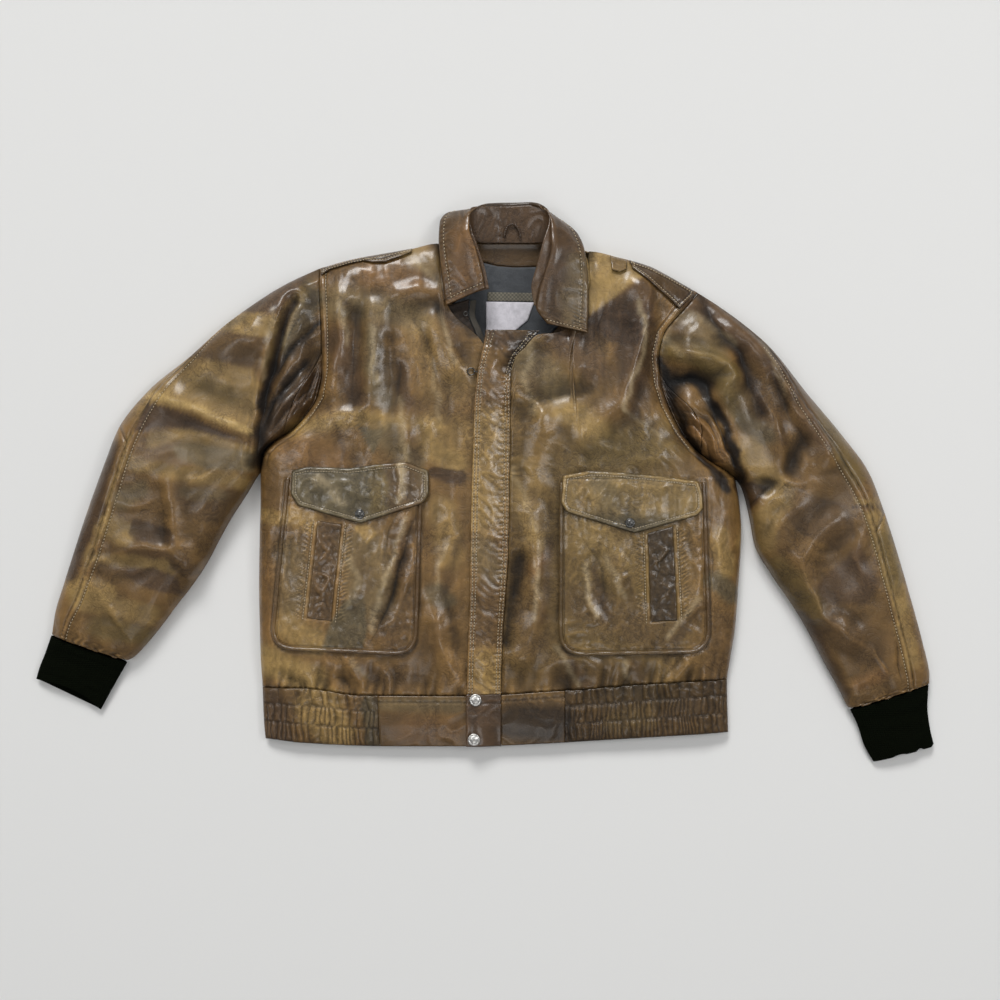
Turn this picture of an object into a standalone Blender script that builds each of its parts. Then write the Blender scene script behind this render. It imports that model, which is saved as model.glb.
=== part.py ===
"""Worn leather flight jacket, closed at the front and laid flat on its back.

The jacket is drafted as its maker cuts it: two fronts, a back, two-piece sleeves with
an underarm gusset, a storm flap over the zip, a shirt collar on a stand, epaulettes,
two patch pockets with flaps and slanted welts, a waistband and rib-knit cuffs.

Frame: +Z up, +Y towards the collar, +X towards the wearer's left side. The origin is on
the floor, in the middle of the jacket's outline. Tables are in millimetres.
"""
from collections import namedtuple
from math import acos, ceil, cos, pi, sin, sqrt

import bmesh
import bpy
from mathutils import Matrix, Vector

MM = 0.001
WALL = 2.0              # garment leather
KNIT_WALL = 3.0         # rib knit of the cuffs
SEAM_GAP = 0.3          # between neighbouring pieces
HALF_GAP = SEAM_GAP / 2
SIDE_SEAM_Z = 8.0       # height of the side seams on the folded edge
BACK_NECK_Z = 11.0      # height of the back at the neck seam
SHOULDER_SEAM_Z = 10.0  # height of the shoulder seams on the folded edge
EDGE_ROUND = 60.0       # how far in from a folded edge the leather keeps rising
FLOOR_ROUND = 14.0      # how far in from a folded edge the underside meets the floor
ARMPIT_FADE = 14.0      # above the armpit the folded side edge opens over this height
CHEST_Y = 10.5          # the line from armpit to armpit, at the middle
SHOULDER_ROUND = 45.0   # how far below the shoulder seam the front keeps rising
NECK_CLEAR = 400.0      # beyond the neck point the front's edge stops falling to the seam
NECK_RISE = 3.0         # the shoulder seams rise this much towards the neck
FOLD_FADE = 40.0        # folds die out over this distance from a folded edge or a shoulder
SLEEVE_FOLD_FADE = 25.0 # the same across a sleeve
SLEEVE_ROUND = 45.0     # how far in from a sleeve's folded edge its top keeps rising
TUCK_SHARE = 0.25       # share of a panel over which its inner face draws in from the side
TUCK_REACH = 60.0       # the same, in distance, below a shoulder seam
KNIFE_EDGE = 0.42       # a thin tube's folded edge lies at this share of its height
ARMHOLE_SAMPLES = 60    # heights at which a sleeve reads the armhole's curve
ARMHOLE_ROWS = 3        # sleeve rows over which the armhole's curve fades out

# ------------------------------------------------------------------ drafting tables
SideRow = namedtuple("SideRow", "y right_x left_x crown")
TORSO_SIDES = (
    SideRow(-331, -277, 308, 15),
    SideRow(-300, -280, 307, 21),
    SideRow(-252, -282, 306, 23),
    SideRow(-221, -284, 310, 30),
    SideRow(-183, -285, 316, 34),
    SideRow(-133, -286, 320, 36),
    SideRow(-58, -285, 324, 38),
    SideRow(-21, -284, 321, 38),
    SideRow(14, -284, 316, 38),
    SideRow(120, -284, 316, 38),
    SideRow(200, -284, 316, 34),
    SideRow(260, -284, 316, 31),
    SideRow(310, -284, 316, 29),
)

ArmholeRow = namedtuple("ArmholeRow", "x y z")
ARMHOLE_RIGHT = (
    ArmholeRow(-284, 14, 8),
    ArmholeRow(-279, 39, 12),
    ArmholeRow(-266, 53, 13),
    ArmholeRow(-244, 67, 14),
    ArmholeRow(-225, 87, 15),
    ArmholeRow(-211, 109, 16),
    ArmholeRow(-205, 142, 18),
    ArmholeRow(-205, 179, 22),
    ArmholeRow(-206, 217, 26),
    ArmholeRow(-208, 250, 25),
    ArmholeRow(-209, 272, 10),
)
ARMHOLE_LEFT = (
    ArmholeRow(316, 7, 8),
    ArmholeRow(301, 18, 12),
    ArmholeRow(281, 30, 13),
    ArmholeRow(263, 45, 14),
    ArmholeRow(246, 67, 15),
    ArmholeRow(231, 96, 16),
    ArmholeRow(221, 127, 18),
    ArmholeRow(218, 161, 22),
    ArmholeRow(224, 188, 26),
    ArmholeRow(243, 212, 26),
    ArmholeRow(258, 228, 23),
    ArmholeRow(269, 241, 10),
)

OutlineRow = namedtuple("OutlineRow", "x y")
SHOULDER_RIGHT = (OutlineRow(-209, 272), OutlineRow(-169, 283), OutlineRow(-131, 290),
                  OutlineRow(-94, 296), OutlineRow(-60, 303))
SHOULDER_LEFT = (OutlineRow(269, 241), OutlineRow(234, 261), OutlineRow(206, 275),
                 OutlineRow(170, 285), OutlineRow(131, 293))
NECK_RIGHT = (OutlineRow(-54, 262), OutlineRow(-48, 226), OutlineRow(-36, 207),
              OutlineRow(-21, 194), OutlineRow(-8, 182), OutlineRow(-1, 172))
NECK_LEFT = (OutlineRow(129, 262), OutlineRow(122, 226), OutlineRow(109, 198),
             OutlineRow(88, 188), OutlineRow(66, 185), OutlineRow(49, 168),
             OutlineRow(39, 158), OutlineRow(32, 129))
NECK_BACK_RIGHT = (OutlineRow(-16, 306), OutlineRow(14, 307))
NECK_BACK_LEFT = (OutlineRow(75, 306), OutlineRow(14, 307))
HEM_SEAM = (OutlineRow(-282, -257), OutlineRow(-231, -257), OutlineRow(-156, -266),
            OutlineRow(-19, -267), OutlineRow(94, -261), OutlineRow(225, -251),
            OutlineRow(306, -247))
BAND_EDGE = (OutlineRow(-278, -322), OutlineRow(-231, -327), OutlineRow(-131, -331),
             OutlineRow(-6, -331), OutlineRow(94, -327), OutlineRow(225, -319),
             OutlineRow(308, -314))

# Where each front ends towards the middle, from the band up to the neck.
CentreRow = namedtuple("CentreRow", "y right_x left_x")
CENTRE_EDGES = (
    CentreRow(-331, -3, 20.5),
    CentreRow(-261, -3, 20.5),
    CentreRow(-196, -2, 22.5),
    CentreRow(-83, 0, 29.5),
    CentreRow(42, 1, 31.5),
    CentreRow(129, 1, 32.5),
    CentreRow(310, 1, 32.5),
)
CENTRE_BACK_X = 14.0

SleeveRow = namedtuple("SleeveRow", "inner_x inner_y outer_x outer_y height top_seam")
SLEEVE_RIGHT = (
    SleeveRow(-284, 14, -209, 272, 26, 1.00),
    SleeveRow(-290, 6, -238, 259, 38, 1.00),
    SleeveRow(-297, -6, -266, 244, 42, 1.00),
    SleeveRow(-305, -19, -321, 206, 42, 1.00),
    SleeveRow(-320, -42, -375, 159, 41, 0.98),
    SleeveRow(-336, -71, -424, 119, 40, 0.93),
    SleeveRow(-352, -101, -461, 74, 38, 0.87),
    SleeveRow(-370, -128, -480, 28, 37, 0.84),
    SleeveRow(-391, -155, -498, -21, 36, 0.81),
    SleeveRow(-411, -182, -515, -71, 34, 0.79),
    SleeveRow(-431, -206, -531, -121, 31, 0.79),
    SleeveRow(-444, -219, -544, -164, 28, 0.83),
    SleeveRow(-451, -223, -548, -190, 24, 0.85),
)
SLEEVE_LEFT = (
    SleeveRow(316, 7, 269, 241, 26, 1.00),
    SleeveRow(325, -7, 290, 228, 38, 1.00),
    SleeveRow(330, -23, 312, 212, 42, 0.99),
    SleeveRow(335, -46, 358, 174, 43, 0.97),
    SleeveRow(341, -78, 406, 115, 42, 0.91),
    SleeveRow(364, -118, 451, 61, 40, 0.88),
    SleeveRow(390, -156, 484, 16, 38, 0.85),
    SleeveRow(409, -188, 504, -35, 37, 0.84),
    SleeveRow(426, -221, 521, -87, 35, 0.81),
    SleeveRow(441, -248, 536, -138, 32, 0.79),
    SleeveRow(451, -267, 551, -192, 29, 0.78),
    SleeveRow(458, -281, 562, -240, 25, 0.77),
    SleeveRow(460, -283, 562, -252, 23, 0.78),
)
CuffRow = namedtuple("CuffRow", "inner_x inner_y outer_x outer_y height")
CUFF_RIGHT = (
    CuffRow(-453, -226, -549, -192, 21),
    CuffRow(-463, -243, -557, -214, 17),
    CuffRow(-476, -266, -565, -234, 15),
    CuffRow(-487, -286, -569, -247, 13),
)
CUFF_LEFT = (
    CuffRow(462, -286, 561, -254, 21),
    CuffRow(472, -307, 560, -281, 17),
    CuffRow(480, -331, 563, -307, 15),
    CuffRow(492, -352, 569, -332, 13),
)
ELBOW_SEAM = {"right": 6, "left": 7}     # sleeve row that carries the elbow seam

Fold = namedtuple("Fold", "height width route")
TORSO_FOLDS = (
    Fold(6, 14, ((-177, 232), (-181, 205), (-178, 178), (-200, 125))),
    Fold(5, 12, ((-137, 217), (-136, 190), (-143, 98))),
    Fold(-5, 12, ((-162, 212), (-163, 170), (-165, 108))),
    Fold(-4, 10, ((-115, 178), (-108, 134), (-110, 92))),
    Fold(4, 10, ((-106, 238), (-85, 242), (-56, 237))),
    Fold(4, 10, ((-99, 84), (-95, 54))),
    Fold(5, 12, ((-64, 207), (-56, 178), (-42, 146))),
    Fold(4, 11, ((-69, -146), (-37, -246))),
    Fold(-5, 14, ((44, 92), (75, 111), (119, 123))),
    Fold(4, 12, ((75, 86), (64, 29), (66, 4))),
    Fold(5, 11, ((31, 163), (56, 179), (70, 188))),
    Fold(-4, 10, ((44, -96), (25, -196))),
    Fold(5, 11, ((58, -37), (63, -66), (60, -125), (66, -158), (46, -215))),
    Fold(6, 13, ((196, 248), (202, 196), (181, 138), (168, 100), (131, 67))),
    Fold(-5, 11, ((214, 190), (212, 150), (224, 112))),
    Fold(4, 10, ((123, -214), (138, -252))),
    Fold(4, 10, ((263, -214), (221, -250))),
)
SLEEVE_FOLDS = (
    Fold(-8, 9, ((-238, 226), (-247, 202), (-256, 173), (-265, 138), (-275, 108), (-280, 66),
                 (-285, 24))),
    Fold(4, 13, ((-419, 122), (-294, 72))),
    Fold(4, 15, ((-350, 183), (-285, 179))),
    Fold(4, 11, ((-394, 4), (-384, -71))),
    Fold(5, 13, ((-446, -77), (-372, -87), (-359, -108))),
    Fold(-9, 13, ((240, 128), (262, 130), (282, 112), (286, 86))),
    Fold(7, 11, ((228, 166), (252, 163), (277, 158), (302, 150), (309, 132), (292, 112))),
    Fold(-6, 11, ((272, 233), (294, 184), (319, 160), (331, 125), (342, 88))),
    Fold(6, 14, ((319, 208), (335, 179), (360, 146), (381, 108), (394, 71))),
    Fold(-6, 11, ((360, 125), (377, 92), (390, 58), (383, 21))),
    Fold(5, 11, ((406, 79), (427, 34))),
    Fold(-6, 11, ((325, 0), (360, 2))),
    Fold(5, 13, ((431, -50), (406, -75), (394, -96), (398, -120), (419, -162), (456, -191))),
)

StripRow = namedtuple("StripRow", "ax ay az bx by bz")
COLLAR_FALL = (
    StripRow(1, 242, 44, -49, 221, 39),
    StripRow(-4, 267, 45, -52, 246, 39),
    StripRow(-12, 294, 46, -56, 277, 37),
    StripRow(-19, 316, 44, -58, 306, 30),
    StripRow(-19, 332, 38, -57, 329, 20),
    StripRow(-12, 343, 30, -44, 344, 10),
    StripRow(4, 350, 21, -12, 345, 5),
    StripRow(28, 352, 16, 28, 330, 2.6),
    StripRow(54, 352, 19, 64, 344, 4),
    StripRow(73, 345, 30, 92, 335, 10),
    StripRow(82, 322, 40, 117, 313, 22),
    StripRow(82, 295, 46, 126, 282, 36),
    StripRow(75, 265, 47, 129, 238, 40),
    StripRow(67, 240, 46, 129, 212, 40),
    StripRow(63, 219, 44, 128, 197, 41),
    StripRow(77, 198, 43, 128, 187, 41),
)
COLLAR_STAND = (
    StripRow(-2, 240, 41, -46, 230, 35.6),
    StripRow(-7, 266, 41, -50, 258, 34),
    StripRow(-14, 291, 41, -50, 286, 31.5),
    StripRow(-16, 312, 37, -40, 301, 27),
    StripRow(-13, 328, 32, -17, 310, 18),
    StripRow(-6, 338, 26, -6, 308.5, 14.5),
    StripRow(7, 343, 20, 8, 308.5, 13),
    StripRow(28, 343, 17.5, 28, 308.5, 13),
    StripRow(52, 344, 19, 52, 308.5, 13),
    StripRow(68, 338, 26, 72, 308.5, 15),
    StripRow(76, 320, 35, 97, 302, 25),
    StripRow(78, 295, 41, 120, 286, 31.5),
    StripRow(72, 266, 42, 124, 258, 34),
    StripRow(66, 241, 41, 118, 231, 35.6),
    StripRow(67, 219, 41, 104, 206, 36.4),
)
# Inside of the wearer's right front and the open end of its zip, seen in the neck.
NECK_FACING = (
    StripRow(-54, 220, 28.8, -20, 231, 28),
    StripRow(-40, 202, 30.4, -21, 212, 27.5),
    StripRow(-25, 189, 31.2, -14, 192, 28.5),
    StripRow(-14, 178, 31.8, -6, 173, 30.5),
)
ZIP_TAPE_END = (
    StripRow(-18, 229, 29, -11, 230, 26),
    StripRow(-19.5, 212, 28.5, -12.5, 212, 25.5),
    StripRow(-12.5, 192, 29.5, -5.5, 194, 26.5),
    StripRow(-4.5, 171, 31.5, 2.5, 174, 29),
)
# Free edge of the storm flap, and how far its sewn edge leads past the left front.
FlapRow = namedtuple("FlapRow", "y free_x lead")
STORM_FLAP = (
    FlapRow(-264, -23, 0),
    FlapRow(-196, -21, 0),
    FlapRow(-146, -19, 0),
    FlapRow(-83, -18, 0),
    FlapRow(-21, -17, 0),
    FlapRow(42, -15, 0),
    FlapRow(104, -13, 0),
    FlapRow(131, -10, 0),
    FlapRow(142, -8.6, 1.5),
    FlapRow(158, -5, 6),
    FlapRow(173, -2, 18),
    FlapRow(191, 1, 32),
)
FLAP_LIFT = 3.8
FLAP_FLAT = 0.35        # share of the flap's width that stands clear, from its free edge
FLAP_TUCK = 4.5         # above this height its sewn edge turns in under the left front
FLAP_TUCK_Y = 128.0
FLAP_TUCK_RUN = 20.0
FLAP_END_X = (-24.0, 20.0)

PocketSpec = namedtuple("PocketSpec", "patch radius flap welt snap")
POCKETS = {
    "right": PocketSpec(
        patch=((-80, 8), (-88, -212), (-266, -204), (-244, 8)),
        radius=27,
        flap=((-69, -10), (-70, 16), (-98, 27), (-131, 24), (-169, 19), (-219, 21),
              (-240, 16), (-241, -14), (-235, -27), (-155, -49)),
        welt=((-208, -46), (-178, -51), (-191, -172), (-222, -168)),
        snap=(-155, -38),
    ),
    "left": PocketSpec(
        patch=((271, 2), (279, -209), (95, -212), (96, 2)),
        radius=29,
        flap=((271, -27), (270, -12), (265, 3), (219, 9), (169, 14), (131, 16),
              (97, 10), (94, -20), (98, -31), (182, -63)),
        welt=((202, -62), (234, -53), (240, -171), (206, -173)),
        snap=(180, -49),
    ),
}
PIPING_WIDTH = 4.0
SNAP_RADIUS = 7.5
POCKET_SNAP_RADIUS = 6.0
SNAP_HEIGHT = 2.4
SNAP_TAPER = 0.78       # top radius over bottom radius
BAND_SNAPS = ((-12, -271), (-14, -321))
BAND_TAB_ENDS = {"right": -134.0, "left": 100.0}
BAND_MIDDLE_Y = -290.0
GATHER_PITCH = 16.0
GATHER_DEPTH = 1.3
GATHER_START = 0.07     # share of the band's half at which the gathers start
GATHER_AT_SEAM = 0.35   # share of their depth that is left at the stitched edges

# The pull ring hangs in an eye beside the storm flap and turns about the line along Y.
RING_RADIUS = 4.4
RING_WIRE = 0.8
EYE_RADIUS = 1.75
EYE_WIRE = 0.6
RING_EYE = (-12.8, 139.0)

Finish = namedtuple("Finish", "name colour roughness metallic")
LEATHER = Finish("worn_leather", (0.20, 0.12, 0.06), 0.45, 0.0)
LEATHER_DARK = Finish("dark_leather", (0.10, 0.06, 0.035), 0.45, 0.0)
LEATHER_COLLAR = Finish("collar_leather", (0.21, 0.10, 0.045), 0.45, 0.0)
KNIT = Finish("rib_knit", (0.010, 0.014, 0.008), 0.95, 0.0)
LINING = Finish("lining_cloth", (0.05, 0.055, 0.06), 0.8, 0.0)
LABEL = Finish("label_cloth", (0.75, 0.74, 0.76), 0.8, 0.0)
TAPE = Finish("woven_tape", (0.22, 0.22, 0.19), 0.85, 0.0)
STEEL = Finish("nickel", (0.62, 0.62, 0.60), 0.3, 1.0)


# ------------------------------------------------------------------ small mathematics
def smooth_table(places, values):
    """Return a smooth curve through a table; outside the table it keeps the end values."""
    count = len(places)
    rises = [(values[i + 1] - values[i]) / (places[i + 1] - places[i])
             for i in range(count - 1)]
    slopes = [rises[0]] + [0.0] * (count - 2) + [rises[-1]]
    for i in range(1, count - 1):
        if rises[i - 1] * rises[i] > 0:
            slopes[i] = 2 * rises[i - 1] * rises[i] / (rises[i - 1] + rises[i])

    def value(place):
        place = min(max(place, places[0]), places[-1])
        i = 0
        while i < count - 2 and place > places[i + 1]:
            i += 1
        span = places[i + 1] - places[i]
        u = (place - places[i]) / span
        start = values[i] * (1 + 2 * u) * (1 - u) ** 2 + slopes[i] * span * u * (1 - u) ** 2
        end = values[i + 1] * (3 - 2 * u) * u ** 2 - slopes[i + 1] * span * u * u * (1 - u)
        return start + end

    return value


def column(rows, name):
    """Return one named column of a table."""
    return [getattr(row, name) for row in rows]


def swell(distance, reach):
    """Rise from 0 at a folded edge to 1 at `reach` from it, along a quarter circle."""
    q = min(max(distance / reach, 0.0), 1.0)
    return sqrt(1 - (1 - q) ** 2)


def ease(u):
    """Smooth step from 0 to 1."""
    u = min(max(u, 0.0), 1.0)
    return u * u * (3 - 2 * u)


def edge_spaced(count):
    """Places from 0 to 1 that crowd towards both ends."""
    return [(1 - cos(pi * i / count)) / 2 for i in range(count + 1)]


def even(start, stop, count):
    """Evenly spaced values with both ends."""
    return [start + (stop - start) * i / count for i in range(count + 1)]


def segment_distance(x, y, start, end):
    """Distance from a point to a straight stretch."""
    dx, dy = end[0] - start[0], end[1] - start[1]
    along = ((x - start[0]) * dx + (y - start[1]) * dy) / (dx * dx + dy * dy)
    along = min(max(along, 0.0), 1.0)
    return sqrt((x - start[0] - along * dx) ** 2 + (y - start[1] - along * dy) ** 2)


def fold_height(folds, x, y):
    """Sum of the soft ridges and troughs at a place."""
    total = 0.0
    for fold in folds:
        near = min(segment_distance(x, y, a, b) for a, b in zip(fold.route, fold.route[1:]))
        if near < 2 * fold.width:
            total += fold.height * cos(pi / 4 * near / fold.width) ** 2
    return total


# ------------------------------------------------------------------ the torso's form
class TorsoHalf:
    """One half of the torso: its folded side, armhole, shoulder, neck and hem."""

    def __init__(self, side, armhole, shoulder, neck, neck_back):
        ys = column(TORSO_SIDES, "y")
        self.sign = 1 if side == "right" else -1
        self.side_x = smooth_table(ys, column(TORSO_SIDES, side + "_x"))
        self.crown = smooth_table(ys, column(TORSO_SIDES, "crown"))
        self.armpit_y = armhole[0].y
        self.armhole_x = smooth_table(column(armhole, "y"), column(armhole, "x"))
        self.armhole_z = smooth_table(column(armhole, "y"), column(armhole, "z"))
        self.centre_x = smooth_table(column(CENTRE_EDGES, "y"),
                                     column(CENTRE_EDGES, side + "_x"))
        self.neck_point = shoulder[-1]
        self.shoulder_y = shoulder[0].y
        self.hem_y = smooth_table(column(HEM_SEAM, "x"), column(HEM_SEAM, "y"))
        self.band_y = smooth_table(column(BAND_EDGE, "x"), column(BAND_EDGE, "y"))
        self.top_front = self.top_line(shoulder + neck, self.centre_x)
        self.top_back = self.top_line(shoulder + neck_back, self.middle_x)
        self.neck_share = {
            "front": self.share(self.neck_point, self.centre_x),
            "back": self.share(self.neck_point, self.middle_x),
        }

    @staticmethod
    def middle_x(y):
        """Line where the two halves of the back meet."""
        return CENTRE_BACK_X

    def edge_x(self, y):
        """Outer edge in plan: the folded side, and the armhole above the armpit."""
        return self.side_x(y) if y < self.armpit_y else self.armhole_x(y)

    def share(self, point, inner_x):
        """How far a place lies from the outer edge to the inner one, from 0 to 1."""
        edge = self.edge_x(point.y)
        return (point.x - edge) / (inner_x(point.y) - edge)

    def top_line(self, outline, inner_x):
        """Height in plan of the shoulder and neck line for each share."""
        shares = [self.share(point, inner_x) for point in outline]
        return smooth_table(shares, column(outline, "y"))

    def plan(self, share, level, back=False):
        """Plan position; level -1..0 is the waistband, 0..1 to the armpit, 1..2 above."""
        inner_x = self.middle_x if back else self.centre_x
        top_y = (self.top_back if back else self.top_front)(share)
        guess = self.edge_x(0) + share * (inner_x(0) - self.edge_x(0))
        hem, band = self.hem_y(guess), self.band_y(guess)
        chest = self.armpit_y + share * (CHEST_Y - self.armpit_y)
        if level < 0:
            y = hem + level * (hem - band)
        elif level < 1:
            y = hem + level * (chest - hem)
        else:
            y = chest + (level - 1) * (top_y - chest)
        edge = self.edge_x(y)
        return edge + share * (inner_x(y) - edge), y

    def shoulder_drop(self, y, share, back):
        """Height of the shoulder seam here and the distance to it."""
        top_y = (self.top_back if back else self.top_front)(share)
        neck = self.neck_share["back" if back else "front"]
        near_neck = ease(share / neck) if share < neck else 1.0
        seam_z = SHOULDER_SEAM_Z + NECK_RISE * near_neck + (-HALF_GAP if back else HALF_GAP)
        return seam_z, top_y - y

    def front_z(self, x, y, share, lift):
        """Height of the front's outer face; a lift of -WALL gives its inner face."""
        edge_z = SIDE_SEAM_Z + HALF_GAP
        if y > self.armpit_y:
            edge_z = self.armhole_z(y) + HALF_GAP
            open_edge = ease((y - self.armpit_y) / ARMPIT_FADE)
            edge_z += lift * open_edge * swell(self.shoulder_y - y, FLOOR_ROUND)
        inward = abs(x - self.edge_x(y))
        high = self.crown(y) + lift
        side = edge_z + (high - edge_z) * swell(inward, EDGE_ROUND)
        seam_z, distance = self.shoulder_drop(y, share, False)
        distance += NECK_CLEAR * max(share - self.neck_share["front"], 0)
        low = min(seam_z, side)
        folds = fold_height(TORSO_FOLDS, x, y)
        folds *= swell(inward, FOLD_FADE) * swell(distance, FOLD_FADE)
        return low + (side - low) * swell(distance, SHOULDER_ROUND) + folds

    def back_z(self, x, y, share, lift):
        """Height of the back's outer face on the floor; a lift of WALL gives its inner face."""
        edge_z = SIDE_SEAM_Z - HALF_GAP
        if y > self.armpit_y:
            edge_z = lift + (edge_z - lift) * (1 - swell(y - self.armpit_y, ARMPIT_FADE))
        inward = abs(x - self.edge_x(y))
        side = lift + (edge_z - lift) * (1 - swell(inward, FLOOR_ROUND))
        seam_z, distance = self.shoulder_drop(y, share, True)
        if share > self.neck_share["back"]:
            seam_z = BACK_NECK_Z + lift
        return max(side, side + (seam_z - side) * (1 - swell(distance, 2 * FLOOR_ROUND)))

    def inset(self, x, y, share, amount, back=False):
        """Move an inner face in from the folded side and from the shoulder seam."""
        side = 1 - ease((y - self.armpit_y) / ARMPIT_FADE)
        at_edge = 1 - min(share / TUCK_SHARE, 1.0)
        neck = self.neck_share["back" if back else "front"]
        top_y = (self.top_back if back else self.top_front)(share)
        at_top = 1 - min(max(top_y - y, 0) / TUCK_REACH, 1.0) if share < neck else 0.0
        return x + self.sign * amount * side * at_edge, y - amount * at_top

    def front(self, share, level, lift=0.0):
        """Point on the front, `lift` above its outer face."""
        x, y = self.plan(share, level)
        z = self.front_z(x, y, share, lift)
        x, y = self.inset(x, y, share, -lift)
        return Vector((x, y, z))

    def back(self, share, level, lift=0.0):
        """Point on the back, `lift` above its outer face."""
        x, y = self.plan(share, level, back=True)
        z = self.back_z(x, y, share, lift)
        x, y = self.inset(x, y, share, lift, back=True)
        return Vector((x, y, z))


HALVES = {
    "right": TorsoHalf("right", ARMHOLE_RIGHT, SHOULDER_RIGHT, NECK_RIGHT, NECK_BACK_RIGHT),
    "left": TorsoHalf("left", ARMHOLE_LEFT, SHOULDER_LEFT, NECK_LEFT, NECK_BACK_LEFT),
}


# ------------------------------------------------------------------ the sleeves' form
class Limb:
    """A flattened tube along a table of rows: around 0..1 over the top, 1..2 underneath."""

    def __init__(self, rows, half=None):
        stations = list(range(len(rows)))
        self.last = stations[-1]
        self.tables = {name: smooth_table(stations, column(rows, name))
                       for name in rows[0]._fields}
        self.seam = half is not None
        if half:
            self.read_armhole(rows[0], half)

    def read_armhole(self, row, half):
        """Keep how far the armhole seam bows away from the straight first row."""
        across = Vector((row.outer_x - row.inner_x, row.outer_y - row.inner_y))
        heights = even(half.armpit_y, half.shoulder_y, ARMHOLE_SAMPLES)
        shares = []
        bows = []
        for y in heights:
            offset = Vector((half.armhole_x(y) - row.inner_x, y - row.inner_y))
            share = offset.dot(across) / across.length_squared
            shares.append(share)
            bows.append(offset - across * share)
        self.share_of_y = smooth_table(heights, shares)
        self.bow_x = smooth_table(shares, [bow.x for bow in bows])
        self.bow_y = smooth_table(shares, [bow.y for bow in bows])
        self.seam_z = smooth_table(shares, [half.armhole_z(y) for y in heights])
        clear = []
        for y in heights:
            run = Vector((half.armhole_x(y + 1) - half.armhole_x(y - 1), 2)).normalized()
            clear.append(Vector((-run.y, run.x)) * (1.5 * SEAM_GAP * half.sign))
        self.clear_x = smooth_table(shares, [gap.x for gap in clear])
        self.clear_y = smooth_table(shares, [gap.y for gap in clear])

    @staticmethod
    def bow_rows(share):
        """Rows over which the armhole's curve fades: few at the armpit, all further up."""
        return ARMHOLE_ROWS * (0.2 + 0.8 * min(share / 0.3, 1.0))

    def point(self, around, station, depth=0.0):
        """Point on the outer face, or `depth` inside it."""
        at = {name: table(station) for name, table in self.tables.items()}
        inner = Vector((at["inner_x"], at["inner_y"]))
        outer = Vector((at["outer_x"], at["outer_y"]))
        across = (outer - inner).normalized()
        inner += across * depth
        outer -= across * depth
        over = around <= 1
        share = (1 - cos(pi * (around if over else 2 - around))) / 2
        place = inner + (outer - inner) * share
        width = (outer - inner).length
        edge_z = min(SIDE_SEAM_Z, KNIFE_EDGE * at["height"])
        near = min(share, 1 - share) * width
        if over:
            rise = swell(share * width, SLEEVE_ROUND) * swell((1 - share) * width, SLEEVE_ROUND)
            z = edge_z + (at["height"] - depth - edge_z) * rise
        else:
            z = depth + (edge_z - depth) * (1 - swell(near, FLOOR_ROUND))
        if self.seam and station < ARMHOLE_ROWS:
            fade = 1 - ease(station / self.bow_rows(share))
            place += Vector((self.bow_x(share), self.bow_y(share))) * fade
            at_seam = max(1 - station, 0.0)
            place += Vector((self.clear_x(share), self.clear_y(share))) * at_seam
            if over:
                seam_z = self.seam_z(share) - depth * swell(near, FLOOR_ROUND)
                z += (seam_z - z) * (1 - ease(station))
        if over:
            folds = fold_height(SLEEVE_FOLDS, place.x, place.y)
            z += folds * swell(near, SLEEVE_FOLD_FADE) * ease(station)
        return Vector((place.x, place.y, z))


# ------------------------------------------------------------------ making solids
def material(finish):
    """Principled material for a finish, made once."""
    found = bpy.data.materials.get(finish.name)
    if found:
        return found
    made = bpy.data.materials.new(finish.name)
    made.use_nodes = True
    shader = made.node_tree.nodes["Principled BSDF"]
    shader.inputs["Base Color"].default_value = (*finish.colour, 1.0)
    shader.inputs["Roughness"].default_value = finish.roughness
    shader.inputs["Metallic"].default_value = finish.metallic
    made.diffuse_color = (*finish.colour, 1.0)
    return made


def as_cutter(made):
    """Hide an object that only trims or joins another."""
    made.hide_render = True
    made.display_type = "WIRE"
    return made


def add_object(name, mesh, finish, collection):
    """Turn a bmesh in millimetres into an object in metres."""
    bmesh.ops.recalc_face_normals(mesh, faces=mesh.faces[:])
    if mesh.calc_volume(signed=True) < 0:
        bmesh.ops.reverse_faces(mesh, faces=mesh.faces[:])
    bmesh.ops.scale(mesh, vec=(MM, MM, MM), verts=mesh.verts[:])
    data = bpy.data.meshes.new(name)
    mesh.to_mesh(data)
    mesh.free()
    made = bpy.data.objects.new(name, data)
    collection.objects.link(made)
    if finish:
        data.materials.append(material(finish))
    return made


def shell(name, outer, inner, across, along, finish, closed=False):
    """Closed wall between two faces, both given as functions of (across, along)."""
    mesh = bmesh.new()
    bmesh.ops.create_grid(mesh, x_segments=len(across) - 1, y_segments=len(along) - 1,
                          size=0.5)
    if closed:
        first = {round(v.co.y, 5): v for v in mesh.verts if v.co.x < -0.4999}
        last = [v for v in mesh.verts if v.co.x > 0.4999]
        bmesh.ops.weld_verts(mesh, targetmap={v: first[round(v.co.y, 5)] for v in last})
    bmesh.ops.triangulate(mesh, faces=mesh.faces[:], quad_method="FIXED")
    inside = set(mesh.verts)
    bmesh.ops.extrude_face_region(mesh, geom=mesh.faces[:])
    for vert in mesh.verts:
        i = round((vert.co.x + 0.5) * (len(across) - 1))
        j = round((vert.co.y + 0.5) * (len(along) - 1))
        face = inner if vert in inside else outer
        vert.co = face(across[i], along[j])
    return add_object(name, mesh, finish, PARTS)


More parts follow.
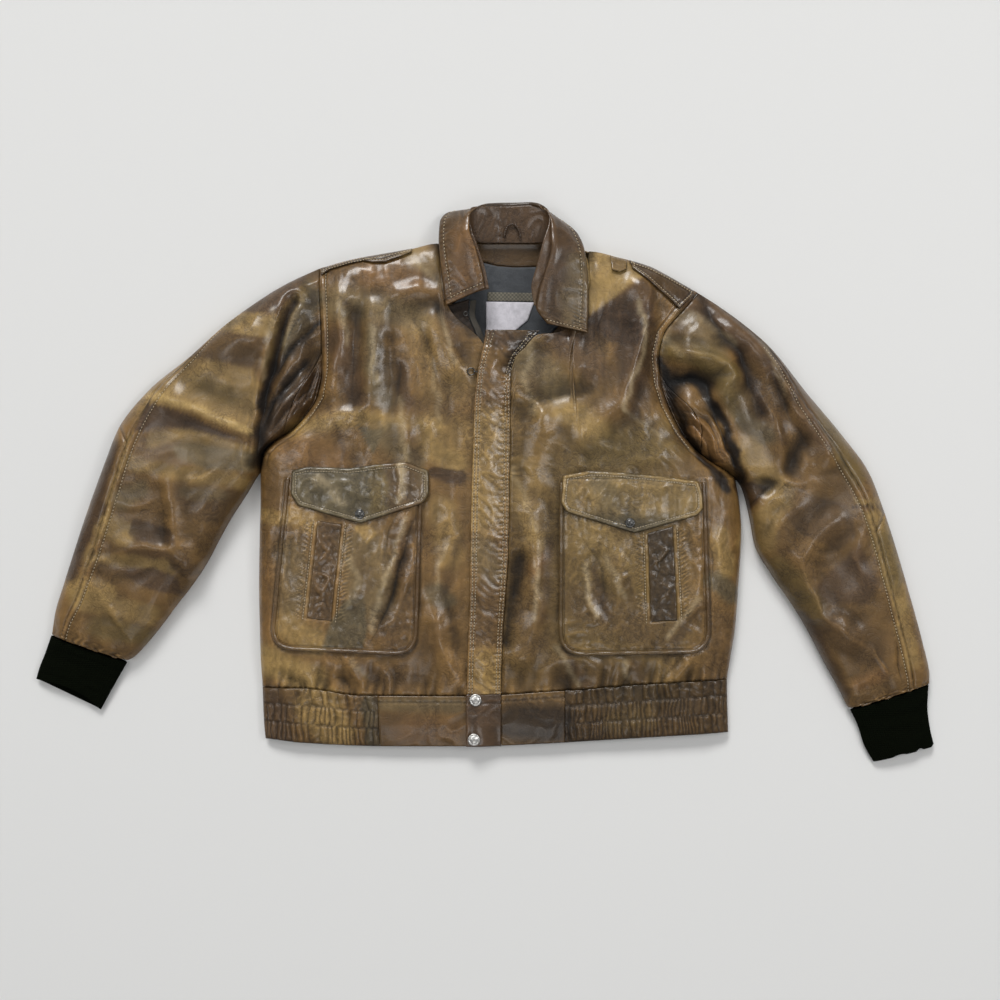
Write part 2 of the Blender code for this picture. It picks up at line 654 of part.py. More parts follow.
def prism(name, outline, low=-5.0, high=90.0):
    """Upright prism that trims a piece to its outline; it is only a cutter."""
    mesh = bmesh.new()
    corners = [mesh.verts.new((x, y, low)) for x, y in outline]
    base = mesh.faces.new(corners)
    raised = bmesh.ops.extrude_face_region(mesh, geom=[base])
    lifted = [item for item in raised["geom"] if isinstance(item, bmesh.types.BMVert)]
    bmesh.ops.translate(mesh, vec=(0, 0, high - low), verts=lifted)
    return as_cutter(add_object(name + "_outline", mesh, None, CUTTERS))


def trim(made, cutter, operation="INTERSECT"):
    """Cut or join a piece with a Boolean modifier."""
    step = made.modifiers.new(operation.title(), "BOOLEAN")
    step.operation = operation
    step.object = cutter
    step.solver = "EXACT"
    return made


def rounded(corners, radii, steps=4):
    """Outline of a polygon with its corners rounded, each by its own radius."""
    outline = []
    for i, (corner, radius) in enumerate(zip(corners, radii)):
        here = Vector(corner)
        back = (Vector(corners[i - 1]) - here).normalized() * radius
        ahead = (Vector(corners[(i + 1) % len(corners)]) - here).normalized() * radius
        for k in range(steps + 1):
            u = k / steps
            outline.append(here + back * (1 - u) ** 2 + ahead * u ** 2)
    return outline


def strip(name, rows, wall, finish, arch=0.0, across=4):
    """Curved strip between its two edges, `wall` thick towards its inner side."""
    stations = list(range(len(rows)))
    tables = {field: smooth_table(stations, column(rows, field)) for field in rows[0]._fields}

    def face(share, station):
        at = {field: table(station) for field, table in tables.items()}
        start = Vector((at["ax"], at["ay"], at["az"]))
        end = Vector((at["bx"], at["by"], at["bz"]))
        return start.lerp(end, share) + Vector((0, 0, arch * sin(pi * share)))

    def inner(share, station):
        near = 0.05
        along = face(share, min(station + near, stations[-1])) - \
            face(share, max(station - near, 0))
        side = face(min(share + near, 1), station) - face(max(share - near, 0), station)
        return face(share, station) - along.cross(side).normalized() * wall

    return shell(name, face, inner, even(0, 1, across), stations, finish)


# ------------------------------------------------------------------ torso panels
ROWS_LOW = even(0, 1, 6)
ROWS_HIGH = [1 + place for place in edge_spaced(9)]
TORSO_ROWS = ROWS_LOW + ROWS_HIGH[1:]
BAND_ROWS = (-1, -0.55, -0.19, 0)
SEAM_LEVEL = HALF_GAP / 60          # half a seam gap, as a share of the waistband


def front_columns(half):
    """Shares from the folded side to the middle, with more at the side and the neck."""
    neck = half.neck_share["front"]
    side = [neck * (1 - cos(pi / 2 * i / 9)) for i in range(10)]
    return side + [neck + (1 - neck) * place for place in (0.12, 0.26, 0.5, 0.76, 1)]


def back_columns():
    """Places 0..1 over the right half and 1..2 over the left half of the back."""
    half = [0, 0.008, 0.03, 0.08, 0.17, 0.3, 0.45, 0.6, 0.72, 0.86, 1]
    return half + [2 - place for place in reversed(half[:-1])]


def back_point(place, level, lift):
    """Point on the back over both halves."""
    if place <= 1:
        return HALVES["right"].back(place, level, lift)
    return HALVES["left"].back(2 - place, level, lift)


def make_torso():
    """Cut the two fronts and the back."""
    rows = [SEAM_LEVEL * 0.25] + TORSO_ROWS[1:]
    for side, half in HALVES.items():
        shell("front_" + side, half.front, lambda u, v, h=half: h.front(u, v, -WALL),
              front_columns(half), rows, LEATHER)
    shell("back", lambda u, v: back_point(u, v, 0), lambda u, v: back_point(u, v, WALL),
          back_columns(), rows, LEATHER)


def laid_on_front(name, side, outline, low, high, finish):
    """Piece made from the front's own points, moved out and trimmed to its outline."""
    half = HALVES[side]
    slab = shell(name, lambda u, v: half.front(u, v, high), lambda u, v: half.front(u, v, low),
                 front_columns(half), TORSO_ROWS, finish)
    return trim(slab, prism(name, outline))


def laid_in_back(name, outline, low, high, finish):
    """Piece made from the back's inner face, moved up and trimmed to its outline."""
    slab = shell(name, lambda u, v: back_point(u, v, high), lambda u, v: back_point(u, v, low),
                 back_columns(), TORSO_ROWS, finish)
    return trim(slab, prism(name, outline))


def chest_z(x, y):
    """Height of the fronts' outer face near the middle."""
    return HALVES["right"].front_z(x, y, 1.0, 0.0)


def nearest_z(side, x, y):
    """Height of a front's outer face away from the shoulder."""
    half = HALVES[side]
    edge = half.edge_x(y)
    return half.front_z(x, y, (x - edge) / (half.centre_x(y) - edge), 0.0)


# ------------------------------------------------------------------ sleeves and cuffs
GUSSET_SHARES = (0.15, 0.62)    # where the underarm gusset starts and stops along the seam
GUSSET_REACH = 1.05             # how far it reaches into the sleeve, in sleeve rows
GUSSET_TIP = 0.8                # its pointed ends run this far into the next column
ROW_GAP = 0.02                  # seam gap along a sleeve, in rows
ELBOW_GAP = 0.004               # half the elbow seam's gap, in rows
TURN_GAP = 0.0015               # half a seam gap round a sleeve, in half turns


def gusset_reach(share):
    """How far the underarm gusset reaches into the sleeve at a share of the seam."""
    start, stop = GUSSET_SHARES
    if not start < share < stop:
        return 0.0
    return GUSSET_REACH * sin(pi * (share - start) / (stop - start))


def make_sleeve(side, rows):
    """Cut the top sleeve, the under sleeve in two lengths and the gusset."""
    half = HALVES[side]
    limb = Limb(rows, half)
    length = half.shoulder_y - half.armpit_y
    edge_ys = [half.armpit_y + (row - 1) * length for row in ROWS_HIGH]
    shares = [min(max(limb.share_of_y(y), 0.0), 1.0) for y in edge_ys]
    turns = [acos(1 - 2 * share) / pi for share in shares]
    elbow = ELBOW_SEAM[side]

    def seam_turn(station):
        return acos(1 - 2 * limb.tables["top_seam"](station)) / pi

    def top(turn, station, depth):
        share = (1 - cos(pi * turn)) / 2
        reach = gusset_reach(share)
        if reach:
            station += (reach + ROW_GAP) * max(1 - station / ARMHOLE_ROWS, 0)
        around = TURN_GAP + turn * (seam_turn(station) - 2 * TURN_GAP)
        return limb.point(around, station, depth)

    def under(turn, station, depth):
        start = seam_turn(station) + TURN_GAP
        return limb.point(start + (2 - TURN_GAP - start) * turn, station, depth)

    def gusset(place, part, depth):
        number = int(place)
        ends = []
        for turn in turns[number:number + 2]:
            reach = gusset_reach((1 - cos(pi * turn)) / 2)
            around = TURN_GAP + turn * (1 - 2 * TURN_GAP)
            ends.append(limb.point(around, reach * part, depth))
        return ends[0].lerp(ends[1], place - number)

    stations = [0, 0.5] + list(range(1, limb.last + 1))
    shell("sleeve_top_" + side, lambda u, v: top(u, v, 0), lambda u, v: top(u, v, WALL),
          turns, stations, LEATHER)
    back_turns = [1 - turn for turn in reversed(turns)]
    parts = {"upper": [s for s in stations if s < elbow] + [elbow - ELBOW_GAP],
             "lower": [elbow + ELBOW_GAP] + [s for s in stations if s > elbow]}
    for part, lengths in parts.items():
        shell("sleeve_under_" + part + "_" + side, lambda u, v: under(u, v, 0),
              lambda u, v: under(u, v, WALL), back_turns, lengths, LEATHER)
    wide = [i for i, share in enumerate(shares) if gusset_reach(share) > 0]
    ribs = [wide[0] - GUSSET_TIP] + wide + [wide[-1] + GUSSET_TIP]
    shell("underarm_gusset_" + side, lambda u, v: gusset(u, v, 0),
          lambda u, v: gusset(u, v, WALL), ribs, even(0, 1, 3), LEATHER_DARK)


def make_cuff(side, rows):
    """Knit the cuff, a flattened tube."""
    limb = Limb(rows)
    shell("cuff_" + side, limb.point, lambda u, v: limb.point(u, v, KNIT_WALL),
          even(0, 2, 20), even(0, limb.last, 4), KNIT, closed=True)


# ------------------------------------------------------------------ waistband
def make_waistband():
    """Cut the gathered waistband sides, its back and its two plain front tabs."""
    rows = list(BAND_ROWS[:-1]) + [-4 * SEAM_LEVEL]
    for side, half in HALVES.items():
        tab = BAND_TAB_ENDS[side]
        edge, centre = half.edge_x(BAND_MIDDLE_Y), half.centre_x(BAND_MIDDLE_Y)
        tab_share = (tab - edge) / (centre - edge)
        gap_share = SEAM_GAP / abs(centre - edge)
        count = 2 * ceil(abs(tab - edge) / GATHER_PITCH)
        gathers = even(GATHER_START, tab_share - gap_share, count)
        ridges = {place: (1 if i % 2 else -1) for i, place in enumerate(gathers)}

        def gathered(share, level, lift, h=half, ridge=ridges):
            point = h.front(share, level, lift)
            held = level in (rows[0], rows[-2], rows[-1])
            point.z += ridge.get(share, 0) * GATHER_DEPTH * (GATHER_AT_SEAM if held else 1)
            return point

        shell("waistband_gathered_" + side, lambda u, v, g=gathered: g(u, v, 0),
              lambda u, v, g=gathered: g(u, v, -WALL), [0, 0.01, 0.035] + gathers, rows,
              LEATHER)
        shell("waistband_tab_" + side, half.front, lambda u, v, h=half: h.front(u, v, -WALL),
              even(tab_share, 1, 4), rows, LEATHER)
    shell("waistband_back", lambda u, v: back_point(u, v, 0),
          lambda u, v: back_point(u, v, WALL), back_columns(), rows, LEATHER)


# ------------------------------------------------------------------ front closing
def flap_lift(share, y):
    """How far the flap's outer face stands off the fronts across its width."""
    free = FLAP_LIFT + WALL
    tucked = FLAP_TUCK * ease((y - FLAP_TUCK_Y) / FLAP_TUCK_RUN)
    return free + (SEAM_GAP - tucked - free) * ease((share - FLAP_FLAT) / (1 - FLAP_FLAT))


def make_storm_flap():
    """Cut the storm flap and its snapped end on the waistband."""
    ys = column(STORM_FLAP, "y")
    free = smooth_table(ys, column(STORM_FLAP, "free_x"))
    lead = smooth_table(ys, column(STORM_FLAP, "lead"))
    front_edge = HALVES["left"].centre_x

    def flap(share, y, depth):
        sewn = front_edge(y) - 2.5 * SEAM_GAP + lead(y)
        x = free(y) + share * (sewn - free(y))
        return Vector((x, y, chest_z(x, y) + flap_lift(share, y) - depth))

    def end(share, y, depth):
        x = FLAP_END_X[0] + share * (FLAP_END_X[1] - FLAP_END_X[0])
        return Vector((x, y, chest_z(x, y) + flap_lift(share, y) - depth))

    across = (0, 0.2, 0.45, 0.65, 0.85, 1)
    shell("storm_flap", lambda u, v: flap(u, v, 0), lambda u, v: flap(u, v, WALL),
          across, even(ys[0], ys[-1], 16), LEATHER)
    shell("storm_flap_end", lambda u, v: end(u, v, 0), lambda u, v: end(u, v, WALL),
          across, even(BAND_EDGE[3].y, ys[0] - SEAM_GAP, 3), LEATHER)


ZIP_TAPE = {"start": -13.0, "past": 5.0, "top": -WALL - 2.9, "wall": 1.2, "y": (-328, 126)}
ZIP_TEETH = {"x": (3.0, 8.0), "top": -0.4, "wall": 3.0, "y": (-328, 134)}
SLIDER = {"x": (2.0, 10.0), "y": (136.0, 150.0), "low": 2.4, "high": 2.6}
TAB_BAR = {"end_x": 1.7, "half_y": 1.2, "half_z": 0.5}


def zip_strip(name, left_x, right_x, top, wall, span, finish):
    """Flat strip under the fronts' opening, between two edges given along its length."""
    def face(share, y, depth):
        x = left_x + share * (right_x(y) - left_x)
        return Vector((x, y, chest_z(x, y) + top - depth))

    shell(name, lambda u, v: face(u, v, 0), lambda u, v: face(u, v, wall), even(0, 1, 3),
          even(*span, 12), finish)


def make_zip():
    """Make the zip's tape, its closed teeth, the slider, its tab and the pull ring."""
    centre = HALVES["left"].centre_x
    zip_strip("zip_tape", ZIP_TAPE["start"], lambda y: centre(y) + ZIP_TAPE["past"],
              ZIP_TAPE["top"], ZIP_TAPE["wall"], ZIP_TAPE["y"], TAPE)
    zip_strip("zip_teeth", ZIP_TEETH["x"][0], lambda y: ZIP_TEETH["x"][1], ZIP_TEETH["top"],
              ZIP_TEETH["wall"], ZIP_TEETH["y"], STEEL)
    strip("zip_tape_end", ZIP_TAPE_END, 1.0, TAPE, across=1)

    low_x, high_x = SLIDER["x"]
    low_y, high_y = SLIDER["y"]
    seat = chest_z((low_x + high_x) / 2, (low_y + high_y) / 2)
    box("zip_slider", (low_x, low_y, seat - SLIDER["low"]),
        (high_x, high_y, seat + SLIDER["high"]), STEEL, PARTS)

    eye_x, eye_y = RING_EYE
    eye_z = chest_z(eye_x, eye_y) + EYE_RADIUS + EYE_WIRE + SEAM_GAP
    eye = torus("zip_tab", (eye_x, eye_y, eye_z), EYE_RADIUS, EYE_WIRE, "Y", (14, 8), STEEL)
    half_y, half_z = TAB_BAR["half_y"], TAB_BAR["half_z"]
    bar = box("zip_tab_bar", (eye_x + EYE_RADIUS, eye_y - half_y, eye_z - half_z),
              (TAB_BAR["end_x"], eye_y + half_y, eye_z + half_z), STEEL, CUTTERS)
    trim(eye, as_cutter(bar), "UNION")
    ring = torus("zip_pull_ring", (-RING_RADIUS, 0, 0), RING_RADIUS, RING_WIRE, "Z", (18, 6),
                 STEEL)
    ring.location = Vector((eye_x, eye_y, eye_z)) * MM


def box(name, low, high, finish, collection):
    """Box between two corners."""
    mesh = bmesh.new()
    size = Vector(high) - Vector(low)
    bmesh.ops.create_cube(mesh, size=1)
    bmesh.ops.scale(mesh, vec=size, verts=mesh.verts[:])
    bmesh.ops.translate(mesh, vec=Vector(low) + size / 2, verts=mesh.verts[:])
    return add_object(name, mesh, finish, collection)


def torus(name, centre, radius, wire, axis, segments, finish):
    """Wire ring: a circle of the wire's section spun round the axis."""
    mesh = bmesh.new()
    rounds, sides = segments
    bmesh.ops.create_circle(mesh, segments=sides, radius=wire,
                            matrix=Matrix.Translation((radius, 0, 0)) @
                            Matrix.Rotation(pi / 2, 4, "X"))
    bmesh.ops.spin(mesh, geom=mesh.edges[:], cent=(0, 0, 0), axis=(0, 0, 1), angle=2 * pi,
                   steps=rounds, use_merge=True)
    bmesh.ops.remove_doubles(mesh, verts=mesh.verts[:], dist=0.001)
    if axis == "Y":
        bmesh.ops.rotate(mesh, cent=(0, 0, 0), matrix=Matrix.Rotation(pi / 2, 3, "X"),
                         verts=mesh.verts[:])
    bmesh.ops.translate(mesh, vec=centre, verts=mesh.verts[:])
    return add_object(name, mesh, finish, PARTS)


def snap(name, x, y, z, radius):
    """Snap cap: a low turned disc."""
    mesh = bmesh.new()
    bmesh.ops.create_cone(mesh, cap_ends=True, segments=20, radius1=radius,
                          radius2=SNAP_TAPER * radius, depth=SNAP_HEIGHT)
    bmesh.ops.translate(mesh, vec=(x, y, z + SNAP_HEIGHT / 2), verts=mesh.verts[:])
    return add_object(name, mesh, STEEL, PARTS)


# ------------------------------------------------------------------ pockets and straps
LAYER = WALL + SEAM_GAP         # one thickness of leather laid on another
PIPING_TOP = 4.0                # heights above the front's outer face
FLAP_LOW = 4.3
FLAP_HIGH = 6.6
POCKET_SNAP_SEAT = 7.2
FLAP_CORNER = 3.0


def make_pocket(side, spec):
    """Make a patch pocket with its piping, slanted welt, flap and snap."""
    patch = rounded(spec.patch, (1, spec.radius, spec.radius, 1))
    laid_on_front("pocket_patch_" + side, side, patch, SEAM_GAP, LAYER, LEATHER)
    run = patch[4:16]           # down one side, round the bottom and up the other side
    near = [run[i] + side_normal(run, i) * SEAM_GAP for i in range(len(run))]
    far = [run[i] + side_normal(run, i) * (SEAM_GAP + PIPING_WIDTH) for i in range(len(run))]
    laid_on_front("pocket_piping_" + side, side, far + near[::-1], SEAM_GAP, PIPING_TOP,
                  LEATHER_DARK)
    laid_on_front("pocket_welt_" + side, side, spec.welt, LAYER + SEAM_GAP, 2 * LAYER, LEATHER)
    flap = rounded(spec.flap, [FLAP_CORNER] * len(spec.flap), 2)
    laid_on_front("pocket_flap_" + side, side, flap, FLAP_LOW, FLAP_HIGH, LEATHER)
    x, y = spec.snap
    snap("pocket_snap_" + side, x, y, nearest_z(side, x, y) + POCKET_SNAP_SEAT,
         POCKET_SNAP_RADIUS)


def side_normal(run, i):
    """Outward direction of an open run of points that goes round clockwise."""
    along = (run[min(i + 1, len(run) - 1)] - run[max(i - 1, 0)]).normalized()
    return Vector((-along.y, along.x))


EPAULETTES = {
    "right": ((-80, 330), (-92, 291), (-106, 284), (-125, 277), (-141, 277), (-154, 280),
              (-175, 275), (-194, 270), (-206, 262), (-206, 330)),
    "left": ((181.5, 330), (184, 270), (200, 257), (212, 246), (229, 231), (243, 218),
             (262, 236), (268, 330)),
}
KEEPER = ((157, 330), (158, 267), (168, 264), (177, 268), (179, 330))


def make_shoulder_straps():
    """Lay the epaulettes along the shoulders, and the keeper beside the collar."""
    for side, outline in EPAULETTES.items():
        laid_on_front("epaulette_" + side, side, outline, SEAM_GAP, LAYER, LEATHER_DARK)
    laid_on_front("epaulette_keeper_left", "left", KEEPER, 3 * SEAM_GAP, LAYER + 2 * SEAM_GAP,
                  LEATHER_DARK)


# ------------------------------------------------------------------ collar and neck
COLLAR_WALL = 2.5       # leather doubled over a thin interlining
COLLAR_ARCH = 2.5       # how far the fall bows up between its edges
HOOK_PLACE = (-24, 212, 32)
HOOK_RADIUS = 2.6
HOOK_WIRE = 0.7
LOOP_PLACE = Vector((34, 310, 17.6))
LOOP_WIRE = 1.6
LOOP_SPREAD = 10.0
LOOP_RISE = 16.0
LOOP_LIFT = 2.2


def make_collar():
    """Make the collar, its stand, the hanger loop and the small neck hook."""
    strip("collar", COLLAR_FALL, COLLAR_WALL, LEATHER_COLLAR, arch=COLLAR_ARCH)
    strip("collar_stand", COLLAR_STAND, WALL, LEATHER_DARK, across=3)
    torus("collar_hook", HOOK_PLACE, HOOK_RADIUS, HOOK_WIRE, "Z", (12, 6), STEEL)
    loop = bpy.data.curves.new("hanger_loop", "CURVE")
    loop.dimensions = "3D"
    loop.bevel_depth = LOOP_WIRE * MM
    loop.bevel_resolution = 2
    loop.use_fill_caps = True
    spline = loop.splines.new("POLY")
    turns = even(0, pi, 8)
    spline.points.add(len(turns) - 1)
    for point, turn in zip(spline.points, turns):
        run = Vector((-LOOP_SPREAD * cos(turn), LOOP_RISE * sin(turn), LOOP_LIFT * sin(turn)))
        point.co = ((LOOP_PLACE + run) * MM).to_4d()
    made = bpy.data.objects.new("hanger_loop", loop)
    loop.materials.append(material(LEATHER_DARK))
    PARTS.objects.link(made)


CLOTH_WALL = 1.1        # lining, label and the thin facing
FACING_WALL = 1.5
BACK_FACING = ((-15, 330), (-15, 287), (-2, 281), (16, 277), (36, 275.5), (76, 276), (76, 330))
NECK_LINING = ((-42, 270), (-14, 286), (-1, 280), (16, 276), (36, 274.6), (76, 275.2),
               (104, 262), (98, 205), (70, 178), (20, 166), (-14, 176), (-40, 205))
LABEL_TAPE = ((3, 231.8), (3, 243), (64, 242), (62, 231))
LABEL_PATCH = ((1, 231), (62, 230), (54, 207), (38, 194), (1, 191))


def make_neck():
    """Make what shows inside the neck: facings, lining, and a bare label under its tape."""
    strip("neck_facing_right", NECK_FACING, CLOTH_WALL, LEATHER_DARK, across=3)
    lining_top = LAYER + CLOTH_WALL
    label_low = lining_top + SEAM_GAP
    laid_in_back("back_facing", BACK_FACING, LAYER, LAYER + FACING_WALL, LEATHER_DARK)
    laid_in_back("neck_lining", NECK_LINING, LAYER, lining_top, LINING)
    laid_in_back("label_tape", LABEL_TAPE, label_low, label_low + CLOTH_WALL, TAPE)
    laid_in_back("label", LABEL_PATCH, label_low, label_low + CLOTH_WALL, LABEL)


# ------------------------------------------------------------------ assembly
def main():
    """Clear the scene and make every piece of the jacket."""
    make_torso()
    make_sleeve("right", SLEEVE_RIGHT)
    make_sleeve("left", SLEEVE_LEFT)
    make_cuff("right", CUFF_RIGHT)
    make_cuff("left", CUFF_LEFT)
    make_waistband()
    make_storm_flap()
    make_zip()
    for side, spec in POCKETS.items():
        make_pocket(side, spec)
    make_shoulder_straps()
    make_collar()
    make_neck()
    for number, (x, y) in enumerate(BAND_SNAPS, 1):
        rest = chest_z(x, y + SNAP_RADIUS) + FLAP_LIFT + WALL + SEAM_GAP
        snap("band_snap_%d" % number, x, y, rest, SNAP_RADIUS)


for old in list(bpy.data.objects):
    bpy.data.objects.remove(old, do_unlink=True)
PARTS = bpy.data.collections.new("leather_jacket")
CUTTERS = bpy.data.collections.new("outlines")
bpy.context.scene.collection.children.link(PARTS)
bpy.context.scene.collection.children.link(CUTTERS)
main()
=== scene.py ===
"""Looks of a worn leather flight jacket, closed at the front and laid flat on its back.

Every panel is a thin leather shell on the form of its solid, with folds, gathers, seam
puckers, stitches and dye patches set out one by one. Tables and lengths are in millimetres;
"right" and "left" are the wearer's. +X runs to the wearer's left, +Y to the collar.
"""
import logging
from dataclasses import dataclass
from enum import Enum
from typing import Callable, NamedTuple, Optional, Sequence

import bmesh
import bpy
import numpy as np
from mathutils import Matrix, Vector
from mathutils.bvhtree import BVHTree


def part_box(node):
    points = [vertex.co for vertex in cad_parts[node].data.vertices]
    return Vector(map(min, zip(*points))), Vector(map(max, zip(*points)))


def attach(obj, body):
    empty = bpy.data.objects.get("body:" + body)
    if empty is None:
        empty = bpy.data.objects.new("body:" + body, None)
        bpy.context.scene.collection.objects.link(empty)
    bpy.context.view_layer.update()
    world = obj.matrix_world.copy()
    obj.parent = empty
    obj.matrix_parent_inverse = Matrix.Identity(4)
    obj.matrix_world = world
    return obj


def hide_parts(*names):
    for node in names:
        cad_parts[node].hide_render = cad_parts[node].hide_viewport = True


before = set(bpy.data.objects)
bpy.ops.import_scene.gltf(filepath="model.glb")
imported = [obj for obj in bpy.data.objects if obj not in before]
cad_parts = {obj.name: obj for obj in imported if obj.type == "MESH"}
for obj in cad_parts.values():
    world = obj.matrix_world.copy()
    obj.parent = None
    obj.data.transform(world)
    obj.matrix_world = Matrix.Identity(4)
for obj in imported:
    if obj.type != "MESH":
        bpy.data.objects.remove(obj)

LOG = logging.getLogger("jacket")
Array = np.ndarray
Route = Sequence[tuple[float, float]]
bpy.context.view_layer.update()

MM = 0.001
WALL = 1.6                      # garment leather
SEAM_GAP = 0.3
HALF_GAP = SEAM_GAP / 2
SIDE_SEAM_Z = 8.0
BACK_NECK_Z = 11.0
SHOULDER_SEAM_Z = 10.0
EDGE_ROUND = 60.0
FLOOR_ROUND = 14.0
ARMPIT_FADE = 14.0
CHEST_Y = 10.5
SHOULDER_ROUND = 45.0
NECK_CLEAR = 400.0
NECK_RISE = 3.0
FOLD_FADE = 40.0
SLEEVE_FOLD_FADE = 25.0
SLEEVE_ROUND = 45.0
KNIFE_EDGE = 0.42
ARMHOLE_ROWS = 3
SLEEVE_WIDE = 120.0             # flat width of a top sleeve
SEAM_STITCH = 8.5               # from a seam to the stitched line beside it
COLLAR_STITCH = 0.84            # share of the collar's width at its stitched line
BAND_TALL = 74.0                # cut height of the waistband
BAND_MIDDLE_Y = -290.0
BACK_WALL = 2.0                 # leather of the back, under the lining
BACK_NECK_Y = 306.5
CUFF_WIDE = 98.0
HOLLOW_REACH = 7                # faces either way over which ground is levelled
FLAP_END_Y = (-331.0, -264.3)
BAND_SNAP_RADIUS = 7.5
POCKET_SNAP_RADIUS = 6.0
PIPING_RADIUS = 2.7
ZIP_START_X = -13
TEETH = 205
TOOTH_PITCH = 2.24


class Side(Enum):
    """The wearer's sides."""

    RIGHT = "right"
    LEFT = "left"


# ------------------------------------------------------------------ drafting tables
class SideRow(NamedTuple):
    """Folded side edges and the height of the chest between them, at a height in plan."""

    y: float
    right_x: float
    left_x: float
    crown: float


class Place(NamedTuple):
    """A place in plan."""

    x: float
    y: float


class SeamRow(NamedTuple):
    """A place on a seam."""

    x: float
    y: float
    z: float


class SleeveRow(NamedTuple):
    """A cross section of a sleeve or cuff from its inner to its outer folded edge."""

    inner_x: float
    inner_y: float
    outer_x: float
    outer_y: float
    height: float
    top_seam: float = 1.0


class StripRow(NamedTuple):
    """A station of a strip between its two edges."""

    ax: float
    ay: float
    az: float
    bx: float
    by: float
    bz: float


TORSO_SIDES = (
    SideRow(-331, -277, 308, 15), SideRow(-300, -280, 307, 21), SideRow(-252, -282, 306, 23),
    SideRow(-221, -284, 310, 30), SideRow(-183, -285, 316, 34), SideRow(-133, -286, 320, 36),
    SideRow(-58, -285, 324, 38), SideRow(-21, -284, 321, 38), SideRow(14, -284, 316, 38),
    SideRow(120, -284, 316, 38), SideRow(200, -284, 316, 34), SideRow(260, -284, 316, 31),
    SideRow(310, -284, 316, 29),
)
ARMHOLES = {
    Side.RIGHT: (
        SeamRow(-284, 14, 8), SeamRow(-279, 39, 12), SeamRow(-266, 53, 13),
        SeamRow(-244, 67, 14), SeamRow(-225, 87, 15), SeamRow(-211, 109, 16),
        SeamRow(-205, 142, 18), SeamRow(-205, 179, 22), SeamRow(-206, 217, 26),
        SeamRow(-208, 250, 25), SeamRow(-209, 272, 10)),
    Side.LEFT: (
        SeamRow(316, 7, 8), SeamRow(301, 18, 12), SeamRow(281, 30, 13), SeamRow(263, 45, 14),
        SeamRow(246, 67, 15), SeamRow(231, 96, 16), SeamRow(221, 127, 18),
        SeamRow(218, 161, 22), SeamRow(224, 188, 26), SeamRow(243, 212, 26),
        SeamRow(258, 228, 23), SeamRow(269, 241, 10)),
}
SHOULDERS = {
    Side.RIGHT: (Place(-209, 272), Place(-169, 283), Place(-131, 290), Place(-94, 296),
                 Place(-60, 303)),
    Side.LEFT: (Place(269, 241), Place(234, 261), Place(206, 275), Place(170, 285),
                Place(131, 293)),
}
FRONT_NECKS = {
    Side.RIGHT: (Place(-54, 262), Place(-48, 226), Place(-36, 207), Place(-21, 194),
                 Place(-8, 182), Place(-1, 172)),
    Side.LEFT: (Place(129, 262), Place(122, 226), Place(109, 198), Place(88, 188),
                Place(66, 185), Place(49, 168), Place(39, 158), Place(32, 129)),
}
BACK_NECKS = {
    Side.RIGHT: (Place(-16, 306), Place(14, 307)),
    Side.LEFT: (Place(75, 306), Place(14, 307)),
}
HEM_SEAM = (Place(-282, -257), Place(-231, -257), Place(-156, -266), Place(-19, -267),
            Place(94, -261), Place(225, -251), Place(306, -247))
BAND_EDGE = (Place(-278, -322), Place(-231, -327), Place(-131, -331), Place(-6, -331),
             Place(94, -327), Place(225, -319), Place(308, -314))
# y, then where each front ends towards the middle
CENTRE_EDGES = ((-331, -3, 20.5), (-261, -3, 20.5), (-196, -2, 22.5), (-83, 0, 29.5),
                (42, 1, 31.5), (129, 1, 32.5), (310, 1, 32.5))
CENTRE_BACK_X = 14.0

SLEEVES = {
    Side.RIGHT: (
        SleeveRow(-284, 14, -209, 272, 26, 1.00), SleeveRow(-290, 6, -238, 259, 38, 1.00),
        SleeveRow(-297, -6, -266, 244, 42, 1.00), SleeveRow(-305, -19, -321, 206, 42, 1.00),
        SleeveRow(-320, -42, -375, 159, 41, 0.98), SleeveRow(-336, -71, -424, 119, 40, 0.93),
        SleeveRow(-352, -101, -461, 74, 38, 0.87), SleeveRow(-370, -128, -480, 28, 37, 0.84),
        SleeveRow(-391, -155, -498, -21, 36, 0.81), SleeveRow(-411, -182, -515, -71, 34, 0.79),
        SleeveRow(-431, -206, -531, -121, 31, 0.79),
        SleeveRow(-444, -219, -544, -164, 28, 0.83),
        SleeveRow(-451, -223, -548, -190, 24, 0.85)),
    Side.LEFT: (
        SleeveRow(316, 7, 269, 241, 26, 1.00), SleeveRow(325, -7, 290, 228, 38, 1.00),
        SleeveRow(330, -23, 312, 212, 42, 0.99), SleeveRow(335, -46, 358, 174, 43, 0.97),
        SleeveRow(341, -78, 406, 115, 42, 0.91), SleeveRow(364, -118, 451, 61, 40, 0.88),
        SleeveRow(390, -156, 484, 16, 38, 0.85), SleeveRow(409, -188, 504, -35, 37, 0.84),
        SleeveRow(426, -221, 521, -87, 35, 0.81), SleeveRow(441, -248, 536, -138, 32, 0.79),
        SleeveRow(451, -267, 551, -192, 29, 0.78), SleeveRow(458, -281, 562, -240, 25, 0.77),
        SleeveRow(460, -283, 562, -252, 23, 0.78)),
}
CUFFS = {
    Side.RIGHT: (SleeveRow(-453, -226, -549, -192, 21), SleeveRow(-463, -243, -557, -214, 17),
                 SleeveRow(-476, -266, -565, -234, 15), SleeveRow(-487, -286, -569, -247, 13)),
    Side.LEFT: (SleeveRow(462, -286, 561, -254, 21), SleeveRow(472, -307, 560, -281, 17),
                SleeveRow(480, -331, 563, -307, 15), SleeveRow(492, -352, 569, -332, 13)),
}
ELBOW_SEAM = {Side.RIGHT: 6, Side.LEFT: 7}

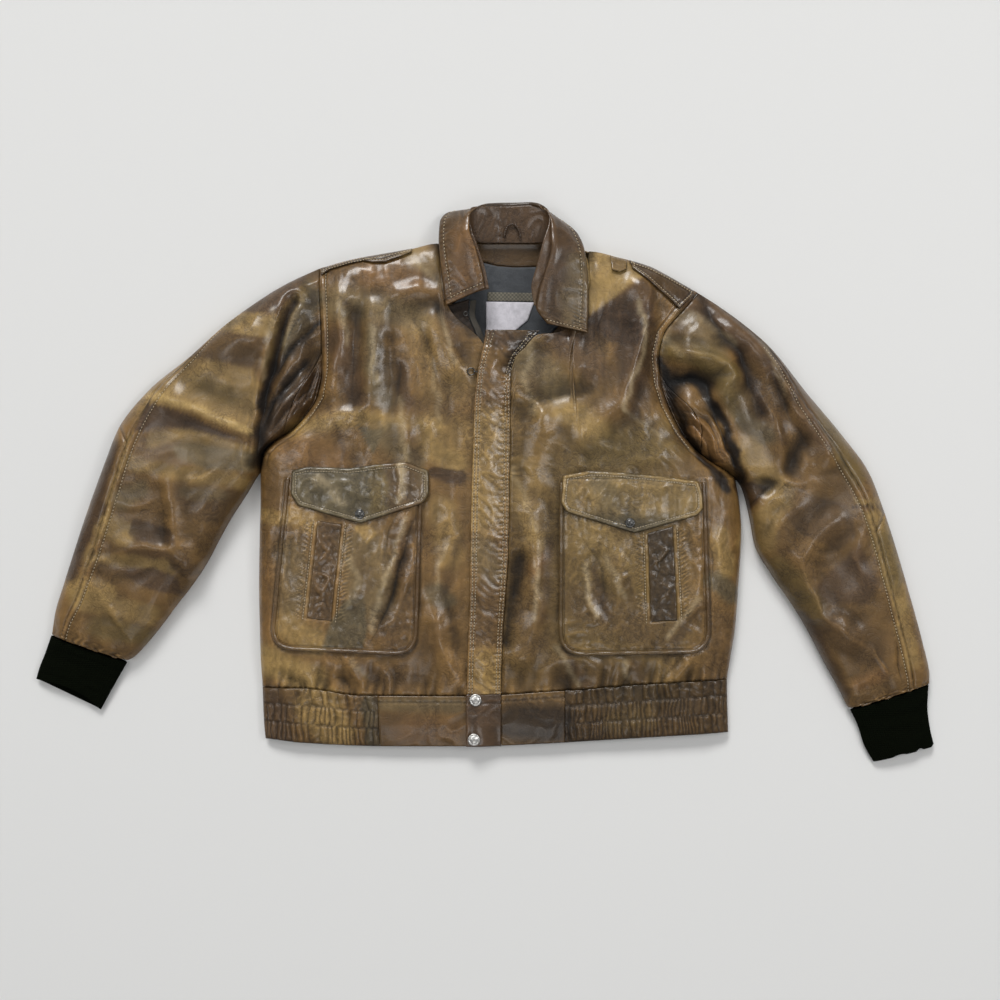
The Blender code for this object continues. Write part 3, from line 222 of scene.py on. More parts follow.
COLLAR_FALL = (
    StripRow(1, 242, 44, -49, 221, 39), StripRow(-4, 267, 45, -52, 246, 39),
    StripRow(-12, 294, 46, -56, 277, 37), StripRow(-19, 316, 44, -58, 306, 30),
    StripRow(-19, 332, 38, -57, 329, 20), StripRow(-12, 343, 30, -44, 344, 10),
    StripRow(4, 350, 21, -12, 345, 5), StripRow(28, 352, 16, 28, 330, 2.6),
    StripRow(54, 352, 19, 64, 344, 4), StripRow(73, 345, 30, 92, 335, 10),
    StripRow(82, 322, 40, 117, 313, 22), StripRow(82, 295, 46, 126, 282, 36),
    StripRow(75, 265, 47, 129, 238, 40), StripRow(67, 240, 46, 129, 212, 40),
    StripRow(63, 219, 44, 128, 197, 41), StripRow(77, 198, 43, 128, 187, 41),
)
COLLAR_STAND = (
    StripRow(-2, 240, 41, -46, 230, 35.6), StripRow(-7, 266, 41, -50, 258, 34),
    StripRow(-14, 291, 41, -50, 286, 31.5), StripRow(-20, 314, 37, -40, 301, 27),
    StripRow(-21, 330, 32, -17, 310, 18), StripRow(-14, 341, 26, -6, 308.5, 14.5),
    StripRow(7, 343, 20, 8, 308.5, 13), StripRow(28, 343, 17.5, 28, 308.5, 13),
    StripRow(54, 344, 19, 52, 308.5, 13), StripRow(76, 340, 26, 72, 308.5, 15),
    StripRow(83, 323, 35, 97, 302, 25), StripRow(78, 295, 41, 120, 286, 31.5),
    StripRow(72, 266, 42, 124, 258, 34), StripRow(66, 241, 41, 118, 231, 35.6),
    StripRow(67, 219, 41, 104, 206, 36.4),
)
NECK_FACING = (
    StripRow(-54, 220, 28.8, -20, 231, 28), StripRow(-40, 202, 30.4, -21, 212, 27.5),
    StripRow(-25, 189, 31.2, -14, 192, 28.5), StripRow(-14, 178, 31.8, -6, 173, 30.5),
)
ZIP_TAPE_END = (
    StripRow(-18, 229, 29, -11, 230, 26), StripRow(-19.5, 212, 28.5, -12.5, 212, 25.5),
    StripRow(-12.5, 192, 29.5, -5.5, 194, 26.5), StripRow(-4.5, 171, 31.5, 2.5, 174, 29),
)
# y, free edge's x, and how far the sewn edge leads past the left front
STORM_FLAP = ((-264, -23, 0), (-196, -21, 0), (-146, -19, 0), (-83, -18, 0), (-21, -17, 0),
              (42, -15, 0), (104, -13, 0), (131, -10, 0), (142, -8.6, 2), (158, -5, 8),
              (173, -2, 21), (191, 1, 36))
FLAP_LIFT = 5.8
FLAP_END_X = (-24.0, 20.0)
BAND_TAB_ENDS = {Side.RIGHT: -134.0, Side.LEFT: 100.0}
BAND_SNAPS = ((-12, -271), (-14, -321))


class PocketSpec(NamedTuple):
    """Outlines of a pocket's patch, flap and slanted welt, and the place of its snap."""

    patch: Route
    radius: float
    flap: Route
    welt: Route
    snap: tuple[float, float]


POCKETS = {
    Side.RIGHT: PocketSpec(
        patch=((-80, 8), (-88, -212), (-266, -204), (-244, 8)), radius=27,
        flap=((-76, -25), (-69, -13), (-70, 16), (-98, 27), (-131, 24), (-169, 19),
              (-219, 21), (-240, 16), (-241, -14), (-232, -28), (-155, -50)),
        welt=((-208, -46), (-178, -51), (-191, -172), (-222, -168)), snap=(-155, -38)),
    Side.LEFT: PocketSpec(
        patch=((271, 2), (279, -209), (95, -212), (96, 2)), radius=29,
        flap=((264, -40), (271, -31), (270, -12), (265, 3), (219, 9), (169, 14), (131, 16),
              (97, 10), (94, -24), (101, -36), (186, -62)),
        welt=((202, -62), (234, -53), (240, -171), (206, -173)), snap=(180, -49)),
}
EPAULETTES = {
    Side.RIGHT: ((-92, 296), (-92, 291), (-106, 284), (-125, 277), (-141, 277), (-154, 280),
                 (-175, 275), (-194, 270), (-206, 262), (-206, 271), (-169, 281), (-131, 288)),
    Side.LEFT: ((182, 281), (184, 270), (200, 257), (212, 246), (229, 231), (243, 218),
                (262, 236), (263, 243), (234, 259), (206, 273)),
}
KEEPER = ((157, 286), (158, 267), (168, 264), (177, 268), (178, 281))
BACK_FACING = ((-15, 304), (-15, 287), (-2, 281), (16, 277), (36, 275.5), (76, 276), (76, 304))
NECK_LINING = ((-42, 270), (-14, 286), (-1, 280), (16, 276), (36, 274.6), (76, 275.2),
               (104, 262), (98, 205), (70, 178), (20, 166), (-14, 176), (-40, 205))
LABEL_TAPE = ((3, 231.8), (3, 243), (64, 242), (62, 231))
LABEL_PATCH = ((1, 231), (62, 230), (54, 207), (38, 194), (1, 191))


class Fold(NamedTuple):
    """A soft ridge (or trough, if its height is below 0) along a route in plan."""

    height: float
    width: float
    route: Route


TORSO_FOLDS = (
    Fold(6, 14, ((-177, 232), (-181, 205), (-178, 178), (-200, 125))),
    Fold(5, 12, ((-137, 217), (-136, 190), (-143, 98))),
    Fold(-5, 12, ((-162, 212), (-163, 170), (-165, 108))),
    Fold(-4, 10, ((-115, 178), (-108, 134), (-110, 92))),
    Fold(4, 10, ((-106, 238), (-85, 242), (-56, 237))),
    Fold(4, 10, ((-99, 84), (-95, 54))),
    Fold(5, 12, ((-64, 207), (-56, 178), (-42, 146))),
    Fold(4, 11, ((-69, -146), (-37, -246))),
    Fold(-5, 14, ((44, 92), (75, 111), (119, 123))),
    Fold(4, 12, ((75, 86), (64, 29), (66, 4))),
    Fold(5, 11, ((31, 163), (56, 179), (70, 188))),
    Fold(-4, 10, ((44, -96), (25, -196))),
    Fold(5, 11, ((58, -37), (63, -66), (60, -125), (66, -158), (46, -215))),
    Fold(6, 13, ((196, 248), (202, 196), (181, 138), (168, 100), (131, 67))),
    Fold(-5, 11, ((214, 190), (212, 150), (224, 112))),
    Fold(4, 10, ((123, -214), (138, -252))),
    Fold(4, 10, ((263, -214), (221, -250))),
)
SLEEVE_FOLDS = (
    Fold(-8, 9, ((-238, 226), (-247, 202), (-256, 173), (-265, 138), (-275, 108), (-280, 66),
                 (-285, 24))),
    Fold(4, 13, ((-419, 122), (-294, 72))),
    Fold(4, 15, ((-350, 183), (-285, 179))),
    Fold(4, 11, ((-394, 4), (-384, -71))),
    Fold(5, 13, ((-446, -77), (-372, -87), (-359, -108))),
    Fold(-9, 13, ((240, 128), (262, 130), (282, 112), (286, 86))),
    Fold(7, 11, ((228, 166), (252, 163), (277, 158), (302, 150), (309, 132), (292, 112))),
    Fold(-6, 11, ((272, 233), (294, 184), (319, 160), (331, 125), (342, 88))),
    Fold(6, 14, ((319, 208), (335, 179), (360, 146), (381, 108), (394, 71))),
    Fold(-6, 11, ((360, 125), (377, 92), (390, 58), (383, 21))),
    Fold(5, 11, ((406, 79), (427, 34))),
    Fold(-6, 11, ((325, 0), (360, 2))),
    Fold(5, 13, ((431, -50), (406, -75), (394, -96), (398, -120), (419, -162), (456, -191))),
)
# Creases too fine for the solids: sharp ridges a few millimetres wide.
TORSO_CREASES = (
    Fold(1.8, 6, ((-177, 232), (-181, 205), (-177, 178), (-189, 150), (-202, 121))),
    Fold(1.6, 6, ((-137, 217), (-135, 192), (-141, 142), (-143, 96))),
    Fold(-2.4, 8, ((-163, 212), (-162, 171), (-164, 108))),
    Fold(-2.0, 7, ((-114, 175), (-106, 134), (-110, 92))),
    Fold(2.0, 6, ((-98, 84), (-94, 60), (-98, 34))),
    Fold(2.2, 6, ((-60, 204), (-52, 171), (-31, 150), (-20, 132))),
    Fold(2.0, 6, ((-108, 238), (-85, 242), (-54, 237))),
    Fold(1.8, 7, ((-100, 210), (-86, 190), (-80, 150))),
    Fold(-1.6, 6, ((-80, 200), (-66, 160), (-60, 120))),
    Fold(1.6, 6, ((-75, 100), (-66, 50), (-70, 20))),
    Fold(-2.2, 8, ((-222, 130), (-214, 96), (-228, 62))),
    Fold(1.6, 8, ((-240, 96), (-190, 84), (-150, 88))),
    Fold(1.6, 5, ((-56, -96), (-60, -128))),
    Fold(2.4, 7, ((-69, -146), (-55, -195), (-37, -246))),
    Fold(-2.0, 7, ((-50, -130), (-42, -180), (-34, -230))),
    Fold(1.8, 6, ((-46, -20), (-40, -70), (-48, -120))),
    Fold(2.4, 8, ((-258, -222), (-236, -236), (-200, -250))),
    Fold(-2.4, 6, ((-262, -238), (-236, -250), (-216, -258))),
    Fold(2.6, 6, ((-172, -226), (-160, -240), (-152, -258))),
    Fold(2.2, 6, ((-136, -222), (-122, -240), (-118, -258))),
    Fold(-2.6, 6, ((-190, -240), (-176, -250), (-166, -262))),
    Fold(2.4, 5, ((58, -37), (64, -66), (62, -125), (72, -158), (56, -191))),
    Fold(2.4, 7, ((48, 29), (58, 14), (64, 0))),
    Fold(-3.0, 8, ((73, -83), (40, -125), (27, -175), (32, -230))),
    Fold(2.2, 7, ((31, 163), (56, 179), (68, 187))),
    Fold(2.0, 6, ((27, 117), (60, 100), (77, 71))),
    Fold(2.6, 6, ((194, 246), (202, 196), (181, 138), (168, 100), (135, 71))),
    Fold(-3.0, 8, ((214, 190), (210, 150), (226, 106), (244, 70))),
    Fold(-2.2, 8, ((150, 226), (140, 190), (150, 150))),
    Fold(1.8, 8, ((106, 190), (120, 150), (110, 110))),
    Fold(-2.0, 8, ((50, 92), (85, 108), (140, 116))),
    Fold(1.6, 8, ((96, 62), (140, 44), (196, 46))),
    Fold(1.8, 7, ((244, 56), (214, 34), (176, 30))),
    Fold(2.2, 7, ((256, -141), (250, -158), (244, -175))),
    Fold(1.8, 6, ((296, -40), (291, -80), (298, -120))),
    Fold(-2.2, 6, ((284, -20), (280, -70), (286, -130))),
    Fold(2.6, 6, ((143, -218), (139, -236), (134, -254))),
    Fold(-3.4, 6, ((122, -216), (128, -236), (126, -256))),
    Fold(-3.2, 7, ((246, -216), (230, -236), (216, -256))),
    Fold(2.8, 6, ((262, -212), (248, -234), (232, -256))),
    Fold(2.0, 6, ((86, -214), (76, -234), (74, -256))),
    Fold(1.8, 5, ((180, -222), (174, -240), (172, -256))),
    Fold(1.6, 7, ((-272, -40), (-266, -90), (-274, -140))),
)
POCKET_CREASES = (
    Fold(1.7, 3, ((-206, -72), (-194, -82), (-204, -96))),
    Fold(1.7, 3, ((-210, -112), (-196, -120), (-202, -136), (-213, -128))),
    Fold(-1.5, 3, ((-212, -150), (-200, -146), (-196, -160))),
    Fold(1.6, 3, ((212, -72), (226, -84), (214, -98), (226, -112))),
    Fold(1.6, 3, ((214, -124), (230, -132), (218, -148))),
    Fold(-1.6, 3, ((210, -84), (220, -104), (212, -118))),
    Fold(-4.0, 7, ((-84, -33), (-96, -70), (-110, -112), (-118, -146), (-134, -183),
                   (-146, -200))),
    Fold(2.6, 6, ((-78, -50), (-90, -100), (-106, -150), (-124, -190))),
    Fold(2.2, 7, ((-98, -40), (-106, -80), (-124, -120))),
    Fold(1.6, 5, ((-128, -62), (-132, -100), (-122, -140))),
    Fold(-1.8, 6, ((-106, -30), (-120, -60), (-128, -96))),
    Fold(1.4, 5, ((-246, -60), (-250, -110), (-244, -160))),
    Fold(2.6, 6, ((127, -116), (131, -150), (140, -179))),
    Fold(2.2, 6, ((165, -83), (173, -116), (160, -141))),
    Fold(-2.0, 8, ((118, -60), (146, -110), (150, -170))),
    Fold(1.8, 7, ((262, -90), (266, -130), (256, -176))),
    Fold(2.6, 6, ((-105, 26), (-104, 2), (-106, -24))),
    Fold(1.4, 6, ((-226, 6), (-180, 2), (-150, -8))),
    Fold(1.8, 6, ((132, 12), (128, -4), (136, -20))),
    Fold(1.4, 6, ((150, 2), (190, -4), (240, -6))),
)
SLEEVE_CREASES = (
    Fold(3.0, 5, ((-252, 232), (-257, 210), (-260, 188), (-270, 166), (-282, 122), (-287, 70),
                  (-290, 14))),
    Fold(-5.0, 5, ((-236, 234), (-246, 204), (-256, 173), (-265, 138), (-275, 108), (-280, 66),
                   (-285, 20))),
    Fold(3.4, 5, ((-226, 242), (-239, 210), (-250, 167), (-262, 138))),
    Fold(-5.5, 4.5, ((-209, 200), (-231, 179), (-246, 160), (-264, 128))),
    Fold(4.0, 6, ((-234, 158), (-250, 132), (-268, 105))),
    Fold(-6.0, 5, ((-222, 150), (-240, 127), (-262, 102), (-276, 72))),
    Fold(2.6, 2.6, ((-214, 152), (-226, 124), (-250, 98), (-268, 72))),
    Fold(-3.2, 2.4, ((-211, 144), (-222, 116), (-246, 90), (-266, 64))),
    Fold(2.6, 2.6, ((-209, 134), (-218, 107), (-242, 81), (-264, 56))),
    Fold(-3.0, 2.4, ((-208, 124), (-216, 98), (-238, 74), (-258, 54))),
    Fold(-3.0, 4, ((-226, 216), (-238, 196), (-246, 178))),
    Fold(1.8, 5, ((-473, -91), (-425, -77), (-392, -82), (-378, -92), (-358, -110))),
    Fold(1.8, 5, ((-398, 4), (-390, -21), (-386, -71))),
    Fold(-2.4, 7, ((-408, 2), (-402, -30), (-400, -64))),
    Fold(1.8, 5, ((-384, -92), (-372, -108), (-364, -120))),
    Fold(1.6, 6, ((-410, -98), (-440, -112), (-470, -108))),
    Fold(1.8, 6, ((-330, 20), (-352, 6), (-372, 10))),
    Fold(1.6, 8, ((-417, 111), (-369, 96), (-323, 79), (-285, 67))),
    Fold(1.2, 8, ((-410, 66), (-340, 56), (-290, 44))),
    Fold(1.4, 7, ((-355, 160), (-330, 130), (-300, 120))),
    Fold(1.6, 6, ((-470, -20), (-440, -30), (-410, -20))),
    Fold(1.6, 6, ((-506, -120), (-486, -96), (-470, -94))),
    Fold(2.0, 5, ((-470, -150), (-462, -172), (-452, -190))),
    Fold(2.6, 5, ((225, 168), (252, 164), (277, 159), (302, 150), (310, 135), (294, 114))),
    Fold(-6.0, 7, ((231, 126), (256, 131), (279, 121), (282, 94))),
    Fold(-6.0, 6, ((222, 130), (233, 90), (252, 54), (274, 16))),
    Fold(4.0, 6, ((236, 108), (256, 88), (277, 67), (300, 34))),
    Fold(2.6, 2.6, ((240, 100), (262, 96), (284, 78), (298, 50), (308, 20))),
    Fold(-3.4, 2.4, ((240, 94), (262, 88), (280, 71), (293, 45), (302, 18))),
    Fold(2.4, 2.4, ((244, 84), (262, 79), (276, 64), (288, 42), (296, 16))),
    Fold(-3.4, 2.4, ((246, 76), (260, 71), (272, 57), (283, 37), (290, 14))),
    Fold(2.4, 2.4, ((250, 66), (264, 55), (276, 36), (285, 12))),
    Fold(-3.0, 2.4, ((256, 52), (266, 42), (274, 28))),
    Fold(2.2, 2.2, ((262, 36), (282, 27), (306, 20))),
    Fold(-3.0, 2.2, ((264, 29), (284, 20), (308, 12))),
    Fold(-7.0, 6, ((280, 98), (294, 67), (306, 38), (313, 12))),
    Fold(3.0, 6, ((290, 104), (304, 76), (318, 42), (324, 16))),
    Fold(-3.0, 7, ((272, 233), (294, 184), (319, 160), (331, 125), (342, 88))),
    Fold(2.4, 6, ((284, 212), (298, 196), (304, 176))),
    Fold(2.6, 7, ((319, 208), (335, 179), (360, 146), (381, 108), (394, 71), (388, 40))),
    Fold(-3.4, 8, ((352, 140), (377, 92), (392, 58), (383, 21))),
    Fold(2.4, 6, ((340, 121), (360, 79), (369, 38), (372, 4))),
    Fold(2.2, 6, ((406, 79), (420, 54), (430, 24))),
    Fold(-3.0, 6, ((362, -2), (340, -16), (326, -36))),
    Fold(2.4, 6, ((322, 8), (345, 10), (368, 4), (352, -22), (334, -44))),
    Fold(2.2, 5, ((431, -50), (406, -75), (394, -96), (398, -120), (419, -162), (456, -191),
                  (481, -212))),
    Fold(-2.2, 8, ((382, -8), (358, -41), (344, -75))),
    Fold(2.0, 6, ((406, -20), (373, -41), (352, -72))),
    Fold(-3.0, 4, ((514, -200), (518, -222), (519, -246))),
    Fold(2.0, 4, ((481, -206), (492, -220), (506, -236))),
    Fold(2.2, 6, ((470, -60), (462, -90), (470, -120))),
)


# ------------------------------------------------------------------ mathematics
class Table:
    """Smooth curve through a table of values, kept flat outside it."""

    def __init__(self, places: Sequence[float], values: Sequence[float]) -> None:
        """Keep the table and its slopes.

        Args:
            places: rising places.
            values: the value at each place.
        """
        self.places = np.asarray(places, float)
        self.values = np.asarray(values, float)
        rises = np.diff(self.values) / np.diff(self.places)
        self.slopes = np.zeros(len(self.places))
        self.slopes[0], self.slopes[-1] = rises[0], rises[-1]
        before, after = rises[:-1], rises[1:]
        same = before * after > 0
        self.slopes[1:-1][same] = (2 * before * after)[same] / (before + after)[same]

    def __call__(self, place: Array) -> Array:
        """Values at the places."""
        place = np.clip(place, self.places[0], self.places[-1])
        i = np.clip(np.searchsorted(self.places, place, side="right") - 1, 0,
                    len(self.places) - 2)
        span = self.places[i + 1] - self.places[i]
        u = (place - self.places[i]) / span
        start = self.values[i] * (1 + 2 * u) + self.slopes[i] * span * u
        stop = self.values[i + 1] * (3 - 2 * u) - self.slopes[i + 1] * span * (1 - u)
        return start * (1 - u) ** 2 + stop * u ** 2


def column(rows: Sequence[NamedTuple], name: str) -> list[float]:
    """One named column of a table."""
    return [getattr(row, name) for row in rows]


def swell(distance: Array, reach: float) -> Array:
    """Rise from 0 to 1 over `reach`, along a quarter circle."""
    return np.sqrt(1 - (1 - np.clip(distance / reach, 0, 1)) ** 2)


def ease(u: Array) -> Array:
    """Smooth step from 0 to 1."""
    u = np.clip(u, 0, 1)
    return u * u * (3 - 2 * u)


def arc_share(turn: Array) -> Array:
    """Share of a flattened tube's width at a turn of 0 to 1 over it."""
    return (1 - np.cos(np.pi * turn)) / 2


def arc_turn(share: Array) -> Array:
    """Turn over a flattened tube at a share of its width."""
    return np.arccos(1 - 2 * share) / np.pi


def ridge(far: Array, width: float) -> Array:
    """Bell of height 1 at 0, along a line."""
    return np.exp(-(far / width) ** 2)


class Noise:
    """Seeded gradient noise over the plane, about -0.7 to 0.7."""

    def __init__(self, seed: int) -> None:
        """Draw the gradients for a seed."""
        turns = np.random.default_rng(seed).uniform(0, 2 * np.pi, (256, 256))
        self.gx, self.gy = np.cos(turns), np.sin(turns)

    def __call__(self, x: Array, y: Array) -> Array:
        """Noise at places given in cells."""
        i, j = np.floor(x).astype(int), np.floor(y).astype(int)
        fx, fy = x - i, y - j
        u, v = fx ** 3 * (fx * (fx * 6 - 15) + 10), fy ** 3 * (fy * (fy * 6 - 15) + 10)

        def corner(di: int, dj: int) -> Array:
            """Share of one corner of the cells."""
            a, b = (i + di) % 256, (j + dj) % 256
            return self.gx[a, b] * (fx - di) + self.gy[a, b] * (fy - dj)

        low = corner(0, 0) * (1 - u) + corner(1, 0) * u
        high = corner(0, 1) * (1 - u) + corner(1, 1) * u
        return low * (1 - v) + high * v


NOISE = Noise(7)


def crumple(x: Array, y: Array, size: float) -> Array:
    """Irregular creased leather, about 0 to 1, with sharp crests about `size` apart."""
    bend_x = NOISE(x / (2.2 * size) + 31, y / (2.2 * size)) * 1.4
    bend_y = NOISE(x / (2.2 * size), y / (2.2 * size) + 57) * 1.4
    return 1 - 1.8 * np.abs(NOISE(x / size + bend_x, y / size + bend_y))


def rolling(x: Array, y: Array) -> Array:
    """Soft unevenness of thick leather, in millimetres, with a few faint creases."""
    broad = 2.6 * NOISE(x / 52 + 2, y / 60 + 5) + 1.5 * NOISE(x / 24 + 40, y / 31)
    where = ease(0.5 + 1.8 * NOISE(x / 60 + 90, y / 60))
    return broad + where * (1.5 * (crumple(x, y, 30) - 0.5) + 0.3 * (crumple(x, y, 12) - 0.5))


def route_place(x: Array, y: Array, route: Route) -> tuple[Array, Array]:
    """Signed distance to a route, and how far along it the nearest place is.

    Args:
        x: places in plan.
        y: places in plan.
        route: the route's points.

    Returns:
        The distances, above 0 on the route's left, and the lengths along the route.
    """
    best = np.full(np.shape(x), 1e9)
    side = np.ones(np.shape(x))
    along = np.zeros(np.shape(x))
    run = 0.0
    for (ax, ay), (bx, by) in zip(route, route[1:]):
        dx, dy = bx - ax, by - ay
        length = float(np.hypot(dx, dy))
        t = np.clip(((x - ax) * dx + (y - ay) * dy) / length ** 2, 0, 1)
        far = np.hypot(x - ax - t * dx, y - ay - t * dy)
        nearer = far < best
        best = np.where(nearer, far, best)
        side = np.where(nearer, np.sign(dx * (y - ay) - dy * (x - ax)), side)
        along = np.where(nearer, run + t * length, along)
        run += length
    return best * side, along


def route_distance(x: Array, y: Array, route: Route) -> tuple[Array, Array]:
    """Distance to a route on either side, and the length along it."""
    far, along = route_place(x, y, route)
    return np.abs(far), along


def route_length(route: Route) -> float:
    """Length of a route."""
    return float(sum(np.hypot(bx - ax, by - ay) for (ax, ay), (bx, by) in zip(route, route[1:])))


def near_route(x: Array, y: Array, route: Route, reach: float) -> Array:
    """Indices of the places within reach of the box round a route."""
    corners = np.array(route)
    low, high = corners.min(0) - reach, corners.max(0) + reach
    return np.flatnonzero((x > low[0]) & (x < high[0]) & (y > low[1]) & (y < high[1]))


def fold_height(folds: Sequence[Fold], x: Array, y: Array) -> Array:
    """Broad soft folds, as the solids have them."""
    total = np.zeros(np.shape(x))
    for fold in folds:
        near, _ = route_distance(x, y, fold.route)
        reach = np.clip(near / fold.width, 0, 2)
        total += fold.height * np.cos(np.pi / 4 * reach) ** 2
    return total


def crease_height(creases: Sequence[Fold], x: Array, y: Array) -> Array:
    """Creases with one steep and one easy side, uneven along their run."""
    total = np.zeros(np.shape(x))
    wander = NOISE(x / 26 + 11, y / 26 + 5) * 5
    for number, crease in enumerate(creases):
        at = near_route(x, y, crease.route, 4 * crease.width + 8)
        if not len(at):
            continue
        near, along = route_place(x[at] + wander[at], y[at] + wander[at], crease.route)
        share = along / route_length(crease.route)
        ends = np.sin(np.pi * np.clip(share, 0.02, 0.98)) ** 0.6
        change = NOISE(along / 30, np.full_like(along, 7.3 * number))
        steep = np.where(near > 0, 0.75, 1.35) if number % 2 else np.where(near > 0, 1.35, 0.75)
        width = crease.width * steep * (1 + 0.5 * change)
        bell = np.exp(-(near / width) ** 2) if crease.height > 0 else \
            np.exp(-np.abs(near) / (0.8 * width))
        total[at] += crease.height * ends * (1 + 0.7 * change) * bell
    return total


def gathers(along: Array, pitch: float, seed: float) -> Array:
    """Irregular pleats from -1 to 1 along a seam."""
    drift = NOISE(along / (3.1 * pitch) + seed, np.full_like(along, seed)) * 1.1
    size = 0.65 + 0.6 * NOISE(along / (2.3 * pitch) - seed, np.full_like(along, seed + 9))
    return np.sin(2 * np.pi * (along / pitch + drift)) * size


def pleats(along: Array, pitch: float, seed: float) -> Array:
    """Gathers from -1 to 1 with round crests and pinched valleys."""
    return 2 * np.abs(gathers(along, 2 * pitch, seed)) - 1


def outline_distance(x: Array, y: Array, outline: Route) -> Array:
    """Distance to a closed outline, above 0 inside and below 0 outside."""
    closed = list(outline) + [outline[0]]
    far, _ = route_distance(x, y, closed)
    inside = np.zeros(np.shape(x), bool)
    for (ax, ay), (bx, by) in zip(closed, closed[1:]):
        if ay == by:
            continue
        crosses = (ay > y) != (by > y)
        inside ^= crosses & (x < (bx - ax) * (y - ay) / (by - ay) + ax)
    return np.where(inside, far, -far)


def rounded(corners: Route, radii: Sequence[float], steps: int = 8) -> list[tuple[float, float]]:
    """Outline of a polygon with its corners rounded, each by its own radius."""
    outline = []
    for i, (corner, radius) in enumerate(zip(corners, radii)):
        here = Vector(corner)
        back = (Vector(corners[i - 1]) - here).normalized() * radius
        ahead = (Vector(corners[(i + 1) % len(corners)]) - here).normalized() * radius
        for k in range(steps + 1):
            u = k / steps
            outline.append(tuple(here + back * (1 - u) ** 2 + ahead * u ** 2))
    return outline


def sampled(route: Sequence[Sequence[float]], pitch: float) -> Array:
    """Points about `pitch` apart along a route."""
    points = np.asarray(route, float)
    runs = np.concatenate(([0], np.cumsum(np.linalg.norm(np.diff(points, axis=0), axis=1))))
    count = max(int(round(runs[-1] / pitch)), 1)
    places = np.linspace(0, runs[-1], count + 1)
    return np.column_stack([np.interp(places, runs, points[:, k])
                            for k in range(points.shape[1])])


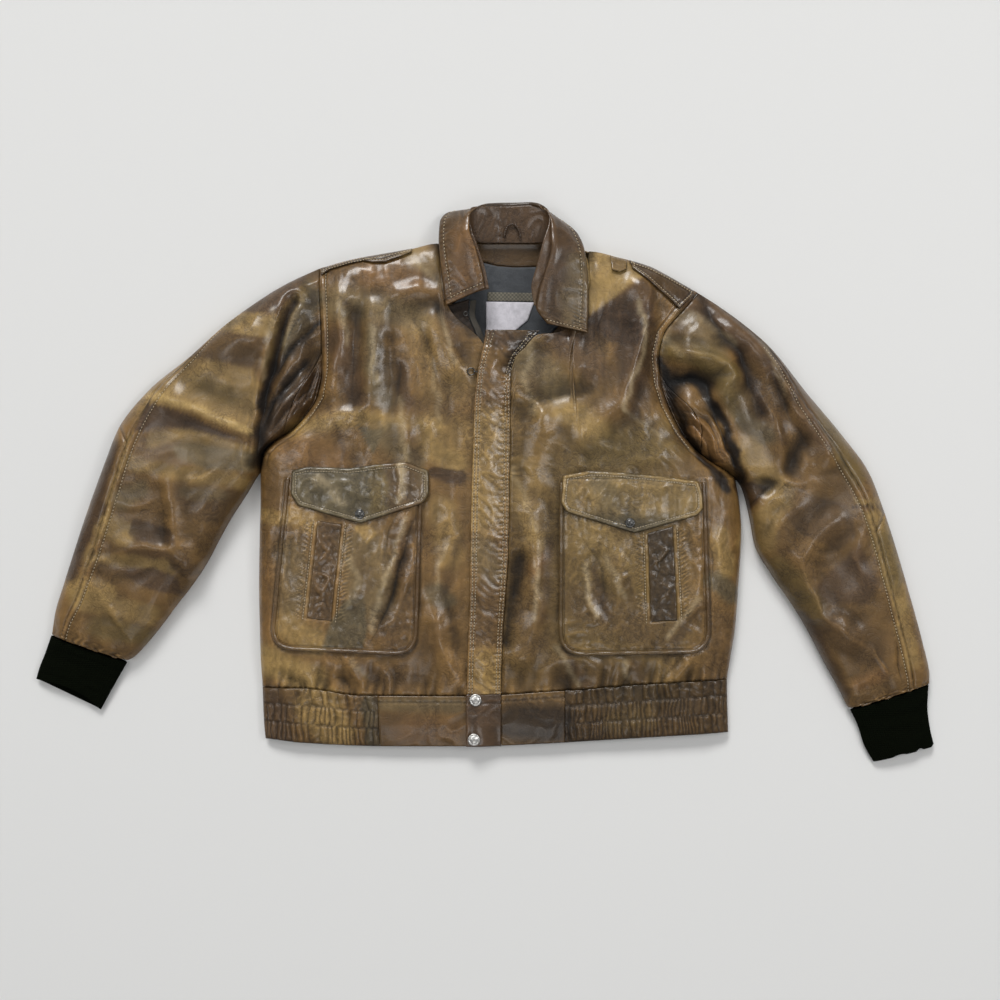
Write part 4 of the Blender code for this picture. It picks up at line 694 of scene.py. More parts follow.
# ------------------------------------------------------------------ the jacket's form
class TorsoHalf:
    """One half of the torso: its folded side, armhole, shoulder, neck and hem."""

    def __init__(self, side: Side) -> None:
        """Read the half's tables.

        Args:
            side: the wearer's side.
        """
        ys = column(TORSO_SIDES, "y")
        armhole, shoulder = ARMHOLES[side], SHOULDERS[side]
        self.side = side
        self.sign = 1 if side is Side.RIGHT else -1
        self.side_x = Table(ys, column(TORSO_SIDES, side.value + "_x"))
        self.crown = Table(ys, column(TORSO_SIDES, "crown"))
        self.armpit_y = armhole[0].y
        self.armhole_x = Table(column(armhole, "y"), column(armhole, "x"))
        self.armhole_z = Table(column(armhole, "y"), column(armhole, "z"))
        which = 1 if side is Side.RIGHT else 2
        self.centre_x = Table([row[0] for row in CENTRE_EDGES],
                              [row[which] for row in CENTRE_EDGES])
        self.shoulder_y = shoulder[0].y
        self.hem_y = Table(column(HEM_SEAM, "x"), column(HEM_SEAM, "y"))
        self.band_y = Table(column(BAND_EDGE, "x"), column(BAND_EDGE, "y"))
        self.top_front = self.top_line(shoulder + FRONT_NECKS[side], self.centre_x)
        self.top_back = self.top_line(shoulder + BACK_NECKS[side], self.middle_x)
        self.neck_front = float(self.share(*shoulder[-1], self.centre_x))
        self.neck_back = float(self.share(*shoulder[-1], self.middle_x))

    @staticmethod
    def middle_x(y: Array) -> Array:
        """Line where the two halves of the back meet."""
        return np.full(np.shape(y), CENTRE_BACK_X)

    def edge_x(self, y: Array) -> Array:
        """Outer edge in plan: the folded side, and the armhole above the armpit."""
        return np.where(np.asarray(y) < self.armpit_y, self.side_x(y), self.armhole_x(y))

    def share(self, x: Array, y: Array, inner_x: Callable[[Array], Array]) -> Array:
        """How far a place lies from the outer edge to the inner one, from 0 to 1."""
        edge = self.edge_x(y)
        return (x - edge) / (inner_x(y) - edge)

    def top_line(self, outline: Sequence[Place], inner_x: Callable[[Array], Array]) -> Table:
        """Height in plan of the shoulder and neck line for each share."""
        shares = [float(self.share(place.x, place.y, inner_x)) for place in outline]
        return Table(shares, column(outline, "y"))

    def plan(self, share: Array, level: Array, back: bool = False) -> tuple[Array, Array]:
        """Plan position; level -1..0 is the waistband, 0..1 to the armpit, 1..2 above."""
        inner_x = self.middle_x if back else self.centre_x
        top_y = (self.top_back if back else self.top_front)(share)
        guess = self.edge_x(0.0) + share * (inner_x(0.0) - self.edge_x(0.0))
        hem, band = self.hem_y(guess), self.band_y(guess)
        chest = self.armpit_y + share * (CHEST_Y - self.armpit_y)
        y = np.where(level < 0, hem + level * (hem - band),
                     np.where(level < 1, hem + level * (chest - hem),
                              chest + (level - 1) * (top_y - chest)))
        edge = self.edge_x(y)
        return edge + share * (inner_x(y) - edge), y

    def seam_height(self, y: Array, share: Array, back: bool) -> tuple[Array, Array]:
        """Height of the shoulder seam here and the distance to it."""
        top_y = (self.top_back if back else self.top_front)(share)
        near_neck = ease(share / (self.neck_back if back else self.neck_front))
        return SHOULDER_SEAM_Z + NECK_RISE * near_neck, top_y - y

    def form(self, x: Array, y: Array, share: Optional[Array] = None) -> Array:
        """Height of the front's smooth outer face, with its main folds."""
        if share is None:
            share = self.share(x, y, self.centre_x)
        edge_z = np.where(y > self.armpit_y, self.armhole_z(y), SIDE_SEAM_Z) + HALF_GAP
        inward = np.abs(x - self.edge_x(y))
        side = edge_z + (self.crown(y) - edge_z) * swell(inward, EDGE_ROUND)
        seam_z, distance = self.seam_height(y, share, False)
        distance = distance + NECK_CLEAR * np.maximum(share - self.neck_front, 0)
        low = np.minimum(seam_z + HALF_GAP, side)
        folds = fold_height(TORSO_FOLDS, x, y)
        folds *= swell(inward, FOLD_FADE) * swell(distance, FOLD_FADE)
        return low + (side - low) * swell(distance, SHOULDER_ROUND) + folds

    def front(self, share: Array, level: Array) -> Array:
        """Points of the front's outer face, with all its creases."""
        x, y = self.plan(share, level)
        z = self.form(x, y, share) + front_relief(self, x, y, share)
        return np.column_stack((x, y, z))

    def back(self, share: Array, level: Array) -> Array:
        """Points of the back's outer face, which lies on the floor."""
        x, y = self.plan(share, level, back=True)
        edge_z = np.where(y > self.armpit_y,
                          (SIDE_SEAM_Z - HALF_GAP) * (1 - swell(y - self.armpit_y, ARMPIT_FADE)),
                          SIDE_SEAM_Z - HALF_GAP)
        inward = np.abs(x - self.edge_x(y))
        side = edge_z * (1 - swell(inward, FLOOR_ROUND))
        seam_z, distance = self.seam_height(y, share, True)
        seam_z = np.where(share > self.neck_back, BACK_NECK_Z, seam_z - HALF_GAP)
        z = np.maximum(side, side + (seam_z - side) * (1 - swell(distance, 2 * FLOOR_ROUND)))
        return np.column_stack((x, y, z))


HALVES = {side: TorsoHalf(side) for side in Side}


def pocket_outline(side: Side) -> Route:
    """The patch pocket's outline in plan, its lower corners rounded."""
    radius = POCKETS[side].radius
    return rounded(POCKETS[side].patch, (1, radius, radius, 1))


def armhole_route(side: Side) -> Route:
    """The armhole seam in plan."""
    return [(row.x, row.y) for row in ARMHOLES[side]]


def front_relief(half: TorsoHalf, x: Array, y: Array, share: Array) -> Array:
    """Creases, gathers and seam puckers of a front, above its smooth form.

    Args:
        half: the torso half.
        x: places in plan.
        y: places in plan.
        share: how far each place lies from the outer edge to the middle.

    Returns:
        Height over the form.
    """
    inward = np.abs(x - half.edge_x(y))
    top_y = half.top_front(share)
    hem = half.hem_y(x)
    open_field = swell(inward, 25) * swell(top_y - y, 25) * swell(y - hem, 20)
    z = crease_height(TORSO_CREASES, x, y) + crease_height(POCKET_CREASES, x, y)
    z += rolling(x, y)
    z *= open_field
    z += (0.8 * NOISE(x / 10 + 3, y / 60) + 0.35 * NOISE(x / 5, y / 7)) * open_field
    above_hem = np.clip(y - hem, 0, 200)
    blouse = 3.8 * gathers(x + 0.3 * above_hem, 38, 3) + 1.9 * gathers(x - 0.2 * above_hem, 15, 8)
    z += blouse * np.exp(-above_hem / 17) * swell(above_hem, 6) * swell(inward, 30)
    z += 0.8 * gathers(x, 8, 21) * np.exp(-above_hem / 6)
    z -= 1.2 * ridge(above_hem, 2.0)
    arm, along = route_distance(x, y, armhole_route(half.side))
    upper = ease((y - half.armpit_y) / 30)
    z += upper * (1.5 * ridge(arm - 4, 2.8) - 0.8 * ridge(arm - SEAM_STITCH, 1.3) +
                  0.8 * gathers(along, 8, 5) * np.exp(-arm / 9) * swell(arm, 3))
    piped = np.abs(outline_distance(x, y, pocket_outline(half.side)) + 4.6)
    z -= 0.9 * ridge(piped, 1.6) * (y < 6)
    centre = np.abs(x - half.centre_x(y))
    z += 0.5 * gathers(y, 9, 40 + half.sign) * np.exp(-centre / 10) * swell(centre, 4)
    return z


def front_height(x: Array, y: Array) -> Array:
    """Height of the fronts' outer face at places in plan, the flap's width included."""
    x, y = np.asarray(x, float), np.asarray(y, float)
    z = np.zeros(np.shape(x))
    for side, half in HALVES.items():
        mine = x < 16 if side is Side.RIGHT else x >= 16
        share = np.clip(half.share(x, y, half.centre_x), 0, 1)
        z = np.where(mine, half.form(x, y, share) + front_relief(half, x, y, share), z)
    return z


def chest_form(x: Array, y: Array) -> Array:
    """Smooth height near the middle, under the flap."""
    x, y = np.asarray(x, float), np.asarray(y, float)
    return HALVES[Side.RIGHT].form(x, y, np.ones(np.shape(x)))


def back_place(place: Array, level: Array) -> Array:
    """Points on the back; place 0..1 is its right half and 1..2 its left half."""
    right = HALVES[Side.RIGHT].back(np.clip(place, 0, 1), level)
    left = HALVES[Side.LEFT].back(np.clip(2 - place, 0, 1), level)
    return np.where((place <= 1)[:, None], right, left)


def height_at(surface: Callable[[Array, Array], Array], x: float, y: float) -> float:
    """Height of a surface at one place in plan."""
    return float(surface(np.array([x]), np.array([y]))[0])


def back_inside(x: Array, y: Array) -> Array:
    """Height of the back's inner face in the neck, at places in plan."""
    y = np.asarray(y, float)
    return BACK_WALL + BACK_NECK_Z * (1 - swell(BACK_NECK_Y - y, 2 * FLOOR_ROUND))


class Limb:
    """A flattened tube along a table of rows: around 0..1 over the top, 1..2 underneath."""

    def __init__(self, rows: Sequence[SleeveRow], half: Optional[TorsoHalf] = None) -> None:
        """Read the rows, and the armhole of the half that a sleeve is set into."""
        stations = list(range(len(rows)))
        self.last = stations[-1]
        self.tables = {name: Table(stations, column(rows, name)) for name in rows[0]._fields}
        self.half = half
        if half:
            self.read_armhole(rows[0], half)

    def read_armhole(self, row: SleeveRow, half: TorsoHalf) -> None:
        """Keep how far the armhole seam bows away from the straight first row."""
        across = np.array((row.outer_x - row.inner_x, row.outer_y - row.inner_y), float)
        ys = np.linspace(half.armpit_y, half.shoulder_y, 61)
        offset = np.column_stack((half.armhole_x(ys) - row.inner_x, ys - row.inner_y))
        shares = offset @ across / (across @ across)
        bow = offset - shares[:, None] * across
        run = np.column_stack((half.armhole_x(ys + 1) - half.armhole_x(ys - 1),
                               np.full(len(ys), 2.0)))
        run /= np.linalg.norm(run, axis=1)[:, None]
        clear = np.column_stack((-run[:, 1], run[:, 0])) * 1.5 * SEAM_GAP * half.sign
        self.share_of_y = Table(ys, shares)
        self.bow = [Table(shares, bow[:, k]) for k in (0, 1)]
        self.clear = [Table(shares, clear[:, k]) for k in (0, 1)]
        self.seam_z = Table(shares, half.armhole_z(ys))

    def point(self, around: Array, station: Array) -> Array:
        """Points on the outer face."""
        around, station = np.broadcast_arrays(np.asarray(around, float),
                                              np.asarray(station, float))
        at = {name: table(station) for name, table in self.tables.items()}
        inner = np.column_stack((at["inner_x"], at["inner_y"]))
        outer = np.column_stack((at["outer_x"], at["outer_y"]))
        over = around <= 1
        share = arc_share(np.where(over, around, 2 - around))
        place = inner + (outer - inner) * share[:, None]
        width = np.linalg.norm(outer - inner, axis=1)
        edge_z = np.minimum(SIDE_SEAM_Z, KNIFE_EDGE * at["height"])
        near = np.minimum(share, 1 - share) * width
        rise = swell(share * width, SLEEVE_ROUND) * swell((1 - share) * width, SLEEVE_ROUND)
        top = edge_z + (at["height"] - edge_z) * rise
        bottom = edge_z * (1 - swell(near, FLOOR_ROUND))
        if self.half:
            rows = ARMHOLE_ROWS * (0.2 + 0.8 * np.minimum(share / 0.3, 1))
            fade = 1 - ease(station / rows)
            at_seam = np.maximum(1 - station, 0)
            for k in (0, 1):
                place[:, k] += self.bow[k](share) * fade + self.clear[k](share) * at_seam
            top += (self.seam_z(share) - top) * (1 - ease(station)) * (station < ARMHOLE_ROWS)
            folds = fold_height(SLEEVE_FOLDS, place[:, 0], place[:, 1])
            top += folds * swell(near, SLEEVE_FOLD_FADE) * ease(station)
            top += self.relief(place[:, 0], place[:, 1], share, station, near)
            low = bottom + 6.0 * np.minimum(rise * 3, 1)
            top = np.where(top > low, top, low + 3 * np.tanh((top - low) / 3))
        return np.column_stack((place, np.where(over, top, bottom)))

    def relief(self, x: Array, y: Array, share: Array, station: Array, near: Array) -> Array:
        """Creases, armhole puckers and the gathers above the cuff."""
        z = crease_height(SLEEVE_CREASES, x, y)
        z += rolling(x, y)
        z *= swell(near, 12) * ease(station / 0.5)
        left = self.last - station
        across = share * 100 + 6 * NOISE(station * 2, share * 4)
        wave = 2.8 * gathers(across, 26, 60 + self.half.sign) * np.exp(-left / 1.1) + \
            1.5 * gathers(across, 10, 64 + self.half.sign) * np.exp(-left / 0.45)
        z += wave * swell(near, 12) * swell(left, 0.15)
        seam = ease(1 - station / 0.12)
        z += 0.6 * gathers(share * 250, 9, 70 + self.half.sign) * \
            np.exp(-station / 0.5) * swell(near, 20) - 0.8 * seam
        return z


# ------------------------------------------------------------------ dye, stains, painted highlights and painted shade
class ColourStroke(NamedTuple):
    """A soft stroke of colour on the leather: the tables use it for dye patches, and also for
    painted highlights and painted shade.

    Attributes:
        colour: colour it moves the leather to.
        start, stop: half widths at its two ends.
        soft: width of its edge as a share of its half width.
        strength: 0 to 1.
        route: line along its middle.
    """

    colour: str
    start: float
    stop: float
    soft: float
    strength: float
    route: Route


class Stain(NamedTuple):
    """A patch of colour with an outline of its own.

    Attributes:
        colour: colour it moves the leather to.
        soft: width of its edge.
        strength: 0 to 1.
        route: its outline.
    """

    colour: str
    soft: float
    strength: float
    route: Route


def linear(code: str) -> Array:
    """Linear colour of an sRGB hex code."""
    value = np.array([int(code[i:i + 2], 16) for i in (0, 2, 4)]) / 255
    return np.where(value <= 0.04045, value / 12.92, ((value + 0.055) / 1.055) ** 2.4)


# sheen is the colour of painted highlights; dark and black serve for dye patches and also for
# painted shade
PALETTE = {name: linear(code) for name, code in {
    "base": "614d30", "khaki": "7c6b48", "tan": "87734c", "pale": "a49168", "dark": "36281b",
    "black": "17110c", "grey": "615845", "plum": "46372a", "slate": "4a4538",
    "orange": "6a5033", "umber": "4c3c28", "olive": "574c2f", "sheen": "968e7e",
}.items()}

WARMTH = np.array((1.38, 1.23, 0.94))

# painted highlights along the crests of the main folds, each with a stroke of painted shade beside
# it
PAINTED_CREST_HIGHLIGHTS_AND_SHADE = tuple(stroke for start, stop, strength, route in (
    (5, 4, 0.5, ((-184, 226), (-176, 212), (-173, 176))),
    (5, 5, 0.45, ((-141, 196), (-140, 160), (-135, 128))),
    (5, 4, 0.5, ((-108, 104), (-101, 70), (-99, 32))),
    (4, 3, 0.45, ((-56, 208), (-48, 182), (-36, 150))),
    (7, 6, 0.4, ((-88, 288), (-70, 262), (-58, 250))),
    (4, 4, 0.35, ((-66, 150), (-60, 110), (-58, 80))),
    (4, 4, 0.6, ((190, 226), (200, 196), (198, 166), (182, 120), (174, 92))),
    (3, 3, 0.35, ((174, 92), (196, 74), (220, 60))),
    (6, 5, 0.4, ((58, 172), (50, 130), (62, 92))),
    (4, 4, 0.4, ((34, 20), (48, -12), (60, -54))),
    (4, 3, 0.6, ((70, -72), (64, -104), (65, -138), (58, -170))),
    (4, 4, 0.5, ((92, -206), (104, -228), (116, -252))),
    (4, 4, 0.6, ((124, -100), (128, -128), (138, -166))),
    (5, 4, 0.4, ((150, -92), (166, -120), (172, -140))),
    (5, 4, 0.5, ((262, -144), (246, -168), (226, -192))),
    (4, 4, 0.45, ((174, -222), (178, -244))),
    (5, 5, 0.35, ((-166, -96), (-156, -120), (-172, -150))),
    (4, 4, 0.5, ((-98, -42), (-112, -88), (-128, -128), (-142, -186))),
    (3, 3, 0.4, ((-44, -72), (-58, -108), (-62, -132))),
    (5, 4, 0.35, ((-166, -222), (-150, -244))),
    (6, 5, 0.4, ((262, 214), (290, 190), (312, 172))),
    (4, 4, 0.35, ((346, 176), (364, 140), (372, 112))),
    (4, 4, 0.4, ((232, 200), (228, 180), (244, 160))),
    (4, 4, 0.4, ((-262, 216), (-270, 176), (-276, 130))),
    (4, 4, 0.35, ((-228, 236), (-240, 204), (-248, 176))),
) for stroke in (
    # painted shade beside the crest
    ColourStroke("dark", start + 2, stop + 2, 0.95, strength, tuple((x + 12, y - 3) for x, y in route)),
    # painted highlight on the crest
    ColourStroke("sheen", 0.75 * start, 0.75 * stop, 0.95, 0.7 * strength, route)))

# dye patches, with painted shade under the collar's wings and in the armhole valleys, and the
# painted crests
DYES_AND_PAINTED_LIGHT = (
    # wearer's right front
    ColourStroke("umber", 40, 40, 0.6, 0.6, ((-200, 250), (-60, 262))),
    ColourStroke("khaki", 14, 12, 0.5, 0.8, ((-92, 290), (-64, 272))),
    ColourStroke("orange", 14, 14, 0.7, 0.5, ((-140, 262), (-90, 256))),
    ColourStroke("grey", 20, 18, 0.6, 0.7, ((-184, 226), (-130, 216), (-80, 208))),
    ColourStroke("plum", 20, 16, 0.5, 0.85, ((-184, 176), (-168, 140), (-160, 106))),
    ColourStroke("slate", 14, 14, 0.6, 0.8, ((-138, 184), (-134, 140), (-128, 106))),
    ColourStroke("dark", 9, 9, 0.5, 0.7, ((-106, 146), (-98, 102))),
    ColourStroke("khaki", 26, 30, 0.7, 0.45, ((-72, 186), (-46, 130))),
    ColourStroke("umber", 20, 16, 0.6, 0.6, ((-50, 220), (-30, 170))),
    ColourStroke("khaki", 11, 10, 0.7, 0.8, ((-240, 68), (-180, 80), (-127, 80), (-64, 72))),
    ColourStroke("khaki", 16, 20, 0.6, 0.5, ((-64, 72), (-26, 60))),
    Stain("slate", 3, 0.9, ((-160, 73), (-144, 69), (-127, 66), (-139, 36))),
    # painted shadow of the collar's wing on the right front
    ColourStroke("black", 5, 7, 0.9, 0.75, ((-60, 218), (-38, 206), (-12, 188))),
    ColourStroke("orange", 20, 20, 0.6, 0.45, ((-236, 40), (-190, 30))),
    ColourStroke("dark", 3, 3, 0.6, 0.5, ((-196, 96), (-180, 66), (-176, 30))),
    ColourStroke("grey", 18, 14, 0.5, 0.7, ((-122, 60), (-90, 28))),
    ColourStroke("khaki", 15, 15, 0.5, 0.8, ((-70, 46), (-34, 26))),
    ColourStroke("dark", 8, 8, 0.35, 0.85, ((-62, 12), (-30, 6))),
    ColourStroke("umber", 14, 20, 0.6, 0.6, ((-268, 10), (-262, -80))),
    ColourStroke("tan", 8, 8, 0.5, 0.7, ((-282, -40), (-250, -44))),
    ColourStroke("orange", 18, 18, 0.6, 0.35, ((-264, -110), (-262, -180))),
    ColourStroke("tan", 12, 14, 0.6, 0.7, ((-242, -40), (-220, -48))),
    ColourStroke("grey", 22, 20, 0.6, 0.6, ((-240, -90), (-242, -150))),
    ColourStroke("khaki", 18, 18, 0.5, 0.7, ((-246, -180), (-214, -196))),
    ColourStroke("grey", 30, 34, 0.5, 0.6, ((-150, -80), (-140, -140))),
    Stain("slate", 6, 0.85, ((-204, -206), (-192, -174), (-176, -146), (-150, -140), (-146, -180),
                             (-152, -206))),
    Stain("tan", 4, 0.7, ((-164, -54), (-148, -50), (-134, -62), (-146, -76))),
    ColourStroke("umber", 12, 16, 0.5, 0.7, ((-104, -60), (-96, -150), (-112, -196))),
    ColourStroke("khaki", 16, 16, 0.6, 0.6, ((-54, -30), (-44, -90))),
    ColourStroke("slate", 13, 10, 0.5, 0.7, ((-62, -136), (-44, -146))),
    ColourStroke("umber", 16, 24, 0.6, 0.7, ((-60, -190), (-100, -238))),
    ColourStroke("khaki", 20, 16, 0.45, 0.8, ((-276, -222), (-214, -246))),
    ColourStroke("umber", 10, 12, 0.5, 0.7, ((-150, -236), (-110, -244))),
    ColourStroke("plum", 26, 20, 0.4, 0.8, ((-276, -282), (-262, -316))),
    ColourStroke("tan", 28, 22, 0.35, 0.9, ((-208, -284), (-186, -316))),
    ColourStroke("slate", 10, 10, 0.4, 0.8, ((-146, -276), (-140, -326))),
    ColourStroke("plum", 20, 20, 0.5, 0.5, ((-120, -306), (-80, -310))),
    ColourStroke("orange", 16, 18, 0.6, 0.45, ((-96, -312), (-40, -310))),
    ColourStroke("grey", 8, 10, 0.6, 0.6, ((-128, -276), (-36, -278))),
    # wearer's left front
    ColourStroke("olive", 80, 80, 0.5, 0.6, ((170, 0), (180, -190))),
    ColourStroke("olive", 70, 60, 0.6, 0.4, ((70, 150), (60, -200))),
    ColourStroke("umber", 26, 26, 0.6, 0.6, ((60, 150), (120, 190))),
    ColourStroke("grey", 24, 20, 0.6, 0.7, ((40, 170), (84, 122))),
    ColourStroke("plum", 20, 20, 0.5, 0.7, ((98, 184), (138, 142))),
    ColourStroke("dark", 26, 22, 0.5, 0.85, ((146, 206), (186, 196), (186, 130))),
    Stain("khaki", 5, 0.95, ((118, 300), (172, 290), (196, 258), (160, 232), (128, 208),
                             (110, 212))),
    Stain("dark", 9, 0.8, ((128, 206), (160, 230), (196, 257), (214, 240), (206, 196), (188, 168),
                           (150, 180))),
    # painted shadow of the collar's wing on the left front
    ColourStroke("dark", 7, 7, 0.9, 0.75, ((60, 208), (80, 188), (128, 180))),
    ColourStroke("khaki", 14, 16, 0.5, 0.85, ((74, 98), (110, 86), (142, 66))),
    ColourStroke("umber", 24, 22, 0.6, 0.6, ((166, 90), (200, 130))),
    ColourStroke("olive", 26, 26, 0.6, 0.6, ((150, 40), (230, 60))),
    ColourStroke("dark", 14, 16, 0.5, 0.7, ((228, 130), (250, 60))),
    ColourStroke("khaki", 22, 16, 0.6, 0.6, ((44, 10), (62, -60))),
    ColourStroke("orange", 8, 8, 0.6, 0.6, ((76, -90), (60, -110))),
    ColourStroke("umber", 18, 22, 0.6, 0.5, ((44, -110), (60, -200))),
    ColourStroke("khaki", 24, 18, 0.6, 0.55, ((130, -60), (170, -100))),
    ColourStroke("umber", 24, 24, 0.6, 0.5, ((120, -150), (220, -190))),
    ColourStroke("khaki", 12, 14, 0.5, 0.7, ((292, -64), (300, -106))),
    ColourStroke("slate", 13, 12, 0.4, 0.8, ((286, -120), (312, -140))),
    ColourStroke("umber", 18, 18, 0.6, 0.6, ((300, -180), (290, -240))),
    ColourStroke("dark", 22, 20, 0.6, 0.5, ((100, -240), (190, -238))),
    ColourStroke("black", 26, 26, 0.45, 0.8, ((34, -300), (86, -300))),
    ColourStroke("khaki", 14, 16, 0.7, 0.5, ((160, -300), (200, -296))),
    # wearer's right sleeve
    ColourStroke("khaki", 26, 26, 0.5, 0.5, ((-300, 205), (-420, 100))),
    Stain("plum", 5, 0.85, ((-320, 222), (-280, 244), (-238, 268), (-222, 258), (-246, 228),
                            (-258, 212), (-306, 215))),
    Stain("khaki", 6, 0.85, ((-316, 214), (-256, 208), (-258, 186), (-268, 180), (-331, 190))),
    Stain("umber", 5, 0.9, ((-376, 160), (-331, 191), (-298, 184), (-268, 180), (-290, 142),
                            (-331, 151))),
    Stain("khaki", 10, 0.7, ((-412, 108), (-348, 152), (-290, 142), (-279, 122), (-290, 64),
                             (-331, 76))),
    ColourStroke("olive", 12, 12, 0.7, 0.5, ((-350, 122), (-318, 110))),
    ColourStroke("pale", 5, 4, 0.8, 0.65, ((-424, 112), (-369, 97), (-323, 78), (-287, 64))),
    Stain("plum", 1.6, 0.95, ((-421, 100), (-390, 94), (-360, 81.5), (-331, 67), (-306, 57.7),
                              (-323, 57.7), (-356, 62.7), (-390, 70), (-410, 70), (-421, 63.6),
                              (-437, 66))),
    ColourStroke("khaki", 9, 7, 0.4, 0.7, ((-412, 54), (-380, 60), (-340, 52), (-290, 38))),
    Stain("grey", 7, 0.85, ((-390, 46), (-369, 52), (-323, 44), (-284, 36), (-290, 14), (-348, 17),
                            (-381, 32))),
    ColourStroke("khaki", 9, 9, 0.5, 0.7, ((-440, 26), (-380, 12), (-304, 2))),
    Stain("umber", 9, 0.75, ((-392, -2), (-302, -10), (-335, -52), (-376, -34))),
    ColourStroke("grey", 8, 8, 0.6, 0.5, ((-372, -10), (-330, -14))),
    ColourStroke("khaki", 16, 14, 0.4, 0.8, ((-470, -52), (-446, -64))),
    ColourStroke("grey", 12, 12, 0.5, 0.7, ((-452, -20), (-430, -8))),
    Stain("dark", 4, 0.75, ((-437, -42), (-390, -57), (-384, -78), (-435, -71), (-444, -62))),
    Stain("dark", 5, 0.6, ((-452, -80), (-396, -84), (-382, -96), (-400, -100), (-446, -92))),
    ColourStroke("khaki", 8, 8, 0.5, 0.7, ((-500, -92), (-440, -98), (-396, -104))),
    ColourStroke("umber", 7, 7, 0.5, 0.8, ((-480, -104), (-446, -112))),
    Stain("plum", 5, 0.85, ((-450, -106), (-412, -104), (-384, -118), (-380, -140),
                            (-410, -134), (-440, -122))),
    Stain("umber", 4, 0.85, ((-396, -84), (-366, -96), (-356, -112), (-372, -118), (-392, -104))),
    ColourStroke("tan", 14, 12, 0.4, 0.85, ((-514, -128), (-470, -136))),
    ColourStroke("khaki", 13, 12, 0.5, 0.7, ((-510, -142), (-420, -164))),
    ColourStroke("olive", 16, 14, 0.5, 0.7, ((-480, -180), (-430, -190))),
    ColourStroke("dark", 11, 13, 0.3, 0.9, ((-468, 44), (-490, -38), (-522, -112))),
    ColourStroke("khaki", 3, 3, 0.9, 0.7, ((-441, 62), (-457, 10), (-476, -46), (-498, -108))),
    ColourStroke("olive", 8, 7, 0.5, 0.6, ((-222, 250), (-248, 204), (-266, 150))),
    ColourStroke("slate", 11, 9, 0.6, 0.85, ((-214, 234), (-232, 198), (-252, 164))),
    ColourStroke("umber", 8, 8, 0.5, 0.8, ((-222, 172), (-246, 142), (-266, 116))),
    ColourStroke("dark", 14, 14, 0.5, 0.85, ((-214, 130), (-240, 96), (-274, 60))),
    # painted shade in the valleys of the folds at the right armhole
    ColourStroke("dark", 4, 5, 0.9, 0.85, ((-240, 222), (-250, 190), (-262, 152), (-274, 112), (-282, 60))),
    ColourStroke("black", 4, 6, 0.9, 0.95, ((-209, 204), (-230, 177), (-250, 158), (-268, 130),
                                   (-278, 96))),
    ColourStroke("black", 6, 9, 0.9, 0.95, ((-224, 150), (-242, 128), (-262, 100), (-276, 70), (-283, 30))),
    # wearer's left sleeve
    ColourStroke("plum", 24, 26, 0.5, 0.8, ((262, 226), (320, 196), (372, 148))),
    ColourStroke("grey", 14, 14, 0.6, 0.6, ((252, 204), (286, 172))),
    ColourStroke("plum", 24, 30, 0.6, 0.75, ((400, 110), (420, 70))),
    ColourStroke("olive", 16, 18, 0.5, 0.85, ((236, 172), (272, 156), (300, 136), (318, 96))),
    ColourStroke("khaki", 6, 6, 0.8, 0.35, ((236, 168), (262, 160), (290, 150))),
    ColourStroke("umber", 18, 20, 0.6, 0.7, ((330, 120), (344, 70))),
    ColourStroke("khaki", 18, 18, 0.5, 0.8, ((330, 40), (348, 14), (366, -16))),
    ColourStroke("slate", 12, 11, 0.6, 0.7, ((322, 78), (348, 58))),
    ColourStroke("olive", 12, 14, 0.5, 0.75, ((424, 84), (446, 40), (462, 10))),
    ColourStroke("orange", 14, 14, 0.6, 0.6, ((262, 66), (290, 36))),
    # painted shade in the valleys of the folds at the left armhole
    ColourStroke("dark", 5, 6, 0.9, 0.85, ((270, 236), (292, 190), (316, 165), (330, 126), (346, 92))),
    ColourStroke("dark", 5, 6, 0.9, 0.6, ((350, 158), (364, 118), (370, 80), (372, 50))),
    ColourStroke("black", 5, 6, 0.6, 0.97, ((219, 158), (228, 124), (240, 96), (252, 64), (276, 28),
                                   (304, -8))),
    ColourStroke("black", 6, 6, 0.6, 0.97, ((230, 127), (256, 131), (272, 122), (281, 98))),
    ColourStroke("black", 5, 6, 0.6, 0.97, ((283, 98), (297, 74), (309, 40), (319, 0))),
    Stain("dark", 4, 0.9, ((310, -2), (330, 2), (356, -4), (344, -18), (330, -34), (322, -22))),
    ColourStroke("khaki", 18, 20, 0.4, 0.75, ((350, -44), (340, -70))),
    Stain("umber", 6, 0.85, ((372, -40), (400, -14), (452, -26), (462, -66), (440, -84),
                             (398, -66))),
    Stain("plum", 9, 0.8, ((438, -102), (469, -72), (478, -104), (492, -122), (478, -150),
                           (416, -150), (412, -126))),
    Stain("khaki", 4, 0.8, ((470, -36), (498, -30), (520, -96), (536, -160), (514, -164),
                            (494, -116))),
    Stain("khaki", 2, 0.8, ((458, -18), (496, -20), (498, -29), (462, -27))),
    ColourStroke("dark", 1.6, 1.6, 0.8, 0.9, ((458, -29), (480, -29), (500, -32))),
    ColourStroke("olive", 14, 14, 0.5, 0.7, ((500, -70), (512, -120))),
    ColourStroke("khaki", 12, 12, 0.5, 0.7, ((520, -150), (534, -220))),
    ColourStroke("umber", 26, 26, 0.5, 0.75, ((436, -176), (476, -206))),
    ColourStroke("olive", 18, 22, 0.5, 0.7, ((366, -108), (400, -160))),
    ColourStroke("dark", 10, 10, 0.5, 0.7, ((400, -170), (448, -262))),
    ColourStroke("orange", 8, 8, 0.6, 0.6, ((466, -250), (496, -240))),
) + PAINTED_CREST_HIGHLIGHTS_AND_SHADE

